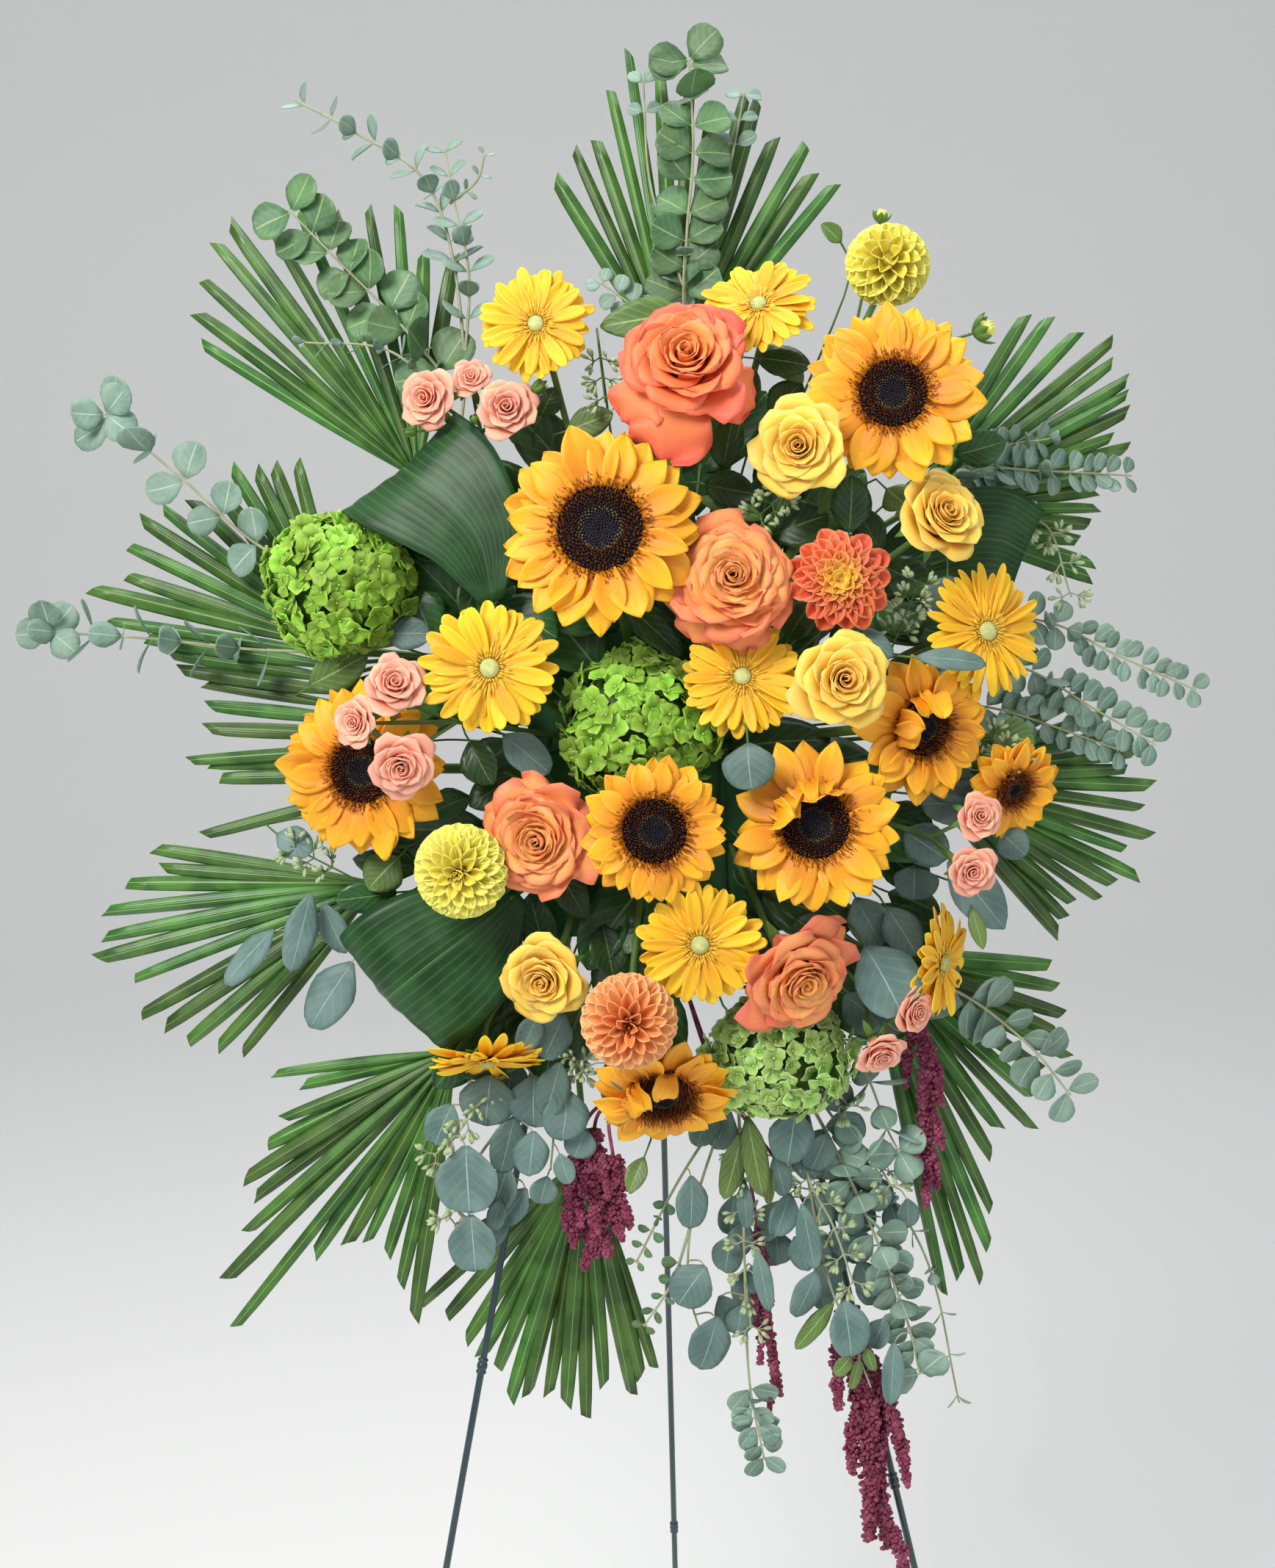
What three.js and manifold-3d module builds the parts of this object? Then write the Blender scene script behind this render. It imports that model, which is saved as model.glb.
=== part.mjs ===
// Standing funeral spray: cut flowers and palm fans in a caged foam brick, hung on a folding wire easel.
// Millimetres, +Z up. The spray faces -Y, and the origin is on the floor under the middle of the object.
import * as THREE from 'three';
import { mergeVertices } from 'three/addons/utils/BufferGeometryUtils.js';
import Module from 'manifold-3d';

const wasm = await Module();
wasm.setup();

// Driving dimensions
const clearance = 0.3; // left between pieces that touch
const stemClearance = 0.35; // left round a stem in its hole
const insertion = 28; // how deep a stem stands in the foam

const easel = {
  lean: 11, // degrees that the front frame leans back
  rearLean: 15, // degrees that the rear leg leans out behind
  wire: 3, // radius of the wire
  frameDrop: 1524, // from the front frame's apex down its slope to the floor
  legSlope: 0.208, // how far a front leg runs out for each unit that it drops
  topBarDrop: 60, // top bar below the apex
  topBarHalf: 35,
  holderBarHalf: 110,
  pegX: 60, // pegs under the cage, on the holder bar
  pegReach: 33,
  sleeveRadius: 4.6,
  sleeveLength: 15,
  sleeveDrops: { left: 795, right: 905 }, // crimped sleeves on the front legs, below the apex
  rearSleeve: 1158, // along the rear leg from its hinge
};

const tray = { wall: 3, height: 25 };
const foam = { halfWidth: 105, halfHeight: 155, back: tray.wall + clearance, front: 85 };
const apexUp = 265; // the front frame's apex over the foam's centre
const lattice = { bar: 3, uprights: [-54, 0, 54], crossbars: [-78, 0, 78] };
const hanger = { x: 24, width: 9, thick: 3 };

const legOut = -(easel.wire + clearance); // middle of the front legs, behind the tray
const barOut = legOut - 2 * easel.wire - clearance; // middle of the crossbars, behind the legs
const topBarUp = apexUp - easel.topBarDrop;
const holderBarUp = -(foam.halfHeight + 25);
const floorUp = apexUp - easel.frameDrop;

const degrees = THREE.MathUtils.degToRad;
const times = (count, make) => Array.from({ length: count }, (_, i) => make(i));

// Places are given on the easel's front plane: x to the right, up along the frame, out towards the viewer
const at = (x, up, out) => new THREE.Vector3(x, -out, up);
const ahead = at(0, 0, 1);

// Solids

function solidFrom(geometry) {
  const bare = geometry.clone();
  bare.deleteAttribute('normal');
  bare.deleteAttribute('uv');
  const merged = mergeVertices(bare, 1e-3);
  return new wasm.Manifold(
    new wasm.Mesh({
      numProp: 3,
      vertProperties: merged.attributes.position.array,
      triVerts: new Uint32Array(merged.index.array),
    }),
  );
}

const join = (solids) => solids.reduce((whole, next) => whole.add(next));

// The largest body of a solid, without the scraps that a cut leaves
function mainBody(solid) {
  const bodies = solid.decompose();
  const whole = bodies.reduce((best, next) => (next.volume() > best.volume() ? next : best));
  return whole.asOriginal().simplify(0.02);
}

function meshFrom(name, solid, material) {
  const { vertProperties, triVerts } = mainBody(solid).getMesh();
  const geometry = new THREE.BufferGeometry();
  geometry.setAttribute('position', new THREE.BufferAttribute(new Float32Array(vertProperties), 3));
  geometry.setIndex(new THREE.BufferAttribute(new Uint32Array(triVerts), 1));
  geometry.computeVertexNormals();
  const mesh = new THREE.Mesh(geometry, material);
  mesh.name = name;
  return mesh;
}

const turnTo = (direction, from = new THREE.Vector3(0, 1, 0)) =>
  new THREE.Quaternion().setFromUnitVectors(from, direction.clone().normalize());

function rod(start, end, radius, sides) {
  const along = end.clone().sub(start);
  const geometry = new THREE.CylinderGeometry(radius, radius, along.length(), sides);
  geometry.applyQuaternion(turnTo(along));
  geometry.translate(...start.clone().add(end).divideScalar(2).toArray());
  return solidFrom(geometry);
}

function box(low, high) {
  const size = high.clone().sub(low);
  const middle = high.clone().add(low).divideScalar(2);
  const geometry = new THREE.BoxGeometry(Math.abs(size.x), Math.abs(size.y), Math.abs(size.z));
  geometry.translate(...middle.toArray());
  return solidFrom(geometry);
}

// A closed skin, built ring by ring from its front to its back, with each ring's points in
// anticlockwise order as seen from the front
class Skin {
  constructor(pose = new THREE.Matrix4()) {
    this.pose = pose;
    this.points = [];
    this.faces = [];
  }

  add(point) {
    return this.points.push(point.clone().applyMatrix4(this.pose)) - 1;
  }

  ring(points) {
    return points.map((point) => this.add(point));
  }

  circle(count, radius, z, turn = 0, ripple = 0) {
    return this.ring(times(count, (i) => {
      const angle = turn + (2 * Math.PI * i) / count;
      const height = z + (i % 2 ? ripple : -ripple);
      return new THREE.Vector3(radius * Math.cos(angle), radius * Math.sin(angle), height);
    }));
  }

  fan(apex, loop) {
    loop.forEach((corner, i) => this.faces.push([apex, corner, loop[(i + 1) % loop.length]]));
  }

  // Joins two rings, which may have different numbers of points
  band(front, back) {
    let [i, j] = [0, 0];
    while (i < front.length || j < back.length) {
      const [a, b] = [front[i % front.length], back[j % back.length]];
      const frontIsNearer = (i + 0.5) / front.length < (j + 0.5) / back.length;
      if (i < front.length && (j === back.length || frontIsNearer)) {
        this.faces.push([a, b, front[(i += 1) % front.length]]);
      } else {
        this.faces.push([a, b, back[(j += 1) % back.length]]);
      }
    }
  }

  // A petal on each gap between two rings. Each grows out of the whole height between them.
  petals(front, back, { base, reach, shoulder = 0.62, wide = 0.9, rise = 0, tip = 0, keel = 0, thick = 1.6,
    alternate = 0, sway = 0.06, turn = 0 }) {
    const count = front.length;
    const step = (2 * Math.PI) / count;
    const polar = (radius, angle, z) =>
      this.add(new THREE.Vector3(radius * Math.cos(angle), radius * Math.sin(angle), z));
    const rims = times(count, (i) => {
      const angle = turn + (i + 0.5) * step;
      const shift = i % 2 ? -alternate : alternate;
      const long = reach * (1 + sway * Math.sin(2.4 * i + 0.7));
      const shoulderAt = base + shoulder * (long - base);
      const half = (wide * step) / 2;
      const ridgeAt = base + 0.55 * (long - base);
      const ridgeHeight = (shoulder ? rise : 0.5 * tip) + 0.6 * shift + keel;
      const rim = shoulder
        ? [polar(shoulderAt, angle - half, rise + 0.6 * shift), polar(long, angle, tip + shift),
          polar(shoulderAt, angle + half, rise + 0.6 * shift)]
        : [polar(long, angle, tip + shift)];
      this.fan(polar(ridgeAt, angle, ridgeHeight + thick / 2), [front[i], ...rim, front[(i + 1) % count]]);
      this.fan(polar(ridgeAt, angle, ridgeHeight - thick / 2),
        [back[(i + 1) % count], ...[...rim].reverse(), back[i]]);
      return rim;
    });
    rims.forEach((rim, i) => {
      const before = rims[(i + count - 1) % count];
      this.faces.push([rim[0], front[i], back[i]], [front[i], before[before.length - 1], back[i]]);
    });
  }

  solid() {
    const geometry = new THREE.BufferGeometry();
    const places = this.points.flatMap((point) => point.toArray());
    geometry.setAttribute('position', new THREE.Float32BufferAttribute(places, 3));
    geometry.setIndex(this.faces.flat());
    return solidFrom(geometry);
  }
}

// Square stems, mitred where they bend

const corners = times(4, (i) => Math.PI * (i / 2 + 0.25)).map((angle) => [Math.cos(angle), Math.sin(angle)]);

// A frame that runs along a path: back looks to where the path comes from
function frameAt(direction, hint) {
  const back = direction.clone().normalize().negate();
  const u = hint.clone().addScaledVector(back, -hint.dot(back)).normalize();
  return { back, u, v: back.clone().cross(u) };
}

const cornerOffset = ({ u, v }, [a, b], radius) =>
  u.clone().multiplyScalar(a * radius).addScaledVector(v, b * radius);

// Rings of a bent square rod through a list of places
function squareRings(places, radius, hint) {
  let frame = frameAt(places[1].clone().sub(places[0]), hint);
  return places.map((place, i) => {
    const into = frame;
    if (i > 0 && i < places.length - 1) {
      const back = places[i].clone().sub(places[i + 1]).normalize();
      const bend = new THREE.Quaternion().setFromUnitVectors(into.back, back);
      frame = { back, u: into.u.clone().applyQuaternion(bend), v: into.v.clone().applyQuaternion(bend) };
    }
    const mitre = into.back.clone().add(frame.back);
    return corners.map((corner) => {
      const offset = cornerOffset(frame, corner, radius);
      const slide = -offset.dot(mitre) / frame.back.dot(mitre);
      return place.clone().add(offset).addScaledVector(frame.back, slide);
    });
  });
}

// Where stems stand in the foam

const stemSource = [0, 0, 20]; // stems run as if from this point deep in the foam
const stemNeck = 16; // straight behind a bloom, before its stem bends to the foam
const foamSpace = new THREE.Box3(
  at(-foam.halfWidth, -foam.halfHeight, foam.front),
  at(foam.halfWidth, foam.halfHeight, foam.back),
);
const holes = [];

function tubeSolid(rings) {
  const skin = new Skin();
  const loops = rings.map((ring) => skin.ring(ring));
  const last = loops[loops.length - 1];
  skin.faces.push([loops[0][0], loops[0][1], loops[0][2]], [loops[0][0], loops[0][2], loops[0][3]]);
  loops.slice(1).forEach((loop, i) => skin.band(loops[i], loop));
  skin.faces.push([last[2], last[1], last[0]], [last[3], last[2], last[0]]);
  return skin.solid();
}

// The foot of a stem that runs straight from a place to its source, with its hole cut to match
function footOf(place, radius, hint, source = stemSource) {
  const from = at(...source);
  const ray = new THREE.Ray(from, place.clone().sub(from).normalize());
  const exit = ray.intersectBox(foamSpace, new THREE.Vector3());
  const along = ray.direction;
  const foot = exit.clone().addScaledVector(along, -insertion);
  const mouth = exit.clone().addScaledVector(along, 12);
  const bottom = foot.clone().addScaledVector(along, -stemClearance);
  const frame = frameAt(along.clone().negate(), hint);
  const holeRadius = radius + stemClearance * Math.SQRT2;
  const ring = (centre) =>
    corners.map((corner) => centre.clone().add(cornerOffset(frame, corner, holeRadius)));
  holes.push(tubeSolid([ring(mouth), ring(bottom)]));
  return foot;
}

// Grows a stem on the back ring of a skin, through a neck to its foot in the foam
function growStem(skin, backRing, seat, look, hint, { radius, source = stemSource }) {
  const bend = seat.clone().addScaledVector(look, -stemNeck);
  const from = at(...source);
  const turnBack = new THREE.Quaternion().setFromUnitVectors(look, bend.clone().sub(from).normalize());
  const foot = footOf(bend, radius, hint.clone().applyQuaternion(turnBack), source);
  const rings = squareRings([seat, bend, foot], radius, hint).map((ring) => skin.ring(ring));
  skin.band(backRing, rings[0]);
  skin.band(rings[0], rings[1]);
  skin.band(rings[1], rings[2]);
  skin.faces.push([rings[2][2], rings[2][1], rings[2][0]], [rings[2][3], rings[2][2], rings[2][0]]);
}

// Blooms, each modelled about +Z, which it faces, with its petals' plane at the origin.
// Each returns its back ring and the height where its stem starts.

function sunflowerHead(skin, { radius, disc }) {
  const count = 14;
  const centre = skin.add(new THREE.Vector3(0, 0, 0.2 * disc));
  const dent = skin.circle(7, 0.36 * disc, 0.15 * disc, 0, 0.6);
  const florets = skin.circle(count, 0.74 * disc, 0.28 * disc, 0, 1);
  const front = skin.circle(count, disc, 2.4);
  const back = skin.circle(count, 0.9 * disc, -3);
  const calyx = skin.circle(7, 0.5 * disc, -0.42 * disc);
  skin.fan(centre, dent);
  skin.band(dent, florets);
  skin.band(florets, front);
  skin.petals(front, back, {
    base: disc, reach: radius, wide: 1, tip: -1, alternate: 6, keel: 1.2, thick: 2,
  });
  skin.band(back, calyx);
  return [calyx, -0.5 * disc];
}

function gerberaHead(skin, { radius }) {
  const count = 14;
  const centre = skin.add(new THREE.Vector3(0, 0, 3.5));
  const eye = skin.circle(7, 0.2 * radius, 4.5, 0, 0.5);
  const front = skin.circle(count, 0.34 * radius, 2);
  const back = skin.circle(count, 0.26 * radius, -2.5);
  skin.fan(centre, eye);
  skin.band(eye, front);
  skin.petals(front, back, {
    base: 0.34 * radius, reach: radius, shoulder: 0.72, wide: 0.94, rise: 1, tip: 1, alternate: 2.6,
    keel: 0.8,
  });
  return [back, -12];
}

function roseHead(skin, { radius }) {
  const count = 5;
  const bud = skin.add(new THREE.Vector3(0, 0, 0.38 * radius));
  const rings = [[0.16, 0.42, 0], [0.24, 0.28, 0.1], [0.34, 0.06, 0.7], [0.4, -0.12, 1.3], [0.42, -0.3, 1.9]]
    .map(([r, z, turn]) => [skin.circle(count, r * radius, z * radius, turn), r * radius, turn]);
  skin.fan(bud, rings[0][0]);
  skin.band(rings[0][0], rings[1][0]);
  const layers = [
    { reach: 0.52, rise: 0.34, tip: 0.4, keel: -0.07 },
    { reach: 0.8, rise: 0.22, tip: 0.24, keel: -0.08 },
    { reach: 1, rise: -0.04, tip: -0.12, keel: -0.06 },
  ];
  layers.forEach(({ reach, rise, tip, keel }, i) => {
    const [front, base, turn] = rings[i + 1];
    const [back, , backTurn] = rings[i + 2];
    skin.petals(front, back, { base, reach: reach * radius, shoulder: 0.78, wide: 0.86, rise: rise * radius,
      tip: tip * radius, keel: keel * radius, thick: 2.2, sway: 0.04, turn: (turn + backTurn) / 2 });
  });
  return [rings[4][0], -0.62 * radius];
}

function smallRoseHead(skin, { radius }) {
  const count = 5;
  const bud = skin.add(new THREE.Vector3(0, 0, 0.34 * radius));
  const rings = [[0.4, 0.4, 0], [0.5, 0.1, 0.6], [0.5, -0.2, 1.2]]
    .map(([r, z, turn]) => [skin.circle(count, r * radius, z * radius, turn), r * radius, turn]);
  skin.fan(bud, rings[0][0]);
  [{ reach: 0.84, tip: 0.3 }, { reach: 1, tip: -0.1 }].forEach(({ reach, tip }, i) => {
    const [front, base, turn] = rings[i];
    skin.petals(front, rings[i + 1][0], { base, reach: reach * radius, shoulder: 0, tip: tip * radius,
      thick: 2, keel: 0.02 * radius, sway: 0.04, turn: turn + 0.3 });
  });
  return [rings[2][0], -0.75 * radius];
}

function dahliaHead(skin, { radius, ball = 0.6 }) {
  const count = 10;
  const centre = skin.add(new THREE.Vector3(0, 0, (0.3 + 0.34 * ball) * radius));
  const rise = 0.24 + 0.2 * ball;
  const rings = [[0.3, rise + 0.08, 0], [0.46, rise - 0.12, 0.2], [0.5, 0, 0.4], [0.42, -0.22, 0.6]]
    .map(([r, z, turn]) => [skin.circle(count, r * radius, z * radius, turn), r * radius, turn]);
  skin.fan(centre, rings[0][0]);
  const layers = [
    { reach: 0.78, tip: rise + 0.08 },
    { reach: 0.97, tip: 0.5 * rise - 0.06 },
    { reach: 1, tip: -0.26 },
  ];
  layers.forEach(({ reach, tip }, i) => {
    const [front, base, turn] = rings[i];
    skin.petals(front, rings[i + 1][0], {
      base, reach: reach * radius, shoulder: 0, tip: tip * radius, thick: 2,
      keel: (i === 2 ? -0.04 : 0.06) * radius, sway: 0.03, turn: turn + 0.1,
    });
  });
  return [rings[3][0], -0.45 * radius];
}

const heads = {
  sunflower: sunflowerHead,
  gerbera: gerberaHead,
  rose: roseHead,
  smallRose: smallRoseHead,
  dahlia: dahliaHead,
};
const budStalk = 1.3;
const stemRadius = { sunflower: 4.5, gerbera: 3, rose: 3.2, smallRose: 2, dahlia: 3, hydrangea: 4 };

// Which way a bloom faces: turn is to the right and nod is up, in degrees
const facing = (turn = 0, nod = 0) =>
  at(Math.sin(degrees(turn)) * Math.cos(degrees(nod)), Math.sin(degrees(nod)),
    Math.cos(degrees(turn)) * Math.cos(degrees(nod)));

function poseOf({ x, up, out, turn, nod, spin = 0 }) {
  const look = facing(turn, nod);
  const facingTurn = turnTo(look, new THREE.Vector3(0, 0, 1));
  const pose = new THREE.Matrix4().makeRotationFromQuaternion(facingTurn);
  pose.multiply(new THREE.Matrix4().makeRotationZ(degrees(spin)));
  pose.setPosition(at(x, up, out));
  return { pose, look, hint: new THREE.Vector3(1, 0, 0).transformDirection(pose) };
}

// A green side bud on its stalk, which leaves the main stem at a joint
function bud({ x, up, out, radius, joint }) {
  const tip = at(x, up, out);
  const from = at(...joint);
  const frame = frameAt(from.clone().sub(tip), at(1, 0, 0));
  const skin = new Skin();
  const rings = [[-0.6, 0.75], [0.3, 1], [1.1, 0.5]].map(([along, swell]) =>
    skin.ring(corners.map((corner) => tip.clone().addScaledVector(frame.back, -along * radius)
      .add(cornerOffset(frame, corner, swell * radius)))));
  const top = tip.clone().addScaledVector(frame.back, -1.4 * radius);
  const stalk = squareRings([top, from], budStalk, at(1, 0, 0)).map((ring) => skin.ring(ring));
  skin.fan(skin.add(tip.clone().addScaledVector(frame.back, radius)), rings[0]);
  [...rings, ...stalk].slice(1).forEach((ring, i) => skin.band([...rings, ...stalk][i], ring));
  skin.faces.push([stalk[1][2], stalk[1][1], stalk[1][0]], [stalk[1][3], stalk[1][2], stalk[1][0]]);
  return skin.solid();
}

// One bloom on its stem, with any side buds
function bloom(kind, spec) {
  const { pose, look, hint } = poseOf(spec);
  const skin = new Skin(pose);
  const [backRing, seatHeight] = heads[kind](skin, spec);
  skin.pose = new THREE.Matrix4();
  const seat = at(spec.x, spec.up, spec.out).addScaledVector(look, seatHeight);
  growStem(skin, backRing, seat, look, hint, { radius: stemRadius[kind], source: spec.source });
  return join([skin.solid(), ...(spec.buds ?? []).map(bud)]);
}

// A folded leaf from the fork of a sprig, given by its tip and its widest place
function sprigLeaf(fork, { tip, wide, half }) {
  const [root, middle, end] = [fork, wide, tip].map((p) => at(...p));
  const along = end.clone().sub(root).normalize();
  const side = along.clone().cross(ahead).negate().normalize();
  const fold = (depth) => middle.clone().addScaledVector(ahead, -depth);
  const skin = new Skin();
  const rim = skin.ring([
    root.clone().addScaledVector(side, -1.2), middle.clone().addScaledVector(side, -half), end,
    middle.clone().addScaledVector(side, half), root.clone().addScaledVector(side, 1.2),
  ]);
  skin.fan(skin.add(fold(1.5)), rim);
  skin.fan(skin.add(fold(3.5)), [...rim].reverse());
  return skin.solid();
}

// A sprig: one stem from the foam to a fork, with a bloom on each branch and leaves under them
function sprig(kind, { fork, blooms, leaves = [], source }) {
  const radius = stemRadius[kind];
  const forkPlace = at(...fork);
  const hint = at(1, 0, 0);
  const foot = footOf(forkPlace, radius, hint, source);
  const stem = tubeSolid(squareRings([forkPlace.clone().lerp(foot, -0.02), foot], radius, hint));
  const branches = blooms.map((spec) => {
    const { pose, look, hint: side } = poseOf(spec);
    const skin = new Skin(pose);
    const [backRing, seatHeight] = heads[kind](skin, spec);
    skin.pose = new THREE.Matrix4();
    const seat = at(spec.x, spec.up, spec.out).addScaledVector(look, seatHeight);
    const rings = squareRings([seat, seat.clone().addScaledVector(look, -6), forkPlace], 0.8 * radius, side)
      .map((ring) => skin.ring(ring));
    skin.band(backRing, rings[0]);
    skin.band(rings[0], rings[1]);
    skin.band(rings[1], rings[2]);
    skin.faces.push([rings[2][2], rings[2][1], rings[2][0]], [rings[2][3], rings[2][2], rings[2][0]]);
    return skin.solid();
  });
  return join([stem, ...branches, ...leaves.map((spec) => sprigLeaf(fork, spec))]);
}

// A four-petalled floret, facing out from the middle of its head and rooted in the head's core
function floret(centre, outward, size, root) {
  const side = new THREE.Vector3(0.31, 0.83, 0.46).cross(outward).normalize();
  const up = outward.clone().cross(side).normalize();
  const skin = new Skin();
  const rim = skin.ring(times(8, (i) => {
    const reach = i % 2 ? 0.42 * size : size;
    const angle = (Math.PI * i) / 4;
    return centre.clone()
      .addScaledVector(side, reach * Math.cos(angle))
      .addScaledVector(up, reach * Math.sin(angle))
      .addScaledVector(outward, i % 2 ? 0 : 2);
  }));
  skin.fan(skin.add(centre), rim);
  skin.fan(skin.add(centre.clone().addScaledVector(outward, -root)), [...rim].reverse());
  return skin.solid();
}

// A mop head: florets spread evenly over a smaller core
function hydrangea(spec) {
  const { radius, source } = spec;
  const florets = 14;
  const flat = 0.8;
  const { pose, look, hint } = poseOf(spec);
  const core = new THREE.IcosahedronGeometry(0.84 * radius, 0);
  core.scale(1, 1, flat);
  const goldenAngle = Math.PI * (3 - Math.sqrt(5));
  const rim = times(florets, (i) => {
    const z = 1 - (1.74 * (i + 0.5)) / florets;
    const round = Math.sqrt(1 - z * z);
    const angle = goldenAngle * i;
    const outward = new THREE.Vector3(round * Math.cos(angle), round * Math.sin(angle), z);
    const centre = outward.clone().multiplyScalar(0.95 * radius);
    centre.z *= flat;
    return floret(centre, outward, 0.45 * radius, 0.34 * radius);
  });
  const head = join([solidFrom(core), ...rim]).transform(pose.elements);
  const seat = at(spec.x, spec.up, spec.out).addScaledVector(look, -0.3 * radius);
  const foot = footOf(seat, stemRadius.hydrangea, hint, source);
  return join([head, tubeSolid(squareRings([seat, foot], stemRadius.hydrangea, hint))]);
}

const sunflowers = [
  { x: -39, up: 169, out: 212, radius: 81, disc: 40, turn: -4, nod: 6, source: [0, -6, 20] },
  { x: 194, up: 271, out: 190, radius: 71, disc: 32, turn: -10, nod: 4, spin: 12 },
  { x: -237, up: -13, out: 145, radius: 71, disc: 31, turn: -12, nod: -4, spin: 25, source: [0, -18, 20] },
  { x: -4, up: -67, out: 214, radius: 58, disc: 30, spin: 8, source: [-20, -58, 20] },
  { x: 122, up: -66, out: 200, radius: 69, disc: 32, turn: -6, nod: 8, spin: 16, source: [26, 0, 20] },
  { x: 213, up: 8, out: 166, radius: 60, disc: 27, turn: 24, nod: -6, spin: 4 },
  { x: 303, up: -46, out: 130, radius: 36, disc: 17, turn: 66, nod: 0, spin: 10 },
  { x: -3, up: -282, out: 144, radius: 56, disc: 30, turn: 0, nod: -48, spin: 18, source: [-24, -40, 20] },
];

const gerberas = [
  { x: -86, up: 339, out: 160, radius: 46, turn: -8, nod: 6 },
  { x: 92, up: 349, out: 160, radius: 46, turn: -12, nod: 30 },
  { x: -129, up: 64, out: 195, radius: 54, source: [-24, 0, 20] },
  { x: 69, up: 52, out: 183, radius: 48, nod: 10 },
  { x: 267, up: 84, out: 150, radius: 54, turn: 24, nod: 4 },
  { x: 29, up: -157, out: 196, radius: 50, turn: 2, nod: -6 },
  { x: -145, up: -250, out: 128, radius: 48, turn: 4, nod: -74 },
  { x: 230, up: -182, out: 128, radius: 47, turn: 78, nod: -8 },
];

const orangeRoses = [
  { x: 31, up: 292, out: 203, radius: 52, nod: -4 },
  { x: 63, up: 128, out: 198, radius: 46, spin: 20 },
  { x: -93, up: -72, out: 185, radius: 45, turn: -12, nod: -4 },
  { x: 106, up: -184, out: 180, radius: 45, turn: 22, nod: -28, source: [27, 0, 20] },
];

const yellowRoses = [
  { x: 119, up: 229, out: 200, radius: 39, turn: -12 },
  { x: 230, up: 174, out: 172, radius: 38, turn: 26, nod: 20, source: [0, 24, 20] },
  { x: 145, up: 46, out: 210, radius: 39, turn: 8 },
  { x: -94, up: -181, out: 162, radius: 37, turn: -14, nod: -18, source: [-20, 0, 20] },
];

const dahlias = [
  { x: 197, up: 381, out: 145, radius: 33, ball: 1, nod: 14,
    buds: [
      { x: 195, up: 424, out: 128, radius: 6, joint: [170, 322, 102] },
      { x: 274, up: 329, out: 132, radius: 10, joint: [153, 290, 94] },
    ] },
  { x: 147, up: 125, out: 200, radius: 41, ball: 0.3 },
  { x: -156, up: -94, out: 190, radius: 37, ball: 0.6, turn: -12, nod: -8 },
  { x: -28, up: -214, out: 207, radius: 38, ball: 1, nod: -8 },
];

const hydrangeas = [
  { x: -256, up: 138, out: 110, radius: 57, turn: -14, nod: 4 },
  { x: -14, up: 17, out: 141, radius: 63 },
  { x: 92, up: -256, out: 116, radius: 51, nod: -20, source: [26, 0, 20] },
];

const sprayRoses = [
  { fork: [-136, 262, 108],
    blooms: [
      { x: -175, up: 284, out: 146, radius: 24, turn: -20 },
      { x: -141, up: 300, out: 138, radius: 16, nod: 20 },
      { x: -112, up: 274, out: 148, radius: 23, nod: 6 },
    ] },
  { fork: [-158, 24, 160],
    blooms: [
      { x: -204, up: 52, out: 196, radius: 25, turn: 10, nod: 20 },
      { x: -233, up: 24, out: 196, radius: 19, turn: -30 },
      { x: -200, up: -10, out: 196, radius: 25, turn: 0, nod: -16 },
    ] },
  { fork: [222, -80, 118],
    blooms: [
      { x: 255, up: -64, out: 158, radius: 20, turn: 14, nod: 6 },
      { x: 248, up: -107, out: 158, radius: 21, turn: 8, nod: -10 },
    ],
    leaves: [{ tip: [282, -158, 104], wide: [252, -124, 112], half: 20 }] },
  { fork: [165, -205, 105],
    blooms: [
      { x: 172, up: -250, out: 152, radius: 21, turn: 20, nod: -40 },
      { x: 200, up: -218, out: 146, radius: 20, turn: 40, nod: -10 },
    ],
    leaves: [{ tip: [248, -220, 88], wide: [208, -219, 94], half: 17 }] },
];

// Foliage

const leafStalk = 2.6; // radius of the stalk of a palm fan or a broad leaf
const hubLength = 14; // of a palm fan, from where its blades meet to its stalk
const bladeHalf = 10; // half the width of a palm blade, where its neighbours leave room
const widest = 0.7; // how far along a blade it is widest

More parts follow.
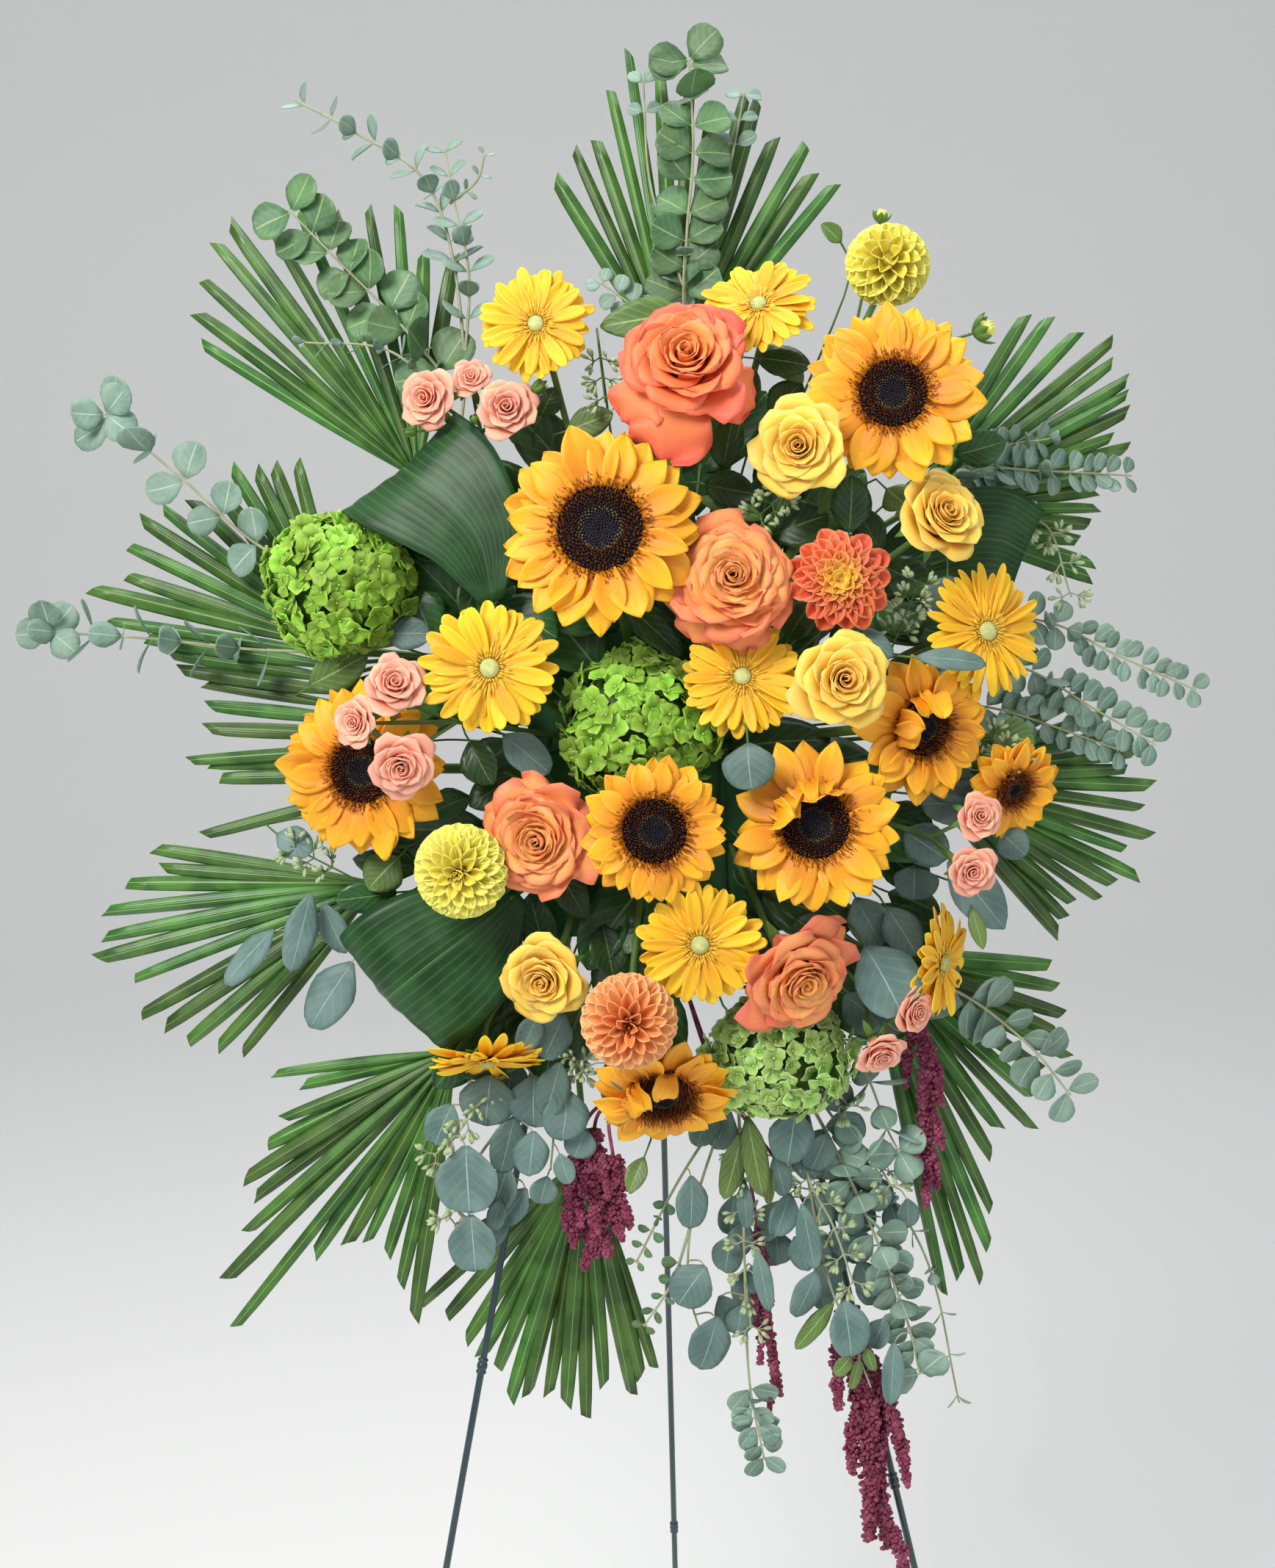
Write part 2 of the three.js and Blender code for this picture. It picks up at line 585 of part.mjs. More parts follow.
// A fan of palm blades, cut square at the tips, with a valley between each blade and the next.
// The tips go round the hub anticlockwise, as the viewer sees them.
function palmFan({ hub, tips, source }) {
  const middle = at(...hub);
  const spokes = tips.map((tip) => at(...tip).sub(middle));
  const angles = spokes.map((spoke) => Math.atan2(spoke.z, spoke.x));
  const unwound = angles.map((angle) => (angle < angles[0] - 0.01 ? angle + 2 * Math.PI : angle));
  const gap = (i) => (i < 0 || i > spokes.length - 2 ? 0.2 : unwound[i + 1] - unwound[i]);
  const skin = new Skin();
  const [front, back] = [1.5, -1.5].map((out) => skin.add(middle.clone().addScaledVector(ahead, out)));
  const valleys = times(spokes.length + 1, (k) => {
    const i = k - 1;
    const end = i < 0 || i === spokes.length - 1;
    const past = end ? 0.5 : gap(i) / 2;
    const angle = i < 0 ? unwound[0] - past : unwound[i] + past;
    const radius = end ? 6 : gap(i) > 0.5 ? 9 : 34;
    return skin.add(at(radius * Math.cos(angle), radius * Math.sin(angle), -0.5).add(middle));
  });
  spokes.forEach((spoke, i) => {
    const along = spoke.clone().normalize();
    const side = along.clone().cross(ahead).negate().normalize();
    const room = 0.94 * widest * spoke.length() * Math.tan(Math.min(gap(i - 1), gap(i)) / 2);
    const half = Math.min(bladeHalf, room);
    const shoulder = middle.clone().addScaledVector(spoke, widest);
    const end = middle.clone().add(spoke);
    const point = (base, across, out, short = 0) => skin.add(base.clone().addScaledVector(side, across)
      .addScaledVector(ahead, out).addScaledVector(along, -short));
    const rim = [
      point(shoulder, -half, -1.5), point(end, -0.85 * half, -1, 0.6 * half), point(end, 0, 0.8),
      point(end, 0.85 * half, -1, 0.2 * half), point(shoulder, half, -1.5),
    ];
    const fold = 0.2 * half;
    skin.fan(point(shoulder, 0, fold + 1), [front, valleys[i], ...rim, valleys[i + 1]]);
    skin.fan(point(shoulder, 0, fold - 0.6), [back, valleys[i + 1], ...[...rim].reverse(), valleys[i]]);
  });
  const outward = middle.clone().sub(at(...source)).normalize();
  const start = middle.clone().addScaledVector(outward, -hubLength);
  const foot = footOf(start, leafStalk, ahead, source);
  const rings = squareRings([start, foot], leafStalk, ahead).map((ring) => skin.ring(ring));
  skin.band([valleys[0], back, valleys[spokes.length], front], rings[0]);
  skin.band(rings[0], rings[1]);
  skin.faces.push([rings[1][2], rings[1][1], rings[1][0]], [rings[1][3], rings[1][2], rings[1][0]]);
  return skin.solid();
}

const palmFans = [
  { hub: [-196, 236, 34], source: [-72, 124, 35],
    tips: [[-160, 421, 30], [-206, 463, 30], [-229, 465, 30], [-349, 457, 26], [-361, 439, 26],
      [-371, 411, 24], [-378, 382, 24], [-374, 356, 24]] },
  { hub: [27, 318, 34], source: [14, 115, 35],
    tips: [[166, 473, 28], [141, 509, 28], [105, 545, 28], [92, 551, 28], [-4, 593, 26], [-20, 560, 26],
      [-54, 510, 26], [-68, 487, 26]] },
  { hub: [222, 196, 34], source: [70, 112, 35],
    tips: [[371, 135, 30], [380, 195, 28], [408, 244, 26], [410, 274, 26], [410, 304, 24], [398, 337, 24],
      [345, 356, 24], [327, 357, 24]] },
  { hub: [226, -31, 34], source: [70, -20, 35],
    tips: [[335, -167, 34], [371, -138, 34], [406, -119, 32], [417, -86, 30], [419, -43, 30],
      [408, -13, 30], [348, 46, 30]] },
  { hub: [176, -178, 34], source: [72, -118, 35],
    tips: [[230, -470, 22], [266, -459, 22], [272, -432, 22], [284, -329, 26], [309, -333, 26],
      [342, -271, 28], [338, -237, 28], [328, -194, 30]] },
  { hub: [-262, 92, 34], source: [-72, 70, 35],
    tips: [[-300, 248, 28], [-352, 247, 28], [-431, 206, 26], [-473, 150, 26], [-461, 123, 26],
      [-380, 64, 30], [-394, 2, 30], [-368, -16, 30], [-384, -62, 30]] },
  { hub: [-240, -108, 34], source: [-72, -56, 35],
    tips: [[-426, -75, 28], [-450, -100, 28], [-471, -127, 28], [-478, -167, 26], [-444, -211, 24],
      [-404, -239, 24], [-358, -247, 24]] },
  { hub: [-178, -252, 34], source: [-70, -118, 35],
    tips: [[-330, -268, 28], [-306, -279, 28], [-360, -354, 24], [-359, -400, 22], [-380, -440, 20],
      [-372, -483, 20], [-303, -422, 22], [-240, -424, 22], [-221, -478, 20]] },
  { hub: [-71, -352, -20], source: [-82, -112, 46],
    tips: [[-215, -478, -24], [-179, -509, -26], [-142, -564, -28], [-110, -560, -28], [-78, -582, -30],
      [-40, -563, -30], [-16, -540, -30]] },
];

// A square stalk along a curve, with a pair of opposite leaves at each joint, turned across the last pair
function leafyStalk({ places, radius = 1.5, leaves }) {
  const curve = new THREE.CatmullRomCurve3(places.map((p) => at(...p)), false, 'centripetal');
  const { pairs, length, round = 0.9, from, lean = 30, taper = 0.6, plump = 0.7 } = leaves;
  const bends = 3;
  const reach = curve.getLength();
  const nodeHalf = radius / reach;
  const nodes = times(pairs, (i) => from + ((0.985 - nodeHalf - from) * i) / Math.max(1, pairs - 1));
  const isClear = (t) => nodes.every((n) => Math.abs(n - t) > 6 * nodeHalf);
  const plain = times(bends, (i) => i / bends).filter(isClear);
  const stops = [...nodes.flatMap((t) => [t - nodeHalf, t + nodeHalf]), ...plain, 1].sort((a, b) => a - b);
  const skin = new Skin();
  const rings = stops.map((t) => {
    const along = curve.getTangentAt(t);
    const frame = frameAt(along, along.clone().cross(ahead));
    const centre = curve.getPointAt(t);
    const ring = skin.ring(corners.map((corner) => centre.clone().add(cornerOffset(frame, corner, radius))));
    return { ring, frame, centre, along };
  });
  const first = rings[0].ring;
  skin.faces.push([first[0], first[1], first[2]], [first[0], first[2], first[3]]);
  rings.slice(1).forEach((b, k) => {
    const a = rings[k];
    const pair = nodes.findIndex((t) => Math.abs(t - nodeHalf - stops[k]) < 1e-9);
    if (pair < 0) skin.band(a.ring, b.ring);
    else growPair(skin, a, b, { pair, length: length * (1 - (1 - taper) * nodes[pair]), round, lean, plump });
  });
  const last = rings[rings.length - 1].ring;
  skin.faces.push([last[2], last[1], last[0]], [last[3], last[2], last[0]]);
  return skin.solid();
}

// Two leaves on opposite faces of a stalk's short joint, and plain faces between them
function growPair(skin, a, b, { pair, length, round, lean, plump }) {
  const { u, v } = a.frame;
  const faceWays = [v, u.clone().negate(), v.clone().negate(), u];
  faceWays.forEach((way, k) => {
    const next = (k + 1) % 4;
    const [a0, a1, b0, b1] = [a.ring[k], a.ring[next], b.ring[k], b.ring[next]];
    if (k % 2 !== (pair + 1) % 2) {
      skin.faces.push([a0, b0, b1], [a0, b1, a1]);
      return;
    }
    const tilt = degrees(k % 2 ? lean : lean + 25);
    const outward = way.clone().multiplyScalar(Math.cos(tilt)).addScaledVector(a.along, Math.sin(tilt));
    const across = a.along.clone().multiplyScalar(Math.cos(tilt)).addScaledVector(way, -Math.sin(tilt));
    const normal = skin.points[a1].clone().sub(skin.points[a0]).normalize();
    const point = (forward, side, lift) =>
      skin.add(a.centre.clone().addScaledVector(outward, forward * length)
        .addScaledVector(across, (side * round * length) / 2).addScaledVector(normal, lift));
    const [low, tip, high] = [point(0.55, -1, 0), point(1, 0, 0), point(0.55, 1, 0)];
    skin.fan(point(0.5, 0, -plump), [a0, b0, high, tip, low]);
    skin.fan(point(0.5, 0, plump), [b1, a1, low, tip, high]);
    skin.faces.push([b0, b1, high], [a1, a0, low]);
  });
}

function branching({ root, source, twigs }) {
  const fork = at(...root);
  const hint = at(0, 0, 1);
  const foot = footOf(fork, 2.5, hint, source);
  const stem = tubeSolid(squareRings([fork.clone().lerp(foot, -0.03), foot], 2.5, hint));
  return join([stem, ...twigs.map(leafyStalk)]);
}

const seeds = { length: 12, round: 0.5, plump: 2.2, lean: 35, taper: 1 };
const eucalyptus = {
  eucalyptus_left: {
    root: [-142, 112, 62], source: [-66, 92, 62],
    twigs: [
      { places: [[-140, 111, 62], [-160, 220, 66], [-150, 330, 70], [-176, 475, 72], [-237, 522, 70],
        [-285, 550, 68]], radius: 1.8,
      leaves: { pairs: 6, length: 17, from: 0.62, taper: 0.5, round: 1 } },
      { places: [[-150, 326, 70], [-144, 400, 76], [-154, 458, 76], [-161, 504, 74]],
        leaves: { pairs: 4, length: 16, from: 0.3 } },
      { places: [[-155, 300, 69], [-209, 368, 62], [-253, 415, 60], [-295, 461, 60]],
        leaves: { pairs: 4, length: 32, from: 0.35, round: 1, taper: 0.9 } },
      { places: [[-156, 280, 68], [-210, 336, 58], [-285, 347, 56]],
        leaves: { pairs: 4, length: 18, from: 0.35, round: 0.7 } },
      { places: [[-140, 111, 62], [-230, 132, 58], [-326, 178, 58], [-389, 236, 60], [-453, 293, 62]],
        radius: 1.8, leaves: { pairs: 5, length: 32, from: 0.56, round: 1, taper: 0.9 } },
      { places: [[-140, 111, 62], [-240, 90, 58], [-330, 92, 60], [-413, 103, 62], [-504, 112, 64]],
        radius: 1.8, leaves: { pairs: 5, length: 28, from: 0.56, round: 0.8, taper: 1 } },
    ],
  },
  eucalyptus_top: {
    root: [34, 240, 62], source: [26, 118, 60],
    twigs: [
      { places: [[34, 236, 62], [34, 330, 66], [38, 420, 70], [46, 500, 70], [45, 574, 68]], radius: 1.8,
        leaves: { pairs: 6, length: 32, from: 0.42, round: 1, taper: 0.75 } },
      { places: [[36, 380, 68], [72, 470, 58], [91, 549, 54]],
        leaves: { pairs: 2, length: 22, from: 0.8, round: 1 } },
    ],
  },
  eucalyptus_right: {
    root: [176, 78, 62], source: [66, 64, 62],
    twigs: [
      { places: [[172, 77, 62], [220, 160, 66], [270, 222, 66], [330, 222, 66], [405, 216, 66]],
        leaves: { pairs: 5, length: 17, from: 0.5, round: 0.7 } },
      { places: [[172, 77, 62], [260, 150, 60], [329, 180, 60], [353, 116, 60]],
        leaves: { ...seeds, pairs: 3, from: 0.66 } },
      { places: [[172, 77, 62], [250, 100, 60], [332, 96, 60], [390, 66, 62], [455, 35, 62]],
        leaves: { pairs: 6, length: 15, from: 0.5, taper: 0.5 } },
      { places: [[172, 77, 62], [250, 66, 56], [312, 58, 54], [370, 22, 56], [421, -10, 58]],
        leaves: { pairs: 5, length: 16, from: 0.46 } },
      { places: [[172, 77, 62], [240, 36, 54], [298, 22, 50], [394, -14, 50]],
        leaves: { pairs: 3, length: 15, from: 0.5 } },
    ],
  },
  eucalyptus_trailing: {
    root: [84, -236, 58], source: [78, -112, 62],
    twigs: [
      { places: [[83, -234, 58], [112, -330, 62], [150, -420, 56], [190, -490, 44], [216, -535, 36]],
        leaves: { pairs: 7, length: 24, from: 0.35, round: 1, taper: 0.8 } },
      { places: [[83, -234, 58], [150, -330, 50], [215, -434, 38], [244, -568, 20]],
        leaves: { pairs: 3, length: 12, from: 0.6 } },
      { places: [[83, -234, 58], [40, -330, 70], [18, -400, 66], [15, -457, 60], [27, -505, 54]],
        leaves: { pairs: 4, length: 36, from: 0.5, round: 0.85, taper: 1 } },
      { places: [[60, -290, 66], [62, -370, 70], [62, -440, 62], [66, -500, 54]],
        leaves: { ...seeds, pairs: 5, from: 0.3 } },
      { places: [[83, -234, 58], [160, -212, 66], [230, -205, 74], [302, -255, 66], [340, -302, 60]],
        radius: 1.8, leaves: { pairs: 4, length: 26, from: 0.62, round: 1, taper: 0.8 } },
      { places: [[112, -330, 62], [132, -450, 64], [150, -500, 56], [166, -545, 50]],
        leaves: { pairs: 2, length: 34, from: 0.7, round: 0.7 } },
      { places: [[62, -440, 62], [64, -540, 46], [75, -612, 34]],
        leaves: { pairs: 3, length: 18, from: 0.7 } },
    ],
  },
  eucalyptus_silver: {
    root: [-96, -232, 62], source: [-66, -112, 60],
    twigs: [
      { places: [[-95, -230, 62], [-120, -290, 72], [-128, -340, 74], [-150, -400, 68]],
        leaves: { pairs: 4, length: 42, from: 0.25, round: 0.85, taper: 0.9 } },
      { places: [[-95, -230, 62], [-92, -290, 50], [-98, -350, 46]],
        leaves: { pairs: 3, length: 36, from: 0.4, round: 0.8, taper: 0.8 } },
      { places: [[-95, -230, 62], [-170, -200, 62], [-250, -160, 64], [-300, -170, 64]],
        radius: 1.8, leaves: { pairs: 3, length: 48, from: 0.6, round: 0.45, lean: 50, taper: 1 } },
    ],
  },
};

// A broad leaf that loops over: a strip of sections, each with its middle, half width and width's direction
function loopedLeaf({ root, source, sections }) {
  const thick = 1;
  const middles = sections.map(({ place }) => at(...place));
  const skin = new Skin();
  const rings = sections.map(({ half, across }, i) => {
    const side = at(...across).normalize();
    const before = middles[Math.max(0, i - 1)];
    const after = middles[Math.min(middles.length - 1, i + 1)];
    const normal = after.clone().sub(before).cross(side).normalize();
    const point = (share, lift) =>
      middles[i].clone().addScaledVector(side, share * half).addScaledVector(normal, lift);
    const sag = -0.1 * half;
    return skin.ring([point(-1, thick / 2), point(0, sag + thick / 2), point(1, thick / 2),
      point(1, -thick / 2), point(0, sag - thick / 2), point(-1, -thick / 2)]);
  });
  const end = rings[rings.length - 1];
  skin.faces.push([rings[0][1], rings[0][4], rings[0][5]], [rings[0][1], rings[0][5], rings[0][0]],
    [rings[0][2], rings[0][3], rings[0][4]], [rings[0][2], rings[0][4], rings[0][1]]);
  rings.slice(1).forEach((ring, i) => skin.band(rings[i], ring));
  skin.faces.push([end[1], end[0], end[5]], [end[1], end[5], end[4]], [end[2], end[1], end[4]],
    [end[2], end[4], end[3]]);
  const rootPlace = at(...root);
  const foot = footOf(rootPlace, leafStalk, ahead, source);
  const top = rootPlace.clone().lerp(foot, -0.05);
  return join([skin.solid(), tubeSolid(squareRings([top, foot], leafStalk, ahead))]);
}

const aspidistra = {
  aspidistra_1: {
    root: [-146, 146, 96], source: [-50, 84, 56],
    sections: [
      { place: [-141, 142, 94], half: 9, across: [0.7, 0.7, 0] },
      { place: [-164, 176, 102], half: 32, across: [0.74, 0.67, 0] },
      { place: [-184, 208, 110], half: 44, across: [0.75, 0.66, 0] },
      { place: [-198, 224, 124], half: 48, across: [0.75, 0.66, 0] },
      { place: [-194, 222, 144], half: 48, across: [0.76, 0.65, 0] },
      { place: [-172, 196, 158], half: 44, across: [0.78, 0.62, 0] },
      { place: [-150, 160, 162], half: 36, across: [0.82, 0.56, 0] },
      { place: [-134, 132, 160], half: 16, across: [0.86, 0.5, 0] },
    ],
  },
  aspidistra_2: {
    root: [-123, -121, 122], source: [-40, -60, 60],
    sections: [
      { place: [-116, -116, 119], half: 9, across: [-0.64, 0.77, 0] },
      { place: [-148, -142, 132], half: 42, across: [-0.64, 0.77, 0] },
      { place: [-185, -168, 138], half: 60, across: [-0.66, 0.75, 0] },
      { place: [-212, -188, 132], half: 66, across: [-0.66, 0.75, 0] },
      { place: [-222, -196, 116], half: 64, across: [-0.66, 0.75, 0] },
      { place: [-208, -186, 102], half: 52, across: [-0.66, 0.75, 0] },
      { place: [-176, -164, 96], half: 26, across: [-0.66, 0.75, 0] },
    ],
  },
  aspidistra_3: {
    root: [180, 130, 91], source: [50, 66, 50],
    sections: [
      { place: [174, 127, 89], half: 9, across: [-0.4, 0.92, 0] },
      { place: [214, 148, 98], half: 30, across: [-0.3, 0.95, 0] },
      { place: [254, 162, 102], half: 42, across: [-0.1, 1, 0] },
      { place: [290, 162, 100], half: 44, across: [0.2, 0.98, 0] },
      { place: [312, 152, 88], half: 38, across: [0.4, 0.9, 0] },
    ],
  },
};

// Hanging amaranthus: knobbly tassels, each on a thin stalk from one stem in the foam

function tasselStrand({ stalk, tassel, radius }) {
  const [sides, knobs] = [5, 6];
  const skin = new Skin();
  const places = [...stalk, ...tassel].map((p) => at(...p));
  const hanging = new THREE.CatmullRomCurve3(places, false, 'centripetal');
  const bare = stalk.length / (stalk.length + tassel.length - 1);
  const stops = [
    ...times(stalk.length, (i) => [(0.9 * bare * i) / (stalk.length - 1), 1.8]),
    ...times(knobs, (i) => {
      const t = i / (knobs - 1);
      const plump = 0.55 + 0.6 * Math.sin(Math.PI * (0.2 + 0.7 * t));
      return [bare + 0.97 * (1 - bare) * t, radius * plump * (i % 2 ? 1.2 : 0.85)];
    }),
  ];
  const rings = stops.map(([t, swell], i) => {
    const along = hanging.getTangent(t);
    const frame = frameAt(along, along.clone().cross(ahead));
    return skin.ring(times(sides, (k) => {
      const angle = (2 * Math.PI * (k + 0.5 * (i % 2))) / sides;
      return hanging.getPoint(t).add(cornerOffset(frame, [Math.cos(angle), Math.sin(angle)], swell));
    }));
  });
  skin.fan(skin.add(hanging.getPoint(0)), rings[0]);
  rings.slice(1).forEach((ring, i) => skin.band(rings[i], ring));
  skin.fan(skin.add(hanging.getPoint(1)), [...rings[rings.length - 1]].reverse());
  return skin.solid();
}

const amaranthusRoot = { place: [16, -196, 46], source: [6, -112, 40], radius: 3 };
const amaranthusStrands = [
  { stalk: [[16, -192, 45], [4, -250, 44], [-40, -292, 60]],
    tassel: [[-58, -318, 80], [-60, -366, 78], [-62, -420, 68]], radius: 9 },
  { stalk: [[-38, -290, 59], [-50, -298, 68]],
    tassel: [[-66, -318, 76], [-82, -360, 74], [-84, -406, 64]], radius: 8 },
  { stalk: [[-38, -290, 59], [-42, -300, 72]],
    tassel: [[-46, -316, 84], [-38, -356, 80], [-36, -400, 70]], radius: 8 },
  { stalk: [[16, -192, 45], [44, -280, 34], [66, -350, 40]],
    tassel: [[73, -398, 50], [78, -470, 44], [90, -556, 28]], radius: 6 },
  { stalk: [[16, -192, 45], [110, -214, 40], [180, -226, 66]],
    tassel: [[213, -246, 86], [217, -300, 82], [216, -370, 70]], radius: 9 },
  { stalk: [[16, -192, 45], [44, -280, 34], [120, -400, 22]],
    tassel: [[158, -528, 24], [164, -612, 20], [180, -693, 10]], radius: 13 },
  { stalk: [[118, -398, 22], [140, -450, 20]],
    tassel: [[168, -530, 24], [190, -580, 22], [202, -622, 16]], radius: 8 },
];

function amaranthus({ place, source, radius }) {
  const fork = at(...place);
  const foot = footOf(fork, radius, ahead, source);
  const stem = tubeSolid(squareRings([fork.clone().lerp(foot, -0.05), foot], radius, ahead));
  return join([stem, ...amaranthusStrands.map(tasselStrand)]);
}

// Easel, cage and foam

const leanTurn = new THREE.Matrix4().makeRotationX(-degrees(easel.lean));
const floorHeight = floorUp * Math.cos(degrees(easel.lean));

// What lies under the floor, as seen from the leaning frame
function underFloor() {
  const reach = 2000;
  const block = new THREE.BoxGeometry(2 * reach, 2 * reach, reach);
  block.translate(0, 0, floorHeight - reach / 2);
  block.applyMatrix4(leanTurn.clone().invert());
  return solidFrom(block);
}

const wireSides = 6;
const footReach = 20; // a leg's length beyond the floor, which the floor cuts off

function sleeve(middle, along) {
  const half = along.clone().normalize().multiplyScalar(easel.sleeveLength / 2);
  return rod(middle.clone().sub(half), middle.clone().add(half), easel.sleeveRadius, wireSides);
}

function frontLeg(hand, sleeveDrop) {
  const placeAt = (drop) => at(hand * easel.legSlope * drop, apexUp - drop, legOut);
  const topDrop = (easel.wire + 0.5) / easel.legSlope;
  const [top, foot, collar] = [placeAt(topDrop), placeAt(easel.frameDrop + footReach), placeAt(sleeveDrop)];
  return join([rod(top, foot, easel.wire, wireSides), sleeve(collar, foot.clone().sub(top))])
    .subtract(underFloor());
}

function topBar() {
  return rod(at(-easel.topBarHalf, topBarUp, barOut), at(easel.topBarHalf, topBarUp, barOut), easel.wire,
    wireSides);
}

// A round wire along a smooth curve
function bentWire(points, radius, steps) {
  const rim = times(wireSides, (i) => {
    const angle = (2 * Math.PI * i) / wireSides;
    return new THREE.Vector2(radius * Math.cos(angle), radius * Math.sin(angle));
  });
  const extrudePath = new THREE.CatmullRomCurve3(points, false, 'centripetal');
  const wire = { steps, extrudePath, bevelEnabled: false };
  return solidFrom(new THREE.ExtrudeGeometry(new THREE.Shape(rim), wire));
}

function holderBar() {
  const bar = rod(at(-easel.holderBarHalf, holderBarUp, barOut), at(easel.holderBarHalf, holderBarUp, barOut),
    easel.wire, wireSides);
  const restUp = -(foam.halfHeight + clearance + tray.wall + 3 * clearance + easel.wire);
  const pegs = [-1, 1].map((hand) => {
    const x = hand * easel.pegX;
    const bends = [
      at(x, holderBarUp, barOut), at(x, holderBarUp + 4, barOut + 6), at(x, restUp - 4, barOut + 9),
      at(x, restUp, barOut + 16), at(x, restUp, easel.pegReach),
    ];
    return bentWire(bends, easel.wire, 6);
  });
  return join([bar, ...pegs]);
}

function rearLeg() {
  const hinge = at(0, topBarUp, barOut);
  const eye = { inner: easel.wire + clearance + 0.3, outer: 2.7 * easel.wire, half: 0.9 * easel.wire };
  const ring = new THREE.LatheGeometry([
    [eye.inner, -eye.half], [eye.outer, -eye.half], [eye.outer, eye.half], [eye.inner, eye.half],
    [eye.inner, -eye.half],
  ].map(([r, z]) => new THREE.Vector2(r, z)), 8);
  ring.rotateZ(Math.PI / 2);
  ring.translate(...hinge.toArray());
  const swing = degrees(easel.lean + easel.rearLean);
  const along = at(0, -Math.cos(swing), -Math.sin(swing));
  const length = ((topBarUp - floorUp) * Math.cos(degrees(easel.lean))) / Math.cos(degrees(easel.rearLean));
  const start = hinge.clone().addScaledVector(along, 0.5 * (eye.inner + eye.outer));
  const foot = hinge.clone().addScaledVector(along, length + footReach);
  const collar = hinge.clone().addScaledVector(along, easel.rearSleeve);
  return join([solidFrom(ring), rod(start, foot, easel.wire, wireSides), sleeve(collar, along)])
    .subtract(underFloor());
}

function foamCage() {
  const [innerX, innerUp] = [foam.halfWidth + clearance, foam.halfHeight + clearance];
  const [outerX, outerUp] = [innerX + tray.wall, innerUp + tray.wall];
  const rim = foam.front + clearance;
  const shell = box(at(-outerX, -outerUp, tray.height), at(outerX, outerUp, 0))
    .subtract(box(at(-innerX, -innerUp, tray.height + 1), at(innerX, innerUp, tray.wall)));
  const half = lattice.bar / 2;
  const inside = box(at(-innerX, -innerUp, rim), at(innerX, innerUp, tray.wall));
  const front = rim + lattice.bar;
  const bands = [
    ...lattice.uprights.map((x) => box(at(x - half, -outerUp, front), at(x + half, outerUp, 1))),
    ...lattice.crossbars.map((up) => box(at(-outerX, up - half, front), at(outerX, up + half, 1))),
  ];
  const hooks = [-1, 1].map((hand) => {
    const [left, right] = [hand * hanger.x - hanger.width / 2, hand * hanger.x + hanger.width / 2];
    const crown = topBarUp + easel.wire + clearance;
    const behind = barOut - easel.wire - clearance;
    return join([
      box(at(left, outerUp - 5, 0), at(right, crown + hanger.thick, hanger.thick)),
      box(at(left, crown, behind - hanger.thick), at(right, crown + hanger.thick, hanger.thick)),
      box(at(left, topBarUp - 5, behind - hanger.thick), at(right, crown + 1, behind)),
    ]);
  });
  return join([shell, join(bands).subtract(inside), ...hooks]);
}

function floralFoam() {
  const brick = box(at(-foam.halfWidth, -foam.halfHeight, foam.front),
    at(foam.halfWidth, foam.halfHeight, foam.back));
  return brick.subtract(join(holes));
}

// Finishes

const finish = (color, roughness = 0.7, metalness = 0) =>
  new THREE.MeshStandardMaterial({ color, roughness, metalness });
const finishes = {
  enamel: finish('#34464d', 0.4, 0.2),
  cagePlastic: finish('#2f6b3a', 0.5),
  foam: finish('#3f7f4a', 0.95),
  sunflower: finish('#f5a81c'),
  gerbera: finish('#fac81e'),
  orangeRose: finish('#f08a55'),
  yellowRose: finish('#f6c750'),
  dahlia: finish('#e9c84c'),
  hydrangea: finish('#8fbf3f'),
  sprayRose: finish('#f2a585'),
  palm: finish('#3f6b34', 0.6),
  aspidistra: finish('#1f4a2c', 0.4),
  eucalyptus: finish('#7f9a8c', 0.7),
  amaranthus: finish('#7a2444', 0.9),
};

const spray = new THREE.Group();
const place = (name, solid, material) => spray.add(meshFrom(name, solid, material));

const bloomBeds = [
  ['sunflower', 'sunflower', sunflowers, finishes.sunflower],
  ['gerbera', 'gerbera', gerberas, finishes.gerbera],
  ['rose_orange', 'rose', orangeRoses, finishes.orangeRose],
  ['rose_yellow', 'rose', yellowRoses, finishes.yellowRose],
  ['dahlia', 'dahlia', dahlias, finishes.dahlia],
];
for (const [name, kind, beds, material] of bloomBeds) {
  beds.forEach((spec, i) => place(`${name}_${i + 1}`, bloom(kind, spec), material));
}
hydrangeas.forEach((spec, i) => place(`hydrangea_${i + 1}`, hydrangea(spec), finishes.hydrangea));
sprayRoses.forEach((spec, i) => place(`spray_rose_${i + 1}`, sprig('smallRose', spec), finishes.sprayRose));
palmFans.forEach((spec, i) => place(`palm_fan_${i + 1}`, palmFan(spec), finishes.palm));
for (const [name, spec] of Object.entries(eucalyptus)) place(name, branching(spec), finishes.eucalyptus);
for (const [name, spec] of Object.entries(aspidistra)) place(name, loopedLeaf(spec), finishes.aspidistra);
place('amaranthus', amaranthus(amaranthusRoot), finishes.amaranthus);

place('easel_leg_left', frontLeg(-1, easel.sleeveDrops.left), finishes.enamel);
place('easel_leg_right', frontLeg(1, easel.sleeveDrops.right), finishes.enamel);
place('easel_top_bar', topBar(), finishes.enamel);
place('easel_holder_bar', holderBar(), finishes.enamel);
place('easel_rear_leg', rearLeg(), finishes.enamel);
place('foam_cage', foamCage(), finishes.cagePlastic);
place('floral_foam', floralFoam(), finishes.foam);

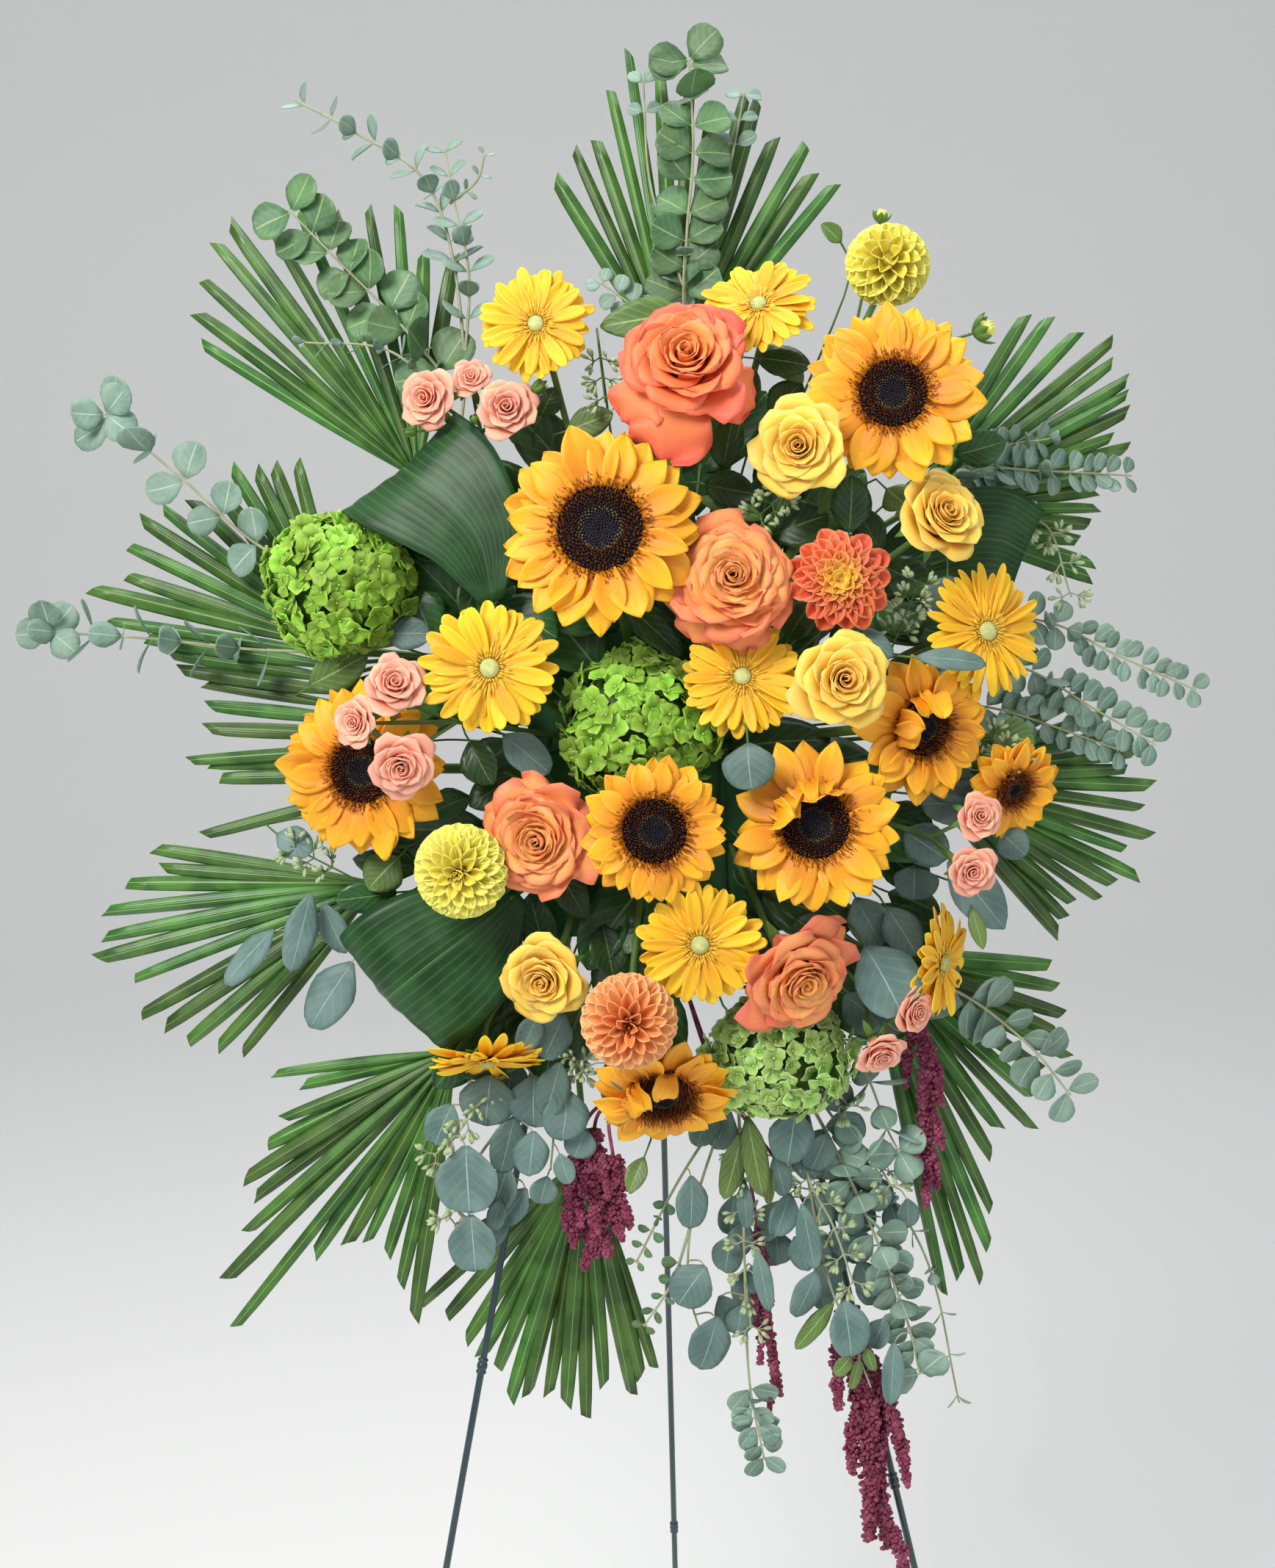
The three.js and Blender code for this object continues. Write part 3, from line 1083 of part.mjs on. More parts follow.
// The whole spray leans back on its easel, and stands centred over the origin
spray.rotation.x = -degrees(easel.lean);
spray.updateMatrixWorld(true);
const bounds = new THREE.Box3().setFromObject(spray, true);
spray.position.set(-(bounds.min.x + bounds.max.x) / 2, -(bounds.min.y + bounds.max.y) / 2, -floorHeight);

const standingSpray = new THREE.Group();
standingSpray.name = 'standing_funeral_spray';
standingSpray.add(spray);

export default standingSpray;
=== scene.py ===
import math
import random

import bpy
import numpy as np
from mathutils import Matrix, Vector

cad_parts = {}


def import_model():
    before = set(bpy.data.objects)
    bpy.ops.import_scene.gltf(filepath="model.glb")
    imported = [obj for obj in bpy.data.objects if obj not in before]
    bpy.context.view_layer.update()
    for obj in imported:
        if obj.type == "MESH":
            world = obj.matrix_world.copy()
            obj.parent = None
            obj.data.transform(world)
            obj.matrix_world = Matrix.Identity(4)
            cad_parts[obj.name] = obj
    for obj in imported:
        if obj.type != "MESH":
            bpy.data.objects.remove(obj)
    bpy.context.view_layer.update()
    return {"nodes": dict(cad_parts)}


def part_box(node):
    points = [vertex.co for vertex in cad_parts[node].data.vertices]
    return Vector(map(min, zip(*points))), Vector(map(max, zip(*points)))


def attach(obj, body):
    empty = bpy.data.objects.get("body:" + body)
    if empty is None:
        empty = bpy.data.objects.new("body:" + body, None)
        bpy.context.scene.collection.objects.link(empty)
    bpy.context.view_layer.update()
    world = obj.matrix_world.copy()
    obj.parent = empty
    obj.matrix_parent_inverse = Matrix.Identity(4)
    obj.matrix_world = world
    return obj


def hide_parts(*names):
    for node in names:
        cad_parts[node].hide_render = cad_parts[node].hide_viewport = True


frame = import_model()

# A standing funeral spray: cut flowers and palm fans in a caged foam brick, on a folding wire easel.
# Flower sizes and places are in millimetres, x to the right, up along the easel, out to the viewer.

goldenAngle = math.pi * (3 - math.sqrt(5))

spray = {
    "seed": 20,                # of the random draws
    "lean": 11,                # degrees that the easel leans back
    "foamMiddle": 44.15,       # the brick's middle, ahead of the easel's front
    "stemSource": (0, 0, 20),  # where a stem aims in the foam, unless its bloom says otherwise
    "stemFit": 0.95,           # a stem's thickness as a share of its solid's
}
rnd = random.Random(spray["seed"])
# how far the foam reaches, and how deep a stem stands in it
foamSize = {"halfWidth": 105, "halfHeight": 155, "back": 3.3, "front": 85, "insertion": 26}

foamLow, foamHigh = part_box("floral_foam")
leanTurn = Matrix.Rotation(-math.radians(spray["lean"]), 4, "X")
outWay = leanTurn @ Vector((0, -1, 0))
sprayOrigin = (foamLow + foamHigh) / 2 - outWay * spray["foamMiddle"] / 1000
sprayMatrix = Matrix.Translation(sprayOrigin) @ leanTurn @ Matrix.Scale(0.001, 4)


def at(x, up, out):
    return Vector((x, -out, up))


def world(x, up, out):
    return sprayMatrix @ at(x, up, out)


# Camera, lights and backdrop

view = {
    "eye": (-16, -30, 2050),
    "roll": 1.68,              # degrees
    "mmPerPixel": 0.62,        # at the flowers
    "flowerDistance": 2000,
    "photoWidth": 1736,
    "photoHeight": 2135,
    "sensorHeight": 36,
    "farClip": 50,             # metres
}


def photoPlace(across, down, out):
    # where a spot of the photo lies, so far out from the easel
    scale = view["mmPerPixel"] * (view["eye"][2] - out) / view["flowerDistance"]
    u, v = (across - view["photoWidth"] / 2) * scale, (view["photoHeight"] / 2 - down) * scale
    roll = math.radians(view["roll"])
    x = u * math.cos(roll) + v * math.sin(roll) + view["eye"][0]
    up = v * math.cos(roll) - u * math.sin(roll) + view["eye"][1]
    return at(x, up, out)


def makeCamera():
    data = bpy.data.cameras.new("photoView")
    camera = bpy.data.objects.new("photoView", data)
    bpy.context.scene.collection.objects.link(camera)
    roll = math.radians(view["roll"])
    right = leanTurn @ Vector((1, 0, 0))
    up = leanTurn @ Vector((0, 0, 1))
    cameraRight = right * math.cos(roll) - up * math.sin(roll)
    cameraUp = right * math.sin(roll) + up * math.cos(roll)
    turn = Matrix((cameraRight, cameraUp, outWay)).transposed().to_4x4()
    camera.matrix_world = Matrix.Translation(world(*view["eye"])) @ turn
    data.sensor_fit = "VERTICAL"
    data.sensor_height = view["sensorHeight"]
    data.lens = data.sensor_height * view["flowerDistance"] / (view["mmPerPixel"] * view["photoHeight"])
    data.clip_end = view["farClip"]
    bpy.context.scene.camera = camera


studio = {
    "air": {"colour": (0.92, 0.95, 0.98, 1), "strength": 0.42},
    "aim": (0, 0, 100),
    "lamps": {
        "key": {"place": (-1.5, -2.3, 3.3), "size": 1.3, "power": 100, "colour": (1, 0.98, 0.95)},
        "fill": {"place": (2.4, -2.4, 1.9), "size": 2.4, "power": 16, "colour": (0.93, 0.97, 1)},
        "top": {"place": (0.2, 0.5, 3.6), "size": 2.0, "power": 46, "colour": (1, 1, 1)},
    },
}


def makeLights():
    for name, values in studio["lamps"].items():
        data = bpy.data.lights.new(name, "AREA")
        data.size = values["size"]
        data.energy = values["power"]
        data.color = values["colour"]
        lamp = bpy.data.objects.new(name, data)
        bpy.context.scene.collection.objects.link(lamp)
        lamp.location = values["place"]
        aim = world(*studio["aim"]) - lamp.location
        lamp.rotation_euler = aim.to_track_quat("-Z", "Y").to_euler()
    air = bpy.data.worlds.new("softAir")
    bpy.context.scene.world = air
    air.use_nodes = True
    background = air.node_tree.nodes["Background"]
    background.inputs["Color"].default_value = studio["air"]["colour"]
    background.inputs["Strength"].default_value = studio["air"]["strength"]
    bpy.context.scene.view_settings.view_transform = "Standard"


def deselectAll():
    if bpy.context.object and bpy.context.object.mode != "OBJECT":
        bpy.ops.object.mode_set(mode="OBJECT")
    bpy.ops.object.select_all(action="DESELECT")


def selectOnly(piece):
    deselectAll()
    piece.select_set(True)
    bpy.context.view_layer.objects.active = piece


def paint(piece, material):
    piece.data.materials.clear()
    piece.data.materials.append(material)


backdrop = {
    "side": 6,             # metres, as the next five are
    "front": -5,
    "back": 3.6,
    "bend": 1.6,
    "height": 4,
    "rows": 40,
    "colour": (0.9, 0.9, 0.89, 1),
    "roughness": 0.9,
}


def makeBackdrop():
    # a floor that sweeps up into a wall behind the easel
    deselectAll()
    bpy.ops.mesh.primitive_grid_add(x_subdivisions=2, y_subdivisions=backdrop["rows"], size=2)
    sweep = bpy.context.object
    sweep.name = "backdrop"
    front, bend = backdrop["front"], backdrop["bend"]
    flat = backdrop["back"] - front
    arc = 0.5 * math.pi * bend
    for corner in sweep.data.vertices:
        along = 0.5 * (corner.co.y + 1) * (flat + arc + backdrop["height"])
        past = min(max(along - flat, 0) / bend, 0.5 * math.pi)
        climb = max(along - flat - arc, 0)
        y = front + min(along, flat) + bend * math.sin(past)
        corner.co = (corner.co.x * backdrop["side"], y, bend * (1 - math.cos(past)) + climb)
    bpy.ops.object.shade_smooth()
    material = bpy.data.materials.new("palePaint")
    material.use_nodes = True
    shader = material.node_tree.nodes["Principled BSDF"]
    shader.inputs["Base Color"].default_value = backdrop["colour"]
    shader.inputs["Roughness"].default_value = backdrop["roughness"]
    paint(sweep, material)


# Shader pieces

def tone(code):
    # a colour from its red, green and blue in hexadecimal, as the shader wants it
    parts = [int(code[i:i + 2], 16) / 255 for i in (1, 3, 5)]
    return tuple(p / 12.92 if p <= 0.04045 else ((p + 0.055) / 1.055) ** 2.4 for p in parts) + (1,)


def addNode(tree, kind, **values):
    node = tree.nodes.new(kind)
    for name, value in values.items():
        setattr(node, name, value)
    return node


def feed(tree, socket, value):
    if isinstance(value, bpy.types.NodeSocket):
        tree.links.new(value, socket)
    else:
        socket.default_value = value


def calc(tree, operation, first, second=0.0):
    node = addNode(tree, "ShaderNodeMath", operation=operation)
    feed(tree, node.inputs[0], first)
    feed(tree, node.inputs[1], second)
    return node.outputs[0]


def plus(tree, first, second):
    return calc(tree, "ADD", first, second)


def minus(tree, first, second):
    return calc(tree, "SUBTRACT", first, second)


def times(tree, first, second):
    return calc(tree, "MULTIPLY", first, second)


def blendColour(tree, factor, first, second):
    node = addNode(tree, "ShaderNodeMix", data_type="RGBA")
    feed(tree, node.inputs["Factor"], factor)
    feed(tree, node.inputs["A"], first)
    feed(tree, node.inputs["B"], second)
    return node.outputs["Result"]


def ramp(tree, value, low, high):
    node = addNode(tree, "ShaderNodeMapRange", interpolation_type="SMOOTHSTEP")
    feed(tree, node.inputs["Value"], value)
    node.inputs["From Min"].default_value = low
    node.inputs["From Max"].default_value = high
    return node.outputs["Result"]


def noise(tree, place, scale, detail):
    node = addNode(tree, "ShaderNodeTexNoise")
    feed(tree, node.inputs["Vector"], place)
    feed(tree, node.inputs["Scale"], scale)
    node.inputs["Detail"].default_value = detail
    return node.outputs["Fac"]


def attribute(tree, name):
    return addNode(tree, "ShaderNodeAttribute", attribute_name=name).outputs["Fac"]


def sheetPlace(tree):
    # a point's place on its petal or leaf: across, along, and how far out from the midrib
    sheet = addNode(tree, "ShaderNodeUVMap", uv_map="UVMap").outputs[0]
    split = addNode(tree, "ShaderNodeSeparateXYZ")
    feed(tree, split.inputs[0], sheet)
    u, v = split.outputs[0], split.outputs[1]
    return u, v, calc(tree, "ABSOLUTE", minus(tree, times(tree, u, 2.0), 1.0))


def shifted(tree, colour, hue, value):
    # the colour with its hue and its brightness moved a little
    change = addNode(tree, "ShaderNodeHueSaturation")
    feed(tree, change.inputs["Hue"], plus(tree, hue, 0.5))
    feed(tree, change.inputs["Value"], plus(tree, value, 1.0))
    feed(tree, change.inputs["Color"], colour)
    return change.outputs[0]


def newGroup(name, colours, numbers):
    # a node group that takes these colours and numbers, and puts out a colour and a height
    tree = bpy.data.node_groups.new(name, "ShaderNodeTree")
    for way, kind, labels in (("INPUT", "Color", colours), ("INPUT", "Float", numbers),
                              ("OUTPUT", "Color", ["Color"]), ("OUTPUT", "Float", ["Height"])):
        for label in labels:
            tree.interface.new_socket(label, in_out=way, socket_type="NodeSocket" + kind)
    return tree, tree.nodes.new("NodeGroupInput").outputs, tree.nodes.new("NodeGroupOutput").inputs


def makePetalGroup():
    # colour from a petal's base to its tip and edge, fine lengthwise streaks, and a little chance
    tree, given, result = newGroup("petalTones", ["Base", "Tip", "Edge", "Heart"],
                                   ["EdgeWidth", "HeartSize", "Streaks", "StreakCount", "Chance"])
    u, v, side = sheetPlace(tree)
    tint, layer = attribute(tree, "tint"), attribute(tree, "layer")
    # where a finish has a deeper base and heart and a lighter edge, as the yellow and spray roses do, these
    # blends paint shade into the petals' folds and a highlight onto their rims
    body = blendColour(tree, ramp(tree, v, 0.05, 0.9), given["Base"], given["Tip"])
    heart = minus(tree, 1.0, calc(tree, "DIVIDE", layer, plus(tree, given["HeartSize"], 0.001)))
    body = blendColour(tree, calc(tree, "MAXIMUM", heart, 0.0), body, given["Heart"])
    rim = calc(tree, "MAXIMUM", calc(tree, "POWER", side, 3.0), ramp(tree, v, 0.72, 1.02))
    body = blendColour(tree, times(tree, rim, given["EdgeWidth"]), body, given["Edge"])
    stretch = addNode(tree, "ShaderNodeCombineXYZ")
    for socket, value, factor in zip(stretch.inputs, (u, v, tint), (given["StreakCount"], 0.9, 31.0)):
        feed(tree, socket, times(tree, value, factor))
    streak = noise(tree, stretch.outputs[0], 2.4, 3.0)
    shade = times(tree, minus(tree, streak, 0.5), given["Streaks"])
    chance = times(tree, minus(tree, tint, 0.5), given["Chance"])
    feed(tree, result["Color"], shifted(tree, body, times(tree, chance, 0.04), plus(tree, chance, shade)))
    feed(tree, result["Height"], streak)
    return tree


def makeVeinGroup():
    # a pale midrib, with side veins or long veins, and mottled blades
    tree, given, result = newGroup("leafVeins", ["Blade", "Dark", "Rib"],
                                   ["RibWidth", "Side", "Long", "Depth", "Chance"])
    u, v, side = sheetPlace(tree)
    slant = minus(tree, v, times(tree, side, 0.35))
    phase = plus(tree, times(tree, slant, given["Side"]), times(tree, u, given["Long"]))
    wave = calc(tree, "SINE", times(tree, phase, 2 * math.pi))
    vein = calc(tree, "POWER", calc(tree, "MAXIMUM", wave, 0.0), 4.0)
    patch = noise(tree, addNode(tree, "ShaderNodeTexCoord").outputs["Object"], 34.0, 4.0)
    blade = blendColour(tree, ramp(tree, patch, 0.35, 0.65), given["Dark"], given["Blade"])
    blade = blendColour(tree, times(tree, vein, given["Depth"]), blade, given["Rib"])
    midrib = minus(tree, 1.0, ramp(tree, calc(tree, "DIVIDE", side, given["RibWidth"]), 0.5, 1.2))
    blade = blendColour(tree, midrib, blade, given["Rib"])
    chance = times(tree, minus(tree, attribute(tree, "tint"), 0.5), given["Chance"])
    feed(tree, result["Color"], shifted(tree, blade, times(tree, chance, 0.06), chance))
    feed(tree, result["Height"], plus(tree, times(tree, wave, 0.4), times(tree, midrib, -0.8)))
    return tree


def makeMottleGroup():
    # patches and grain by place, for stems, wire and plastic
    tree, given, result = newGroup("mottle", ["Main", "Other"], ["Scale", "Grain", "Amount"])
    place = addNode(tree, "ShaderNodeTexCoord").outputs["Object"]
    patch = ramp(tree, noise(tree, place, given["Scale"], 4.0), 0.38, 0.66)
    grain = noise(tree, place, given["Grain"], 2.0)
    mask = times(tree, patch, given["Amount"])
    feed(tree, result["Color"], blendColour(tree, mask, given["Main"], given["Other"]))
    feed(tree, result["Height"], plus(tree, grain, times(tree, patch, 0.3)))
    return tree


petalGroup = makePetalGroup()
veinGroup = makeVeinGroup()
mottleGroup = makeMottleGroup()
flesh = {"Subsurface Radius": (1, 0.6, 0.25), "Subsurface Scale": 0.003}
reliefDepth = 0.0004


def surface(name, group, values, roughness, bump, subsurface=0.0, sheen=0.0, coat=0.0, shine=0.5):
    material = bpy.data.materials.new(name)
    material.use_nodes = True
    tree = material.node_tree
    shader = tree.nodes["Principled BSDF"]
    pattern = addNode(tree, "ShaderNodeGroup", node_tree=group)
    for label, value in values.items():
        pattern.inputs[label].default_value = tone(value) if isinstance(value, str) else value
    relief = addNode(tree, "ShaderNodeBump")
    relief.inputs["Strength"].default_value = bump
    relief.inputs["Distance"].default_value = reliefDepth
    feed(tree, relief.inputs["Height"], pattern.outputs["Height"])
    feed(tree, shader.inputs["Normal"], relief.outputs["Normal"])
    feed(tree, shader.inputs["Base Color"], pattern.outputs["Color"])
    plain = {"Roughness": roughness, "Subsurface Weight": subsurface, "Sheen Weight": sheen,
             "Coat Weight": coat, "Specular IOR Level": shine}
    for label, value in (flesh | plain).items():
        shader.inputs[label].default_value = value
    return material


def petalFinish(name, base, tip, edge=None, heart=None, heartSize=0.0, edgeWidth=0.3, streaks=0.25,
                count=9.0, chance=0.25):
    values = {
        "Base": base, "Tip": tip, "Edge": edge or tip, "Heart": heart or base, "HeartSize": heartSize,
        "EdgeWidth": edgeWidth, "Streaks": streaks, "StreakCount": count, "Chance": chance,
    }
    return surface(name, petalGroup, values, roughness=0.55, bump=0.35, subsurface=0.12, sheen=0.02)


def leafFinish(name, blade, dark, rib, ribWidth=0.05, side=8.0, long=0.0, depth=0.3, chance=0.3,
               roughness=0.45, bump=0.3, shine=0.5):
    values = {
        "Blade": blade, "Dark": dark, "Rib": rib, "RibWidth": ribWidth, "Side": side, "Long": long,
        "Depth": depth, "Chance": chance,
    }
    return surface(name, veinGroup, values, roughness, bump, shine=shine)


def plainFinish(name, main, other, scale=60.0, grain=600.0, roughness=0.5, bump=0.2, coat=0.0):
    values = {"Main": main, "Other": other, "Scale": scale, "Grain": grain, "Amount": 0.6}
    return surface(name, mottleGroup, values, roughness, bump, coat=coat)


# base, tip and edge
petalLooks = {
    "sunflowerPetal": ("#ec8f08", "#fcb415", "#fec22a", dict(streaks=0.36, chance=0.26)),
    "gerberaPetal": ("#f8ae0c", "#fec81a", "#fed83c", dict(streaks=0.3, count=5.0)),
    "gerberaFloret": ("#e0a01a", "#f8c838", dict(streaks=0.2)),
    "coralRose": ("#fc8c48", "#f36c4a", "#e95850",
                  dict(heart="#ffae5a", heartSize=0.92, edgeWidth=0.5, streaks=0.18)),
    "gardenRose": ("#fb9444", "#f78e58", "#ea5a5c",
                   dict(heart="#ffc862", heartSize=1.05, edgeWidth=0.55, streaks=0.18)),
    # the yellow rose's lighter edge is a painted highlight on its rims, and its deeper base and heart are
    # painted shade in its folds
    "yellowRose": ("#fbbb2e", "#fed252", "#ffe380",
                   dict(heart="#f8b02a", heartSize=0.5, edgeWidth=0.5, streaks=0.1)),
    # the spray rose's lighter edge is a painted highlight on its rims, and its deeper base and heart are
    # painted shade in its folds
    "sprayRose": ("#f7936e", "#fab094", "#fcc6b2",
                  dict(heart="#f28e6c", heartSize=0.5, edgeWidth=0.5, streaks=0.1)),
    "lemonDahlia": ("#e6d63a", "#f7f06c", "#fbf7a2",
                    dict(heart="#e2ce36", heartSize=0.35, streaks=0.16, count=5.0, chance=0.12)),
    "lemonHeart": ("#c89a26", "#eedc5a", "#96661e", dict(streaks=0.3)),
    "redDahlia": ("#cf3c10", "#dd501e", "#f4a26c",
                  dict(heart="#f4ca38", heartSize=0.46, edgeWidth=0.5, streaks=0.2, count=5.0, chance=0.2)),
    "orangeDahlia": ("#f6994e", "#fdba78", "#ffd2a2",
                     dict(heart="#ee8640", heartSize=0.3, streaks=0.16, count=5.0, chance=0.12)),
    "orangeHeart": ("#9c4418", "#d0682c", "#e48a48", dict(streaks=0.3)),
    "hydrangea": ("#79ad24", "#9acc3e", "#bfe26a",
                  dict(edgeWidth=0.55, streaks=0.3, count=6.0, chance=0.5)),
    "paleHydrangea": ("#86b646", "#abd26a", "#d2e6a8",
                      dict(edgeWidth=0.7, streaks=0.3, count=6.0, chance=0.55)),
    "hydrangeaShade": ("#3c6012", "#466c18", dict(chance=0.1)),
}
# blade, its dark patches and its rib
leafLooks = {
    "palm": ("#4b7a2c", "#2d581c", "#8aa660",
             dict(side=0.0, long=8.0, depth=0.14, chance=0.6, roughness=0.36)),
    "aspidistra": ("#285028", "#183a18", "#487240",
                   dict(ribWidth=0.012, side=0.0, long=17.0, depth=0.4, chance=0.0, roughness=0.42,
                        bump=0.25, shine=0.3)),
    "fillerLeaf": ("#35602c", "#214522", "#6f9250",
                   dict(ribWidth=0.04, side=7.0, depth=0.2, chance=0.45, roughness=0.34)),
    "oliveLeaf": ("#67843f", "#526e34", "#9ab06e", dict(side=7.0, depth=0.25, chance=0.4)),
    "roundEucalyptus": ("#8ca797", "#718f80", "#b0c4ac",
                        dict(side=5.0, depth=0.12, chance=0.35, roughness=0.6)),
    "silverEucalyptus": ("#69847d", "#54706a", "#9ab0a8",
                         dict(ribWidth=0.025, side=6.0, depth=0.12, chance=0.35, roughness=0.55)),
    "greenEucalyptus": ("#618657", "#486c46", "#8da86e",
                        dict(side=5.0, depth=0.15, chance=0.35, roughness=0.5)),
}
# main colour and patches
plainLooks = {
    "gerberaEye": ("#dcdf9c", "#bcc468", dict(scale=300.0, roughness=0.7)),
    "hydrangeaBead": ("#d2dc8e", "#b8c66a", dict(scale=300.0, roughness=0.6)),
    "calyx": ("#4f7a2c", "#74983f", dict(scale=90.0, roughness=0.6)),
    "stem": ("#4a6e2a", "#6c8a40", dict(scale=40.0, roughness=0.55)),
    "twig": ("#a6b08c", "#8a7c62", dict(scale=50.0, roughness=0.6)),
    "seed": ("#a4b888", "#ccd8b0", dict(scale=200.0, roughness=0.6)),
    "amaranthus": ("#7c2a48", "#b2607c", dict(scale=120.0, roughness=0.8, bump=0.5)),
    "enamel": ("#22383e", "#2f4a50", dict(scale=30.0, roughness=0.35, bump=0.05, coat=0.3)),
    "cagePlastic": ("#1a4a2a", "#215634", dict(scale=12.0, grain=900.0, roughness=0.45, bump=0.1)),
    "foam": ("#33683d", "#285433", dict(grain=700.0, scale=70.0, roughness=0.95, bump=0.9)),
}
finishes = {}
for makeFinish, looks in ((petalFinish, petalLooks), (leafFinish, leafLooks), (plainFinish, plainLooks)):
    for look, (*colours, values) in looks.items():
        finishes[look] = makeFinish(look, *colours, **values)


def makeDiscFinish():
    # a sunflower's disc: dark heart, grey-olive ring, red-brown rim of open florets
    stops = [(0.0, "#35333c"), (0.34, "#3b3840"), (0.42, "#8c7e50"), (0.49, "#6a3416"), (0.75, "#8a481a"),
             (1.0, "#b4702c")]
    material = bpy.data.materials.new("sunflowerDisc")
    material.use_nodes = True
    tree = material.node_tree
    shader = tree.nodes["Principled BSDF"]
    rings = addNode(tree, "ShaderNodeValToRGB")
    for position, _ in stops[1:-1]:
        rings.color_ramp.elements.new(position)
    for stop, (_, code) in zip(rings.color_ramp.elements, stops):
        stop.color = tone(code)
    feed(tree, rings.inputs["Fac"], attribute(tree, "layer"))
    change = addNode(tree, "ShaderNodeHueSaturation")
    feed(tree, change.inputs["Value"], plus(tree, times(tree, attribute(tree, "tint"), 1.1), 0.45))
    feed(tree, change.inputs["Color"], rings.outputs["Color"])
    feed(tree, shader.inputs["Base Color"], change.outputs[0])
    shader.inputs["Roughness"].default_value = 0.8
    shader.inputs["Specular IOR Level"].default_value = 0.2
    return material


finishes["sunflowerDisc"] = makeDiscFinish()


# Meshes: a blank is modelled once, and every petal, leaf, floret and grain is a shaped copy of one

blanks = {}


def blankOf(kind, *size):
    # a blank of one kind and size, which is made the first time, and its points
    key = (kind, *size)
    if key in blanks:
        return blanks[key]
    deselectAll()
    if kind == "sheet":
        # flat, with a wall, one unit across and along
        across, along, thick = size
        bpy.ops.mesh.primitive_grid_add(x_subdivisions=across, y_subdivisions=along, size=1)
        wall = bpy.context.object.modifiers.new("wall", "SOLIDIFY")
        wall.thickness = thick
        wall.offset = 0
        bpy.ops.object.modifier_apply(modifier="wall")
    elif kind == "bristle":
        # pointed and three-sided, standing on the ground, one unit tall
        bpy.ops.mesh.primitive_cone_add(vertices=3, radius1=1, radius2=0.4, depth=1, location=(0, 0, 0.5))
        bpy.ops.object.transform_apply(location=True)
    elif kind == "bead":
        # eight-sided, for what repeats by the thousand
        bpy.ops.mesh.primitive_uv_sphere_add(segments=4, ring_count=2, radius=1)
    else:
        bpy.ops.mesh.primitive_ico_sphere_add(subdivisions=size[0], radius=1)
    bpy.ops.object.shade_smooth()
    blank = bpy.context.object
    points = np.empty(len(blank.data.vertices) * 3)
    blank.data.vertices.foreach_get("co", points)
    blank.hide_render = True
    blanks[key] = (blank, points.reshape(-1, 3))
    return blanks[key]


def copyOf(blank, points, material, tint=0.5, layer=0.5):
    # a copy to be made: its blank, where the blank's points go, and its finish
    return {"blank": blank, "points": points, "material": material, "tint": tint, "layer": layer}


def madeCopies(copies):
    # makes the copies of each blank in each finish with one array, then moves their points into shape
    kinds = {}
    for copy in copies:
        kinds.setdefault((copy["blank"].name, copy["material"].name), []).append(copy)
    rows = []
    for group in kinds.values():
        row = group[0]["blank"].copy()
        row.data = group[0]["blank"].data.copy()
        row.hide_render = False
        bpy.context.scene.collection.objects.link(row)
        if len(group) > 1:
            selectOnly(row)
            repeat = row.modifiers.new("repeat", "ARRAY")
            repeat.count = len(group)
            bpy.ops.object.modifier_apply(modifier="repeat")
        points = np.concatenate([copy["points"] for copy in group])
        row.data.vertices.foreach_set("co", points.astype(np.float32).ravel())
        for name in ("tint", "layer"):
            numbers = row.data.attributes.new(name, "FLOAT", "POINT")
            values = np.repeat([copy[name] for copy in group], len(group[0]["points"]))
            numbers.data.foreach_set("value", values.astype(np.float32))
        paint(row, group[0]["material"])
        rows.append(row)
    return rows


def moved(points, matrix):
    turn = np.array(matrix.to_3x3())
    return points @ turn.T + np.array(matrix.translation)


def shapedSheet(grid, shape, matrix, material, tint=None, layer=0.5, thick=0.6):
    # bends a flat blank along a surface, and keeps its wall square to it
    blank, flat = blankOf("sheet", grid[0], grid[1], thick)
    u, v, wall = 2 * flat[:, 0], flat[:, 1] + 0.5, flat[:, 2]
    near = 0.02
    across = shape(u + near, v) - shape(u - near, v)
    along = shape(u, v + near) - shape(u, v - near)
    normal = np.cross(along, across)
    normal /= np.maximum(np.linalg.norm(normal, axis=1), 1e-9)[:, None]
    points = shape(u, v) - normal * wall[:, None]
    tint = rnd.random() if tint is None else tint
    return copyOf(blank, moved(points, matrix), material, tint, layer)


def placedGrain(blankPair, size, matrix, material, tint=None, layer=0.5):
    blank, base = blankPair
    tint = rnd.random() if tint is None else tint
    return copyOf(blank, moved(base * np.array(size), matrix), material, tint, layer)


def ball(matrix, size, material, rise, layer=0.5):
    # a smooth ball of a given size, so far above the middle of its bloom
    blank, base = blankOf("grain", 2)
    points = base * np.array(size) + np.array((0, 0, rise))
    return copyOf(blank, moved(points, matrix), material, layer=layer)


def joinPieces(name, pieces):
    made = [piece for piece in pieces if not isinstance(piece, dict)]
    made += madeCopies([piece for piece in pieces if isinstance(piece, dict)])
    deselectAll()
    for piece in made:
        piece.select_set(True)
    whole = made[0]
    bpy.context.view_layer.objects.active = whole
    if len(made) > 1:
        bpy.ops.object.join()
    whole.name = name
    whole.data.name = name
    return whole


def outline(v, base, shoulder, tip, cut):
    # half width along a petal: its base's share, full at the shoulder, then to a round, pointed or cut tip
    v = np.clip(v, 0, 1)
    growing = base + (1 - base) * np.sin(0.5 * math.pi * np.clip(v / shoulder, 0, 1))
    past = np.clip((v - shoulder) / (1 - shoulder), 0, 1)
    return growing * (cut + (1 - cut) * (1 - past ** 2) ** tip)


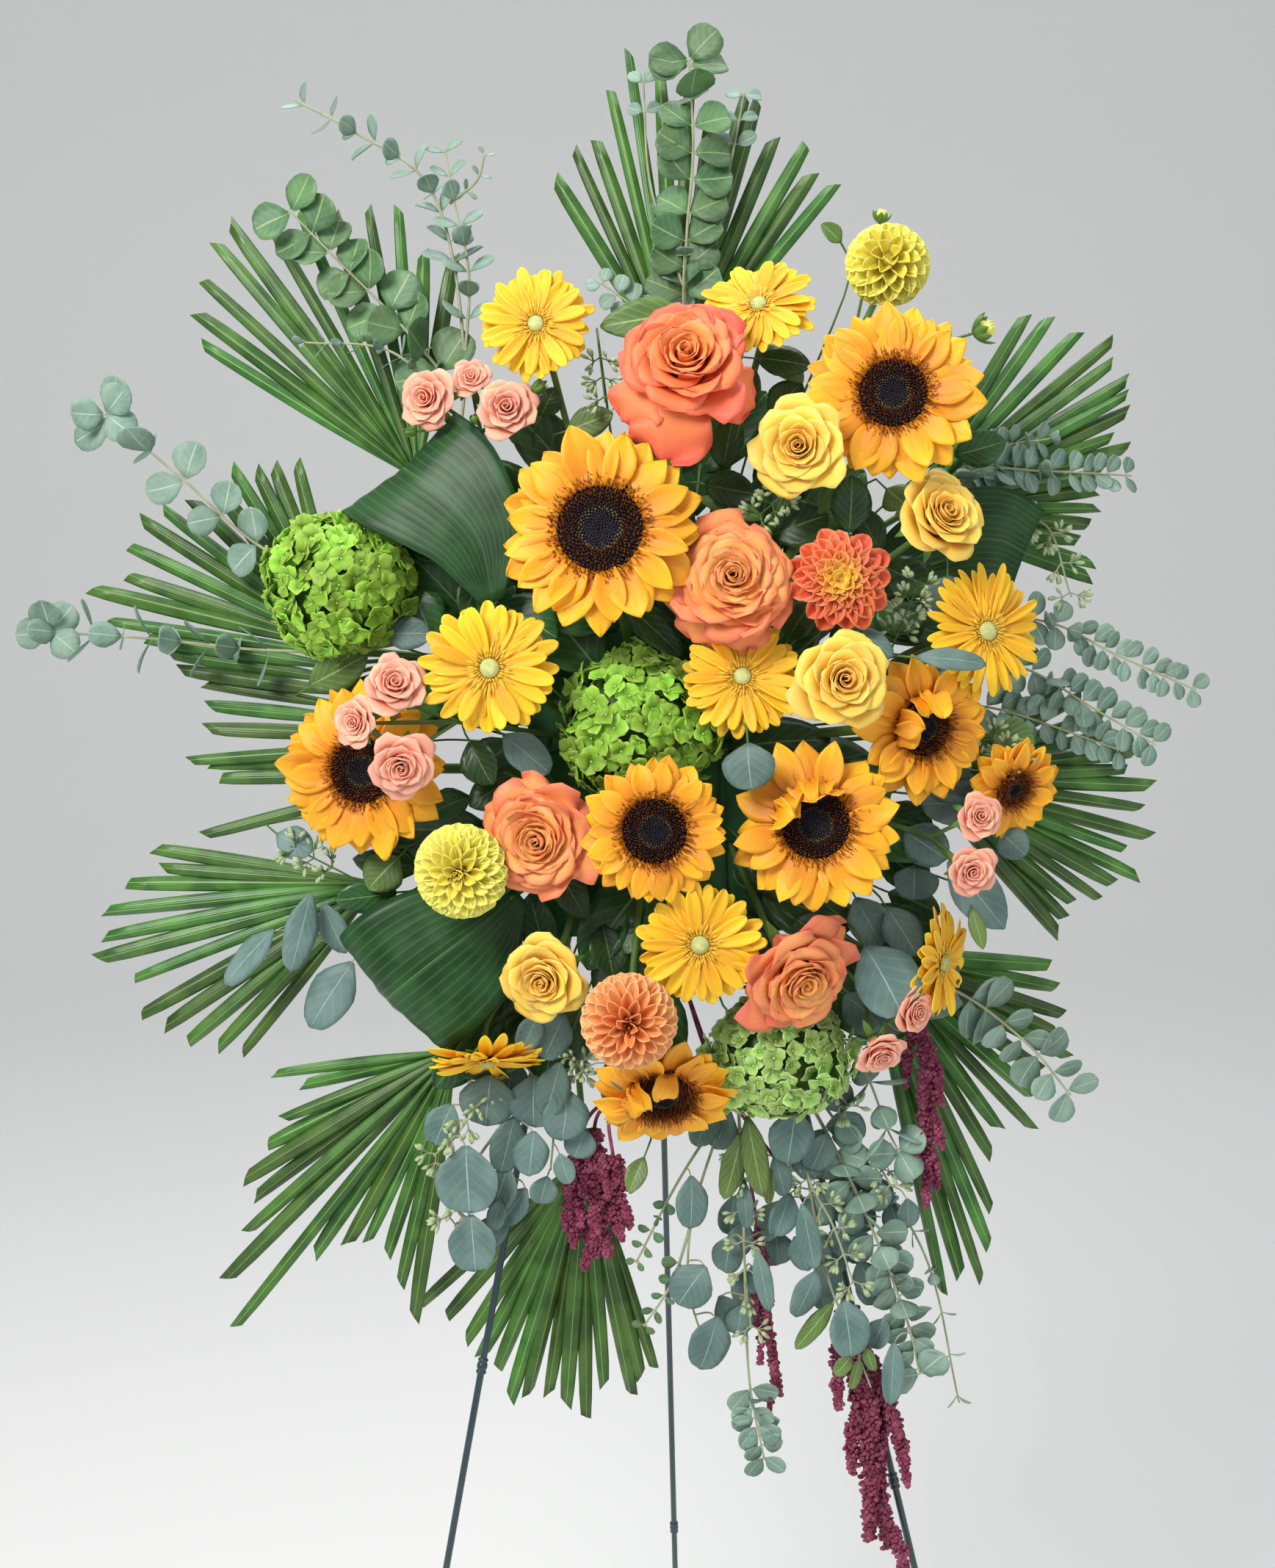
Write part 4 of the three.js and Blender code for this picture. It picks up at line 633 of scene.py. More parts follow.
def rib(v, length, heading, curl, roll):
    # a midrib that starts at a heading, turns steadily, and rolls over near its tip
    steps = np.linspace(-0.05, 1.05, 34)

    def angle(share):
        return heading + curl * share + roll * np.clip((share - 0.68) / 0.32, 0, 1) ** 2

    angles = angle(steps)
    gap = steps[1] - steps[0]
    out = length * gap * np.concatenate(([0], np.cumsum(0.5 * (np.cos(angles[1:]) + np.cos(angles[:-1])))))
    rise = length * gap * np.concatenate(([0], np.cumsum(0.5 * (np.sin(angles[1:]) + np.sin(angles[:-1])))))
    out -= np.interp(0, steps, out)
    rise -= np.interp(0, steps, rise)
    return np.interp(v, steps, out), np.interp(v, steps, rise), angle(v)


def petalShape(length, half, start=(0, 0), *, heading, curl, base, shoulder, tip, roll=0.0, cut=0.04,
               ease=1.0, cup=0.0, fold=0.0, groove=0.0, ridges=2.0, ruffle=0.0, waves=1.5, phase=0.0,
               twist=0.0, sway=0.0, slant=0.0, wrap=None, overlap=0.07):
    # out along x, across along y, up along z; with wrap, the petal curves round the bloom's axis
    def shape(u, v):
        inside = np.clip(v, 0, 1)
        v = 1 - (1 - inside) ** ease + v - inside      # with ease, rows gather where a round tip needs them
        out, rise, angle = rib(v, length, heading, curl, roll)
        width = half * outline(v, base, shoulder, tip, cut)
        lift = cup * width * u ** 2 + fold * width * np.abs(u)
        lift = lift + groove * half * np.cos(ridges * math.pi * u) * np.sin(math.pi * np.clip(v, 0, 1))
        lift = lift + ruffle * half * u ** 2 * np.sin(2 * math.pi * waves * v + phase + 1.4 * u)
        lift = lift + ruffle * half * 0.7 * np.clip(v - 0.5, 0, 1) * np.sin(5.0 * u + phase)
        side = u * width
        turn = twist * v
        side, lift = side * np.cos(turn) - lift * np.sin(turn), side * np.sin(turn) + lift * np.cos(turn)
        side = side + sway * length * np.clip(v, 0, 1.1) ** 2
        out = out + slant * u * width * np.clip(v, 0, 1) ** 4
        x = start[0] + out - np.sin(angle) * lift
        z = start[1] + rise + np.cos(angle) * lift
        if wrap is None:
            return np.stack((x, side, z), axis=1)
        around = np.clip(side / np.maximum(x, wrap), -2.6, 2.6)
        reach = x * (1 + overlap * u)
        return np.stack((reach * np.cos(around), reach * np.sin(around), z), axis=1)

    return shape


# Stems

def smoothPath(points, steps):
    # an even walk along a centripetal curve through the points
    perSpan = 12
    places = [Vector(p) for p in points]
    places = [2 * places[0] - places[1]] + places + [2 * places[-1] - places[-2]]
    walk = []
    for i in range(1, len(places) - 2):
        p0, p1, p2, p3 = places[i - 1:i + 3]
        t1 = math.sqrt((p1 - p0).length)
        t2 = t1 + math.sqrt((p2 - p1).length)
        t3 = t2 + math.sqrt((p3 - p2).length)
        for k in range(perSpan + (i == len(places) - 3)):
            t = t1 + (t2 - t1) * k / perSpan
            a1 = p0 * ((t1 - t) / t1) + p1 * (t / t1)
            a2 = p1 * ((t2 - t) / (t2 - t1)) + p2 * ((t - t1) / (t2 - t1))
            a3 = p2 * ((t3 - t) / (t3 - t2)) + p3 * ((t - t2) / (t3 - t2))
            b1 = a1 * ((t2 - t) / t2) + a2 * (t / t2)
            b2 = a2 * ((t3 - t) / (t3 - t1)) + a3 * ((t - t1) / (t3 - t1))
            walk.append(b1 * ((t2 - t) / (t2 - t1)) + b2 * ((t - t1) / (t2 - t1)))
    walk = np.array([tuple(p) for p in walk])
    lengths = np.concatenate(([0], np.cumsum(np.linalg.norm(np.diff(walk, axis=0), axis=1))))
    shares = np.linspace(0, lengths[-1], steps)
    return np.stack([np.interp(shares, lengths, walk[:, k]) for k in range(3)], axis=1)


def tubes(name, paths, material, sides=8):
    # round stems along paths: a path is its points, and its radius at the start and at the end or all
    # along
    data = bpy.data.curves.new(name, "CURVE")
    data.dimensions = "3D"
    data.bevel_mode = "ROUND"
    data.bevel_depth = 1
    data.bevel_resolution = max(0, sides // 2 - 2)
    data.use_fill_caps = True
    for points, startRadius, endRadius in paths:
        line = data.splines.new("POLY")
        line.points.add(len(points) - 1)
        for i, place in enumerate(points):
            share = i / max(1, len(points) - 1)
            line.points[i].co = (*(sprayMatrix @ Vector(place)), 1)
            thick = startRadius[i] if endRadius is None else startRadius + (endRadius - startRadius) * share
            line.points[i].radius = thick / 1000
    stem = bpy.data.objects.new(name, data)
    bpy.context.scene.collection.objects.link(stem)
    selectOnly(stem)
    bpy.ops.object.convert(target="MESH")
    stem = bpy.context.object
    paint(stem, material)
    bpy.ops.object.shade_smooth()
    return stem


def footOf(place, source):
    # where a stem that runs straight to its source ends, in its hole in the foam
    start = Vector(source)
    way = (Vector(place) - start).normalized()
    lows = (-foamSize["halfWidth"], -foamSize["front"], -foamSize["halfHeight"])
    highs = (foamSize["halfWidth"], -foamSize["back"], foamSize["halfHeight"])
    exits = [((high if way[k] > 0 else low) - start[k]) / way[k]
             for k, (low, high) in enumerate(zip(lows, highs)) if abs(way[k]) > 1e-6]
    return start + way * (min(exits) - foamSize["insertion"])


def stalkPath(fork, source, steps, radius):
    # a stem from a fork straight into the foam
    foot = footOf(fork, source)
    return smoothPath([fork, fork.lerp(foot, 0.5), foot], steps), radius, radius


def lookOf(spec):
    turn, nod = math.radians(spec.get("turn", 0)), math.radians(spec.get("nod", 0))
    return at(math.sin(turn) * math.cos(nod), math.sin(nod), math.cos(turn) * math.cos(nod))


def bloomMatrix(spec):
    turn = Vector((0, 0, 1)).rotation_difference(lookOf(spec)).to_matrix().to_4x4()
    spin = Matrix.Rotation(math.radians(spec.get("spin", 0)), 4, "Z")
    return sprayMatrix @ Matrix.Translation(at(spec["x"], spec["up"], spec["out"])) @ turn @ spin


def bloomStem(spec, seat, radius, neck=16):
    look = lookOf(spec)
    top = at(spec["x"], spec["up"], spec["out"]) + look * seat
    bend = top - look * neck
    foot = footOf(bend, at(*spec.get("source", spray["stemSource"])))
    if neck:
        points = smoothPath([top + look * 2, bend, bend.lerp(foot, 0.4), foot], 16)
    else:
        points = smoothPath([top, top.lerp(foot, 0.5), foot], 8)
    thick = radius * spray["stemFit"]
    return tubes("stem", [(points, thick, thick)], finishes["stem"])


def spinTo(matrix, azimuth):
    return matrix @ Matrix.Rotation(azimuth, 4, "Z")


def wobble(amount):
    return rnd.uniform(-amount, amount)


def frameMatrix(origin, out, normal):
    # a frame with x along out and z near the normal
    x = Vector(out).normalized()
    z = Vector(normal)
    z = (z - x * z.dot(x)).normalized()
    return Matrix.Translation(origin) @ Matrix((x, z.cross(x), z)).transposed().to_4x4()


def finishPiece(name, pieces, slot, *nodes, body="stand"):
    whole = joinPieces(name, pieces)
    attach(whole, body)
    if nodes:
        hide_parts(*nodes)


def bloom(x, up, out, radius, **more):
    return dict(more, x=x, up=up, out=out, radius=radius)


# Sunflowers

sunflowers = {
    "petals": 17,
    "grid": (7, 8),
    "rows": [(0.93, 0.4, 0.22, -0.5), (1.0, -2.0, 0.06, -0.3)],      # reach, height, heading, curl
    "bristles": 760,
    "openFrom": 0.46,      # the share of the disc's radius past which its florets are open
    "dome": {"high": 3.0, "bow": 1.4, "hollow": 2.6, "hollowReach": 0.3},
    "blooms": [
        bloom(-39, 169, 212, 81, disc=40, turn=-4, nod=6, source=(0, -6, 20)),
        bloom(194, 271, 190, 71, disc=32, turn=-10, nod=4, spin=12),
        bloom(-237, -13, 145, 71, disc=31, turn=-12, nod=-4, spin=25, source=(0, -18, 20)),
        bloom(-4, -67, 214, 58, disc=30, spin=8, source=(-20, -58, 20), petals=19),
        bloom(122, -66, 200, 69, disc=32, turn=-6, nod=8, spin=16, source=(26, 0, 20),
              folded=[70, 92, 114, 150, 172]),
        bloom(213, 8, 166, 60, disc=27, turn=24, nod=-6, spin=4, folded=[106, 128, 196, 218]),
        bloom(290, -43, 118, 45, disc=18, turn=26, nod=-24, spin=10),
        bloom(-3, -282, 144, 60, disc=30, nod=-40, spin=18, source=(-24, -40, 20), folded=[92, 150, 172]),
    ],
}


def discGround(share):
    # the disc's height at a share of its radius: domed, with a hollow in the middle
    dome = sunflowers["dome"]
    hollow = dome["hollow"] * np.exp(-(share / dome["hollowReach"]) ** 2)
    return dome["high"] * np.cos(share * dome["bow"]) - hollow


def sunflowerDisc(disc, matrix):
    pieces = []
    finish = finishes["sunflowerDisc"]
    blank, base = blankOf("grain", 3)
    dome = base * np.array((0.97 * disc, 0.97 * disc, 0.3 * disc))
    reach = np.hypot(dome[:, 0], dome[:, 1]) / disc
    dome[:, 2] = np.where(base[:, 2] > 0, discGround(reach) - 1.8, dome[:, 2])
    pieces.append(copyOf(blank, moved(dome, matrix), finish, 0.0, 0.1))
    count, openFrom = sunflowers["bristles"], sunflowers["openFrom"]
    for i in range(count):
        share = math.sqrt((i + 0.5) / count)
        opened = max(0, share - openFrom) / (1 - openFrom)     # open florets are tall and lean out
        height = 3.2 + (3.3 + 2.6 * opened) * (opened > 0) + wobble(0.3 + 1.0 * opened)
        lean = -0.26 + 0.84 * opened + wobble(0.08 + 0.24 * opened)
        foot = Matrix.Translation((0.98 * disc * share, 0, discGround(share) - 2.4))
        spot = (spinTo(matrix, goldenAngle * i) @ foot
                @ Matrix.Rotation(lean, 4, "Y") @ Matrix.Rotation(wobble(0.05 + 0.3 * opened), 4, "X"))
        thick = disc * (0.026 if opened else 0.034)
        pieces.append(placedGrain(blankOf("bristle"), (thick, thick, height), spot, finish,
                                  layer=share + wobble(0.02)))
    return pieces


def greenCup(matrix, radius, depth, seat, bracts, length):
    # the green base behind a bloom, with its bracts
    blank, base = blankOf("grain", 3)
    cup = base * np.array((radius, radius, depth))
    cup[:, 2] = np.where(cup[:, 2] > 0, cup[:, 2] * 0.15, cup[:, 2]) + seat
    pieces = [copyOf(blank, moved(cup, matrix), finishes["calyx"])]
    for i in range(bracts):
        start = (radius * 0.8, seat - depth * 0.25)
        shape = petalShape(length * (1 + wobble(0.15)), length * 0.24, start, heading=-0.25 + wobble(0.15),
                           curl=0.35 + wobble(0.3), base=0.8, shoulder=0.35, tip=1.3, cup=0.3)
        spot = spinTo(matrix, 2 * math.pi * (i + 0.5) / bracts)
        pieces.append(shapedSheet((3, 5), shape, spot, finishes["calyx"]))
    return pieces


def makeSunflower(number, spec):
    matrix = bloomMatrix(spec)
    radius, disc = spec["radius"], spec["disc"]
    count = spec.get("petals", sunflowers["petals"])
    folded = [math.radians(a - spec.get("spin", 0)) for a in spec.get("folded", [])]
    pieces = sunflowerDisc(disc, matrix)
    inner = 0.84 * disc
    for row, (reach, height, heading, curl) in enumerate(sunflowers["rows"]):
        for i in range(count):
            azimuth = 2 * math.pi * (i + 0.5 * row + wobble(0.18)) / count
            length = (reach * radius - inner) * (1 + wobble(0.08))
            lifted = any(abs(math.remainder(azimuth - a, 2 * math.pi)) < 0.2 for a in folded)
            if lifted and row == 0:
                # folded in, low over the disc's rim
                shape = petalShape(
                    (0.8 + wobble(0.16)) * length, 0.36 * length, (inner + 0.12 * disc, height + 2),
                    heading=math.radians(92 + wobble(14)), curl=math.radians(84 + wobble(24)), base=0.6,
                    shoulder=0.5, tip=0.9, ease=1.3, cup=-0.3, groove=0.06, ridges=3, twist=wobble(0.6),
                    ruffle=0.2, phase=wobble(3), sway=wobble(0.2))
            else:
                shape = petalShape(
                    length, (0.31 + wobble(0.04)) * length, (inner, height), heading=heading + wobble(0.16),
                    curl=curl + wobble(0.4), base=0.55, shoulder=0.46, tip=0.95, ease=1.3,
                    cup=wobble(0.35) + 0.12, groove=0.06, ridges=3, ruffle=0.13, waves=1.2, phase=wobble(3),
                    twist=wobble(0.4), sway=wobble(0.09))
            pieces.append(shapedSheet(sunflowers["grid"], shape, spinTo(matrix, azimuth),
                                      finishes["sunflowerPetal"], layer=0.5 + 0.5 * row))
    pieces += greenCup(matrix, radius=0.92 * disc, depth=0.34 * disc, seat=-7, bracts=16,
                       length=0.75 * disc)
    pieces.append(bloomStem(spec, seat=-0.5 * disc, radius=4.5))
    finishPiece(f"sunflower_bloom_{number}", pieces, "sunflower", f"sunflower_{number}")


# Gerberas

gerberas = {
    "petals": 19,
    "grid": (5, 8),
    # reach, height, heading, curl, half width
    "rows": [(0.99, -1.4, 0.03, -0.12, 0.128), (0.93, 0.8, 0.16, -0.3, 0.118)],
    # the short frilled florets round the eye: reach, start, heading, how many, half width
    "frills": [(0.26, 0.17, 0.25, 32, 0.024), (0.18, 0.16, 0.45, 32, 0.02), (0.1, 0.14, 0.85, 30, 0.016)],
    "eye": 0.15,           # its share of the bloom
    "eyeHigh": 2.4,
    "eyeGrains": 90,
    "blooms": [
        bloom(-86, 339, 160, 46, turn=-8, nod=6),
        bloom(92, 349, 160, 46, turn=-12, nod=30),
        bloom(-129, 64, 195, 54, source=(-24, 0, 20)),
        bloom(69, 52, 183, 48, nod=10),
        bloom(267, 84, 150, 54, turn=24, nod=4, narrow=0.7),
        bloom(29, -157, 196, 50, turn=2, nod=-6),
        bloom(-145, -250, 128, 48, turn=4, nod=-74),
        bloom(226, -182, 126, 47, turn=60, nod=-8),
    ],
}


def makeGerbera(number, spec):
    matrix = bloomMatrix(spec)
    radius = spec["radius"]
    narrow = spec.get("narrow", 1)
    count = gerberas["petals"]
    pieces = []
    for row, (reach, height, heading, curl, half) in enumerate(gerberas["rows"]):
        for i in range(count):
            azimuth = 2 * math.pi * (i + 0.5 * row + wobble(0.16)) / count
            inner = 0.14 * radius
            length = (reach * radius - inner) * (1 + wobble(0.09))
            shape = petalShape(
                length, half * radius * narrow * (1 + wobble(0.14)), (inner, height),
                heading=heading + wobble(0.12), curl=curl + wobble(0.26), base=0.3, shoulder=0.62, tip=0.55,
                cut=0.16, ease=1.5, cup=0.3 + wobble(0.3), groove=0.1, ridges=3, twist=wobble(0.35),
                sway=wobble(0.07))
            pieces.append(shapedSheet(gerberas["grid"], shape, spinTo(matrix, azimuth),
                                      finishes["gerberaPetal"], layer=1 - 0.4 * row))
    for ring, (reach, start, heading, amount, half) in enumerate(gerberas["frills"]):
        for i in range(amount):
            azimuth = 2 * math.pi * (i + 0.5 * ring + wobble(0.3)) / amount
            shape = petalShape(reach * radius * (1 + wobble(0.25)), half * radius, (start * radius, 2.0),
                               heading=heading + wobble(0.2), curl=-0.5, base=0.7, shoulder=0.5, tip=0.6)
            pieces.append(shapedSheet((2, 2), shape, spinTo(matrix, azimuth), finishes["gerberaFloret"],
                                      layer=0.3))
    eye, high, grains = gerberas["eye"] * radius, gerberas["eyeHigh"], gerberas["eyeGrains"]
    pieces.append(ball(matrix, (eye, eye, 0.5 * eye), finishes["gerberaEye"], rise=high))
    for i in range(grains):
        share = math.sqrt((i + 0.5) / grains)
        ground = high + 0.46 * eye * math.sqrt(max(0, 1 - 0.9 * share ** 2))
        spot = spinTo(matrix, goldenAngle * i) @ Matrix.Translation((eye * share, 0, ground - 0.5))
        size = (0.42, 0.42, 1.3 + 0.7 * share + wobble(0.2))
        pieces.append(placedGrain(blankOf("bristle"), size, spot, finishes["gerberaEye"]))
    pieces += greenCup(matrix, radius=0.24 * radius, depth=0.26 * radius, seat=-1.5, bracts=14,
                       length=0.26 * radius)
    pieces.append(bloomStem(spec, seat=-11, radius=3))
    finishPiece(f"gerbera_bloom_{number}", pieces, "gerbera", f"gerbera_{number}")


# Roses

roses = {
    "grid": {"orange": (12, 11), "yellow": (10, 10)},
    "orange": [
        bloom(31, 298, 200, 53, nod=20, finish="coralRose", open=0.7, petals=25, ruffle=0.2,
              drooping=[(-143, 0.98), (-104, 1.24), (-30, 0.92)]),
        bloom(63, 128, 198, 49, spin=20, nod=6, finish="gardenRose", open=0.9, petals=38, ruffle=0.26,
              drooping=[(170, 0.9), (215, 0.9), (262, 0.85)]),
        bloom(-93, -72, 185, 46, turn=-12, nod=-4, finish="gardenRose", open=0.85, petals=36, ruffle=0.24,
              drooping=[(140, 1), (100, 0.9), (-20, 0.95)]),
        bloom(106, -184, 180, 46, turn=22, nod=-28, source=(27, 0, 20), finish="gardenRose", open=0.85,
              petals=34, ruffle=0.22, drooping=[(60, 0.9)]),
    ],
    "yellow": [
        bloom(119, 229, 200, 39, turn=-12, open=0.85),
        bloom(230, 174, 172, 38, turn=26, nod=20, source=(0, 24, 20), open=0.75),
        bloom(145, 46, 210, 39, turn=8, open=0.8),
        bloom(-94, -181, 162, 37, turn=-14, nod=-18, source=(-20, 0, 20), open=0.7),
    ],
}


def roseHead(matrix, radius, finish, count, openness, grid, ruffle, bottom=-0.6):
    # broad cupped petals in a spiral, tight and upright in the middle, with rims that roll back outside
    pieces = []
    for i in range(count):
        share = i / (count - 1)
        rimReach = radius * (0.06 + 0.89 * share ** 0.9)
        rimHeight = radius * (0.42 - 0.04 * share - 0.5 * openness * share ** 2.6) + wobble(0.025 * radius)
        start = (radius * (0.02 + 0.16 * share), radius * (bottom + 0.14 * share))
        out, rise = rimReach - start[0], rimHeight - start[1]
        chord = math.hypot(out, rise)
        curl = math.radians(20 - 40 * share + wobble(8))
        roll = math.radians(-18 - 96 * share)
        half = radius * (0.4 + 0.42 * share) * (1 + wobble(0.16))
        shape = petalShape(
            chord * (1.04 + 0.13 * share), half, start,
            heading=math.atan2(rise, out) - 0.45 * curl - 0.08 * roll, curl=curl, roll=roll, base=0.4,
            shoulder=0.66, tip=0.24, cut=0.3, ease=1.9, ruffle=ruffle * (0.25 + 0.75 * share), waves=1.3,
            phase=wobble(3), sway=wobble(0.05), wrap=0.12 * radius + 0.1 * radius * share, overlap=0.14)
        azimuth = goldenAngle * i + wobble(0.15)
        pieces.append(shapedSheet(grid, shape, spinTo(matrix, azimuth), finish, layer=share, thick=0.5))
    return pieces


def sepals(matrix, radius, seat, length):
    # five green leaves under a rose, and its hip
    pieces = []
    for i in range(5):
        shape = petalShape(length * (1 + wobble(0.15)), 0.2 * length, (0.3 * radius, seat), heading=-0.2,
                           curl=-0.9 + wobble(0.5), base=0.9, shoulder=0.3, tip=1.4, cup=0.2)
        pieces.append(shapedSheet((3, 6), shape, spinTo(matrix, 2 * math.pi * i / 5 + wobble(0.2)),
                                  finishes["calyx"]))
    hip = (0.22 * radius, 0.22 * radius, 0.24 * radius)
    pieces.append(ball(matrix, hip, finishes["calyx"], rise=seat - 0.02 * radius))
    return pieces


def makeRose(kind, number, spec):
    matrix = bloomMatrix(spec)
    radius = spec["radius"]
    finish = finishes[spec.get("finish", "yellowRose")]
    grid = roses["grid"][kind]
    pieces = roseHead(matrix, radius, finish, spec.get("petals", 26), spec["open"], grid,
                      ruffle=spec.get("ruffle", 0.08))
    for angle, size in spec.get("drooping", []):
        shape = petalShape(0.86 * radius * size, 0.5 * radius * size, (0.45 * radius, -0.04 * radius),
                           heading=-0.12, curl=-0.7, base=0.6, shoulder=0.62, tip=0.3, cut=0.2, ease=1.6,
                           cup=-0.2, ruffle=0.26, phase=angle)
        spot = spinTo(matrix, math.radians(angle))
        pieces.append(shapedSheet(grid, shape, spot, finish, layer=1, thick=0.5))
    pieces += sepals(matrix, radius, -0.52 * radius, 0.5 * radius)
    pieces.append(bloomStem(spec, seat=-0.6 * radius, radius=3.2))
    finishPiece(f"{kind}_rose_bloom_{number}", pieces, f"{kind}_rose", f"rose_{kind}_{number}")


# Dahlias

dahlias = {
    "grid": (4, 6),
    "closed": 26,           # florets of an eye that are still closed
    "budPetals": 16,
    "yellowPetals": 9,      # of a bud; the rest are green bracts that stand further off
    "blooms": [
        bloom(197, 381, 145, 34, domed=1, nod=14, finish="lemonDahlia", petals=80, width=1.7),
        bloom(147, 125, 200, 43, domed=0.3, finish="redDahlia", petals=66, pointed=True, width=1.3),
        bloom(-156, -94, 190, 38, domed=0.55, turn=-12, nod=-8, finish="lemonDahlia", petals=86,
              width=1.25, eye="lemonHeart"),
        bloom(-28, -214, 207, 38, domed=1, nod=-8, finish="orangeDahlia", petals=108, width=1.2,
              eye="orangeHeart"),
    ],
    "buds": [
        bloom(195, 424, 128, 6, joint=(170, 322, 102)),
        bloom(274, 329, 132, 10, joint=(153, 290, 94)),
    ],
}


def dahliaBud(spec):
    end, joint = at(spec["x"], spec["up"], spec["out"]), at(*spec["joint"])
    radius = spec["radius"]
    turn = Vector((0, 0, 1)).rotation_difference(end - joint).to_matrix().to_4x4()
    matrix = sprayMatrix @ Matrix.Translation(end) @ turn
    blank, base = blankOf("grain", 2)
    pieces = [copyOf(blank, moved(base * 0.8 * radius, matrix), finishes["lemonDahlia"])]
    for i in range(dahlias["budPetals"]):
        yellow = i < dahlias["yellowPetals"]
        heading, curl, finish = (1.0, 1.0, "lemonDahlia") if yellow else (0.35, 1.2, "calyx")
        shape = petalShape(1.9 * radius, 0.42 * radius, (0.3 * radius, -0.8 * radius), heading=heading,
                           curl=curl, base=0.6, shoulder=0.5, tip=0.9, cup=0.5)
        pieces.append(shapedSheet((3, 4), shape, spinTo(matrix, goldenAngle * i), finishes[finish]))
    path = smoothPath([joint, joint.lerp(end, 0.5) + at(0, 4, 3), end], 12)
    pieces.append(tubes("budStalk", [(path, 1.4, 1.2)], finishes["stem"]))
    return pieces


def makeDahlia(number, spec):
    matrix = bloomMatrix(spec)
    radius, domed = spec["radius"], spec["domed"]
    finish = finishes[spec["finish"]]
    core = (0.55 * radius, 0.55 * radius, (0.2 + 0.3 * domed) * radius)
    pieces = [ball(matrix, core, finish, rise=-0.1 * radius, layer=0.2)]
    pointed = "pointed" in spec
    count = spec["petals"]
    for i in range(count):
        share = (i + 0.5) / count
        polar = math.radians((6 + (74 + 38 * domed) * share ** (0.62 if pointed else 0.55)))
        reach = radius * (0.5 if pointed else 0.62)
        start = (reach * math.sin(polar) * 0.55, reach * math.cos(polar) * (0.35 + 0.4 * domed))
        wide = radius * (1 - 0.02 * share)
        end = (wide * math.sin(polar), wide * math.cos(polar) * (0.25 + 0.6 * domed))
        if pointed:
            end = (radius * (0.12 + 0.88 * share ** 0.7), radius * (0.34 - 0.42 * share))
        out, rise = end[0] - start[0], end[1] - start[1]
        curl = math.radians((38 if pointed else 20) - 60 * share)
        length = math.hypot(out, rise) * 1.04
        half = radius * spec.get("width", 1) * ((0.1 + 0.07 * share) if pointed else (0.09 + 0.08 * share))
        shape = petalShape(length, half, start, heading=math.atan2(rise, out) - 0.5 * curl + wobble(0.08),
                           curl=curl, base=0.5, shoulder=0.6, tip=0.85 if pointed else 0.4, ease=1.4,
                           cup=0.8 if pointed else 1.1, twist=wobble(0.2))
        pieces.append(shapedSheet(dahlias["grid"], shape, spinTo(matrix, goldenAngle * i + wobble(0.05)),
                                  finish, layer=share, thick=0.5))
    if "eye" in spec:
        # narrow upright florets that are still closed
        closed = dahlias["closed"]
        for i in range(closed):
            share = math.sqrt((i + 0.5) / closed)
            start = (0.17 * radius * share, 0.3 * radius * (0.3 + domed))
            shape = petalShape(0.26 * radius, 0.045 * radius, start,
                               heading=1.45 - 0.5 * share + wobble(0.2), curl=0.5, base=0.6, shoulder=0.4,
                               tip=1.1, cup=1.4)
            spot = spinTo(matrix, goldenAngle * i)
            pieces.append(shapedSheet((2, 4), shape, spot, finishes[spec["eye"]]))
    pieces += greenCup(matrix, radius=0.3 * radius, depth=0.3 * radius, seat=-0.2 * radius, bracts=8,
                       length=0.4 * radius)
    pieces.append(bloomStem(spec, seat=-0.45 * radius, radius=3))
    if number == 1:
        for bud in dahlias["buds"]:
            pieces += dahliaBud(bud)
    finishPiece(f"dahlia_bloom_{number}", pieces, "dahlia", f"dahlia_{number}")


# Hydrangeas

hydrangeas = {
    "florets": 176,
    "bead": (1.1, 1.1, 1.1),      # in the middle of a floret
    "core": 0.8,                  # the solid ball inside, as a share of the head
    "flat": 0.8,
    "blooms": [
        bloom(-257, 140, 110, 60, turn=-14, nod=4, finish="hydrangea"),
        bloom(-14, 17, 141, 63, finish="hydrangea"),
        bloom(92, -256, 116, 51, wide=1.2, nod=-20, source=(26, 0, 20), finish="paleHydrangea"),
    ],
}


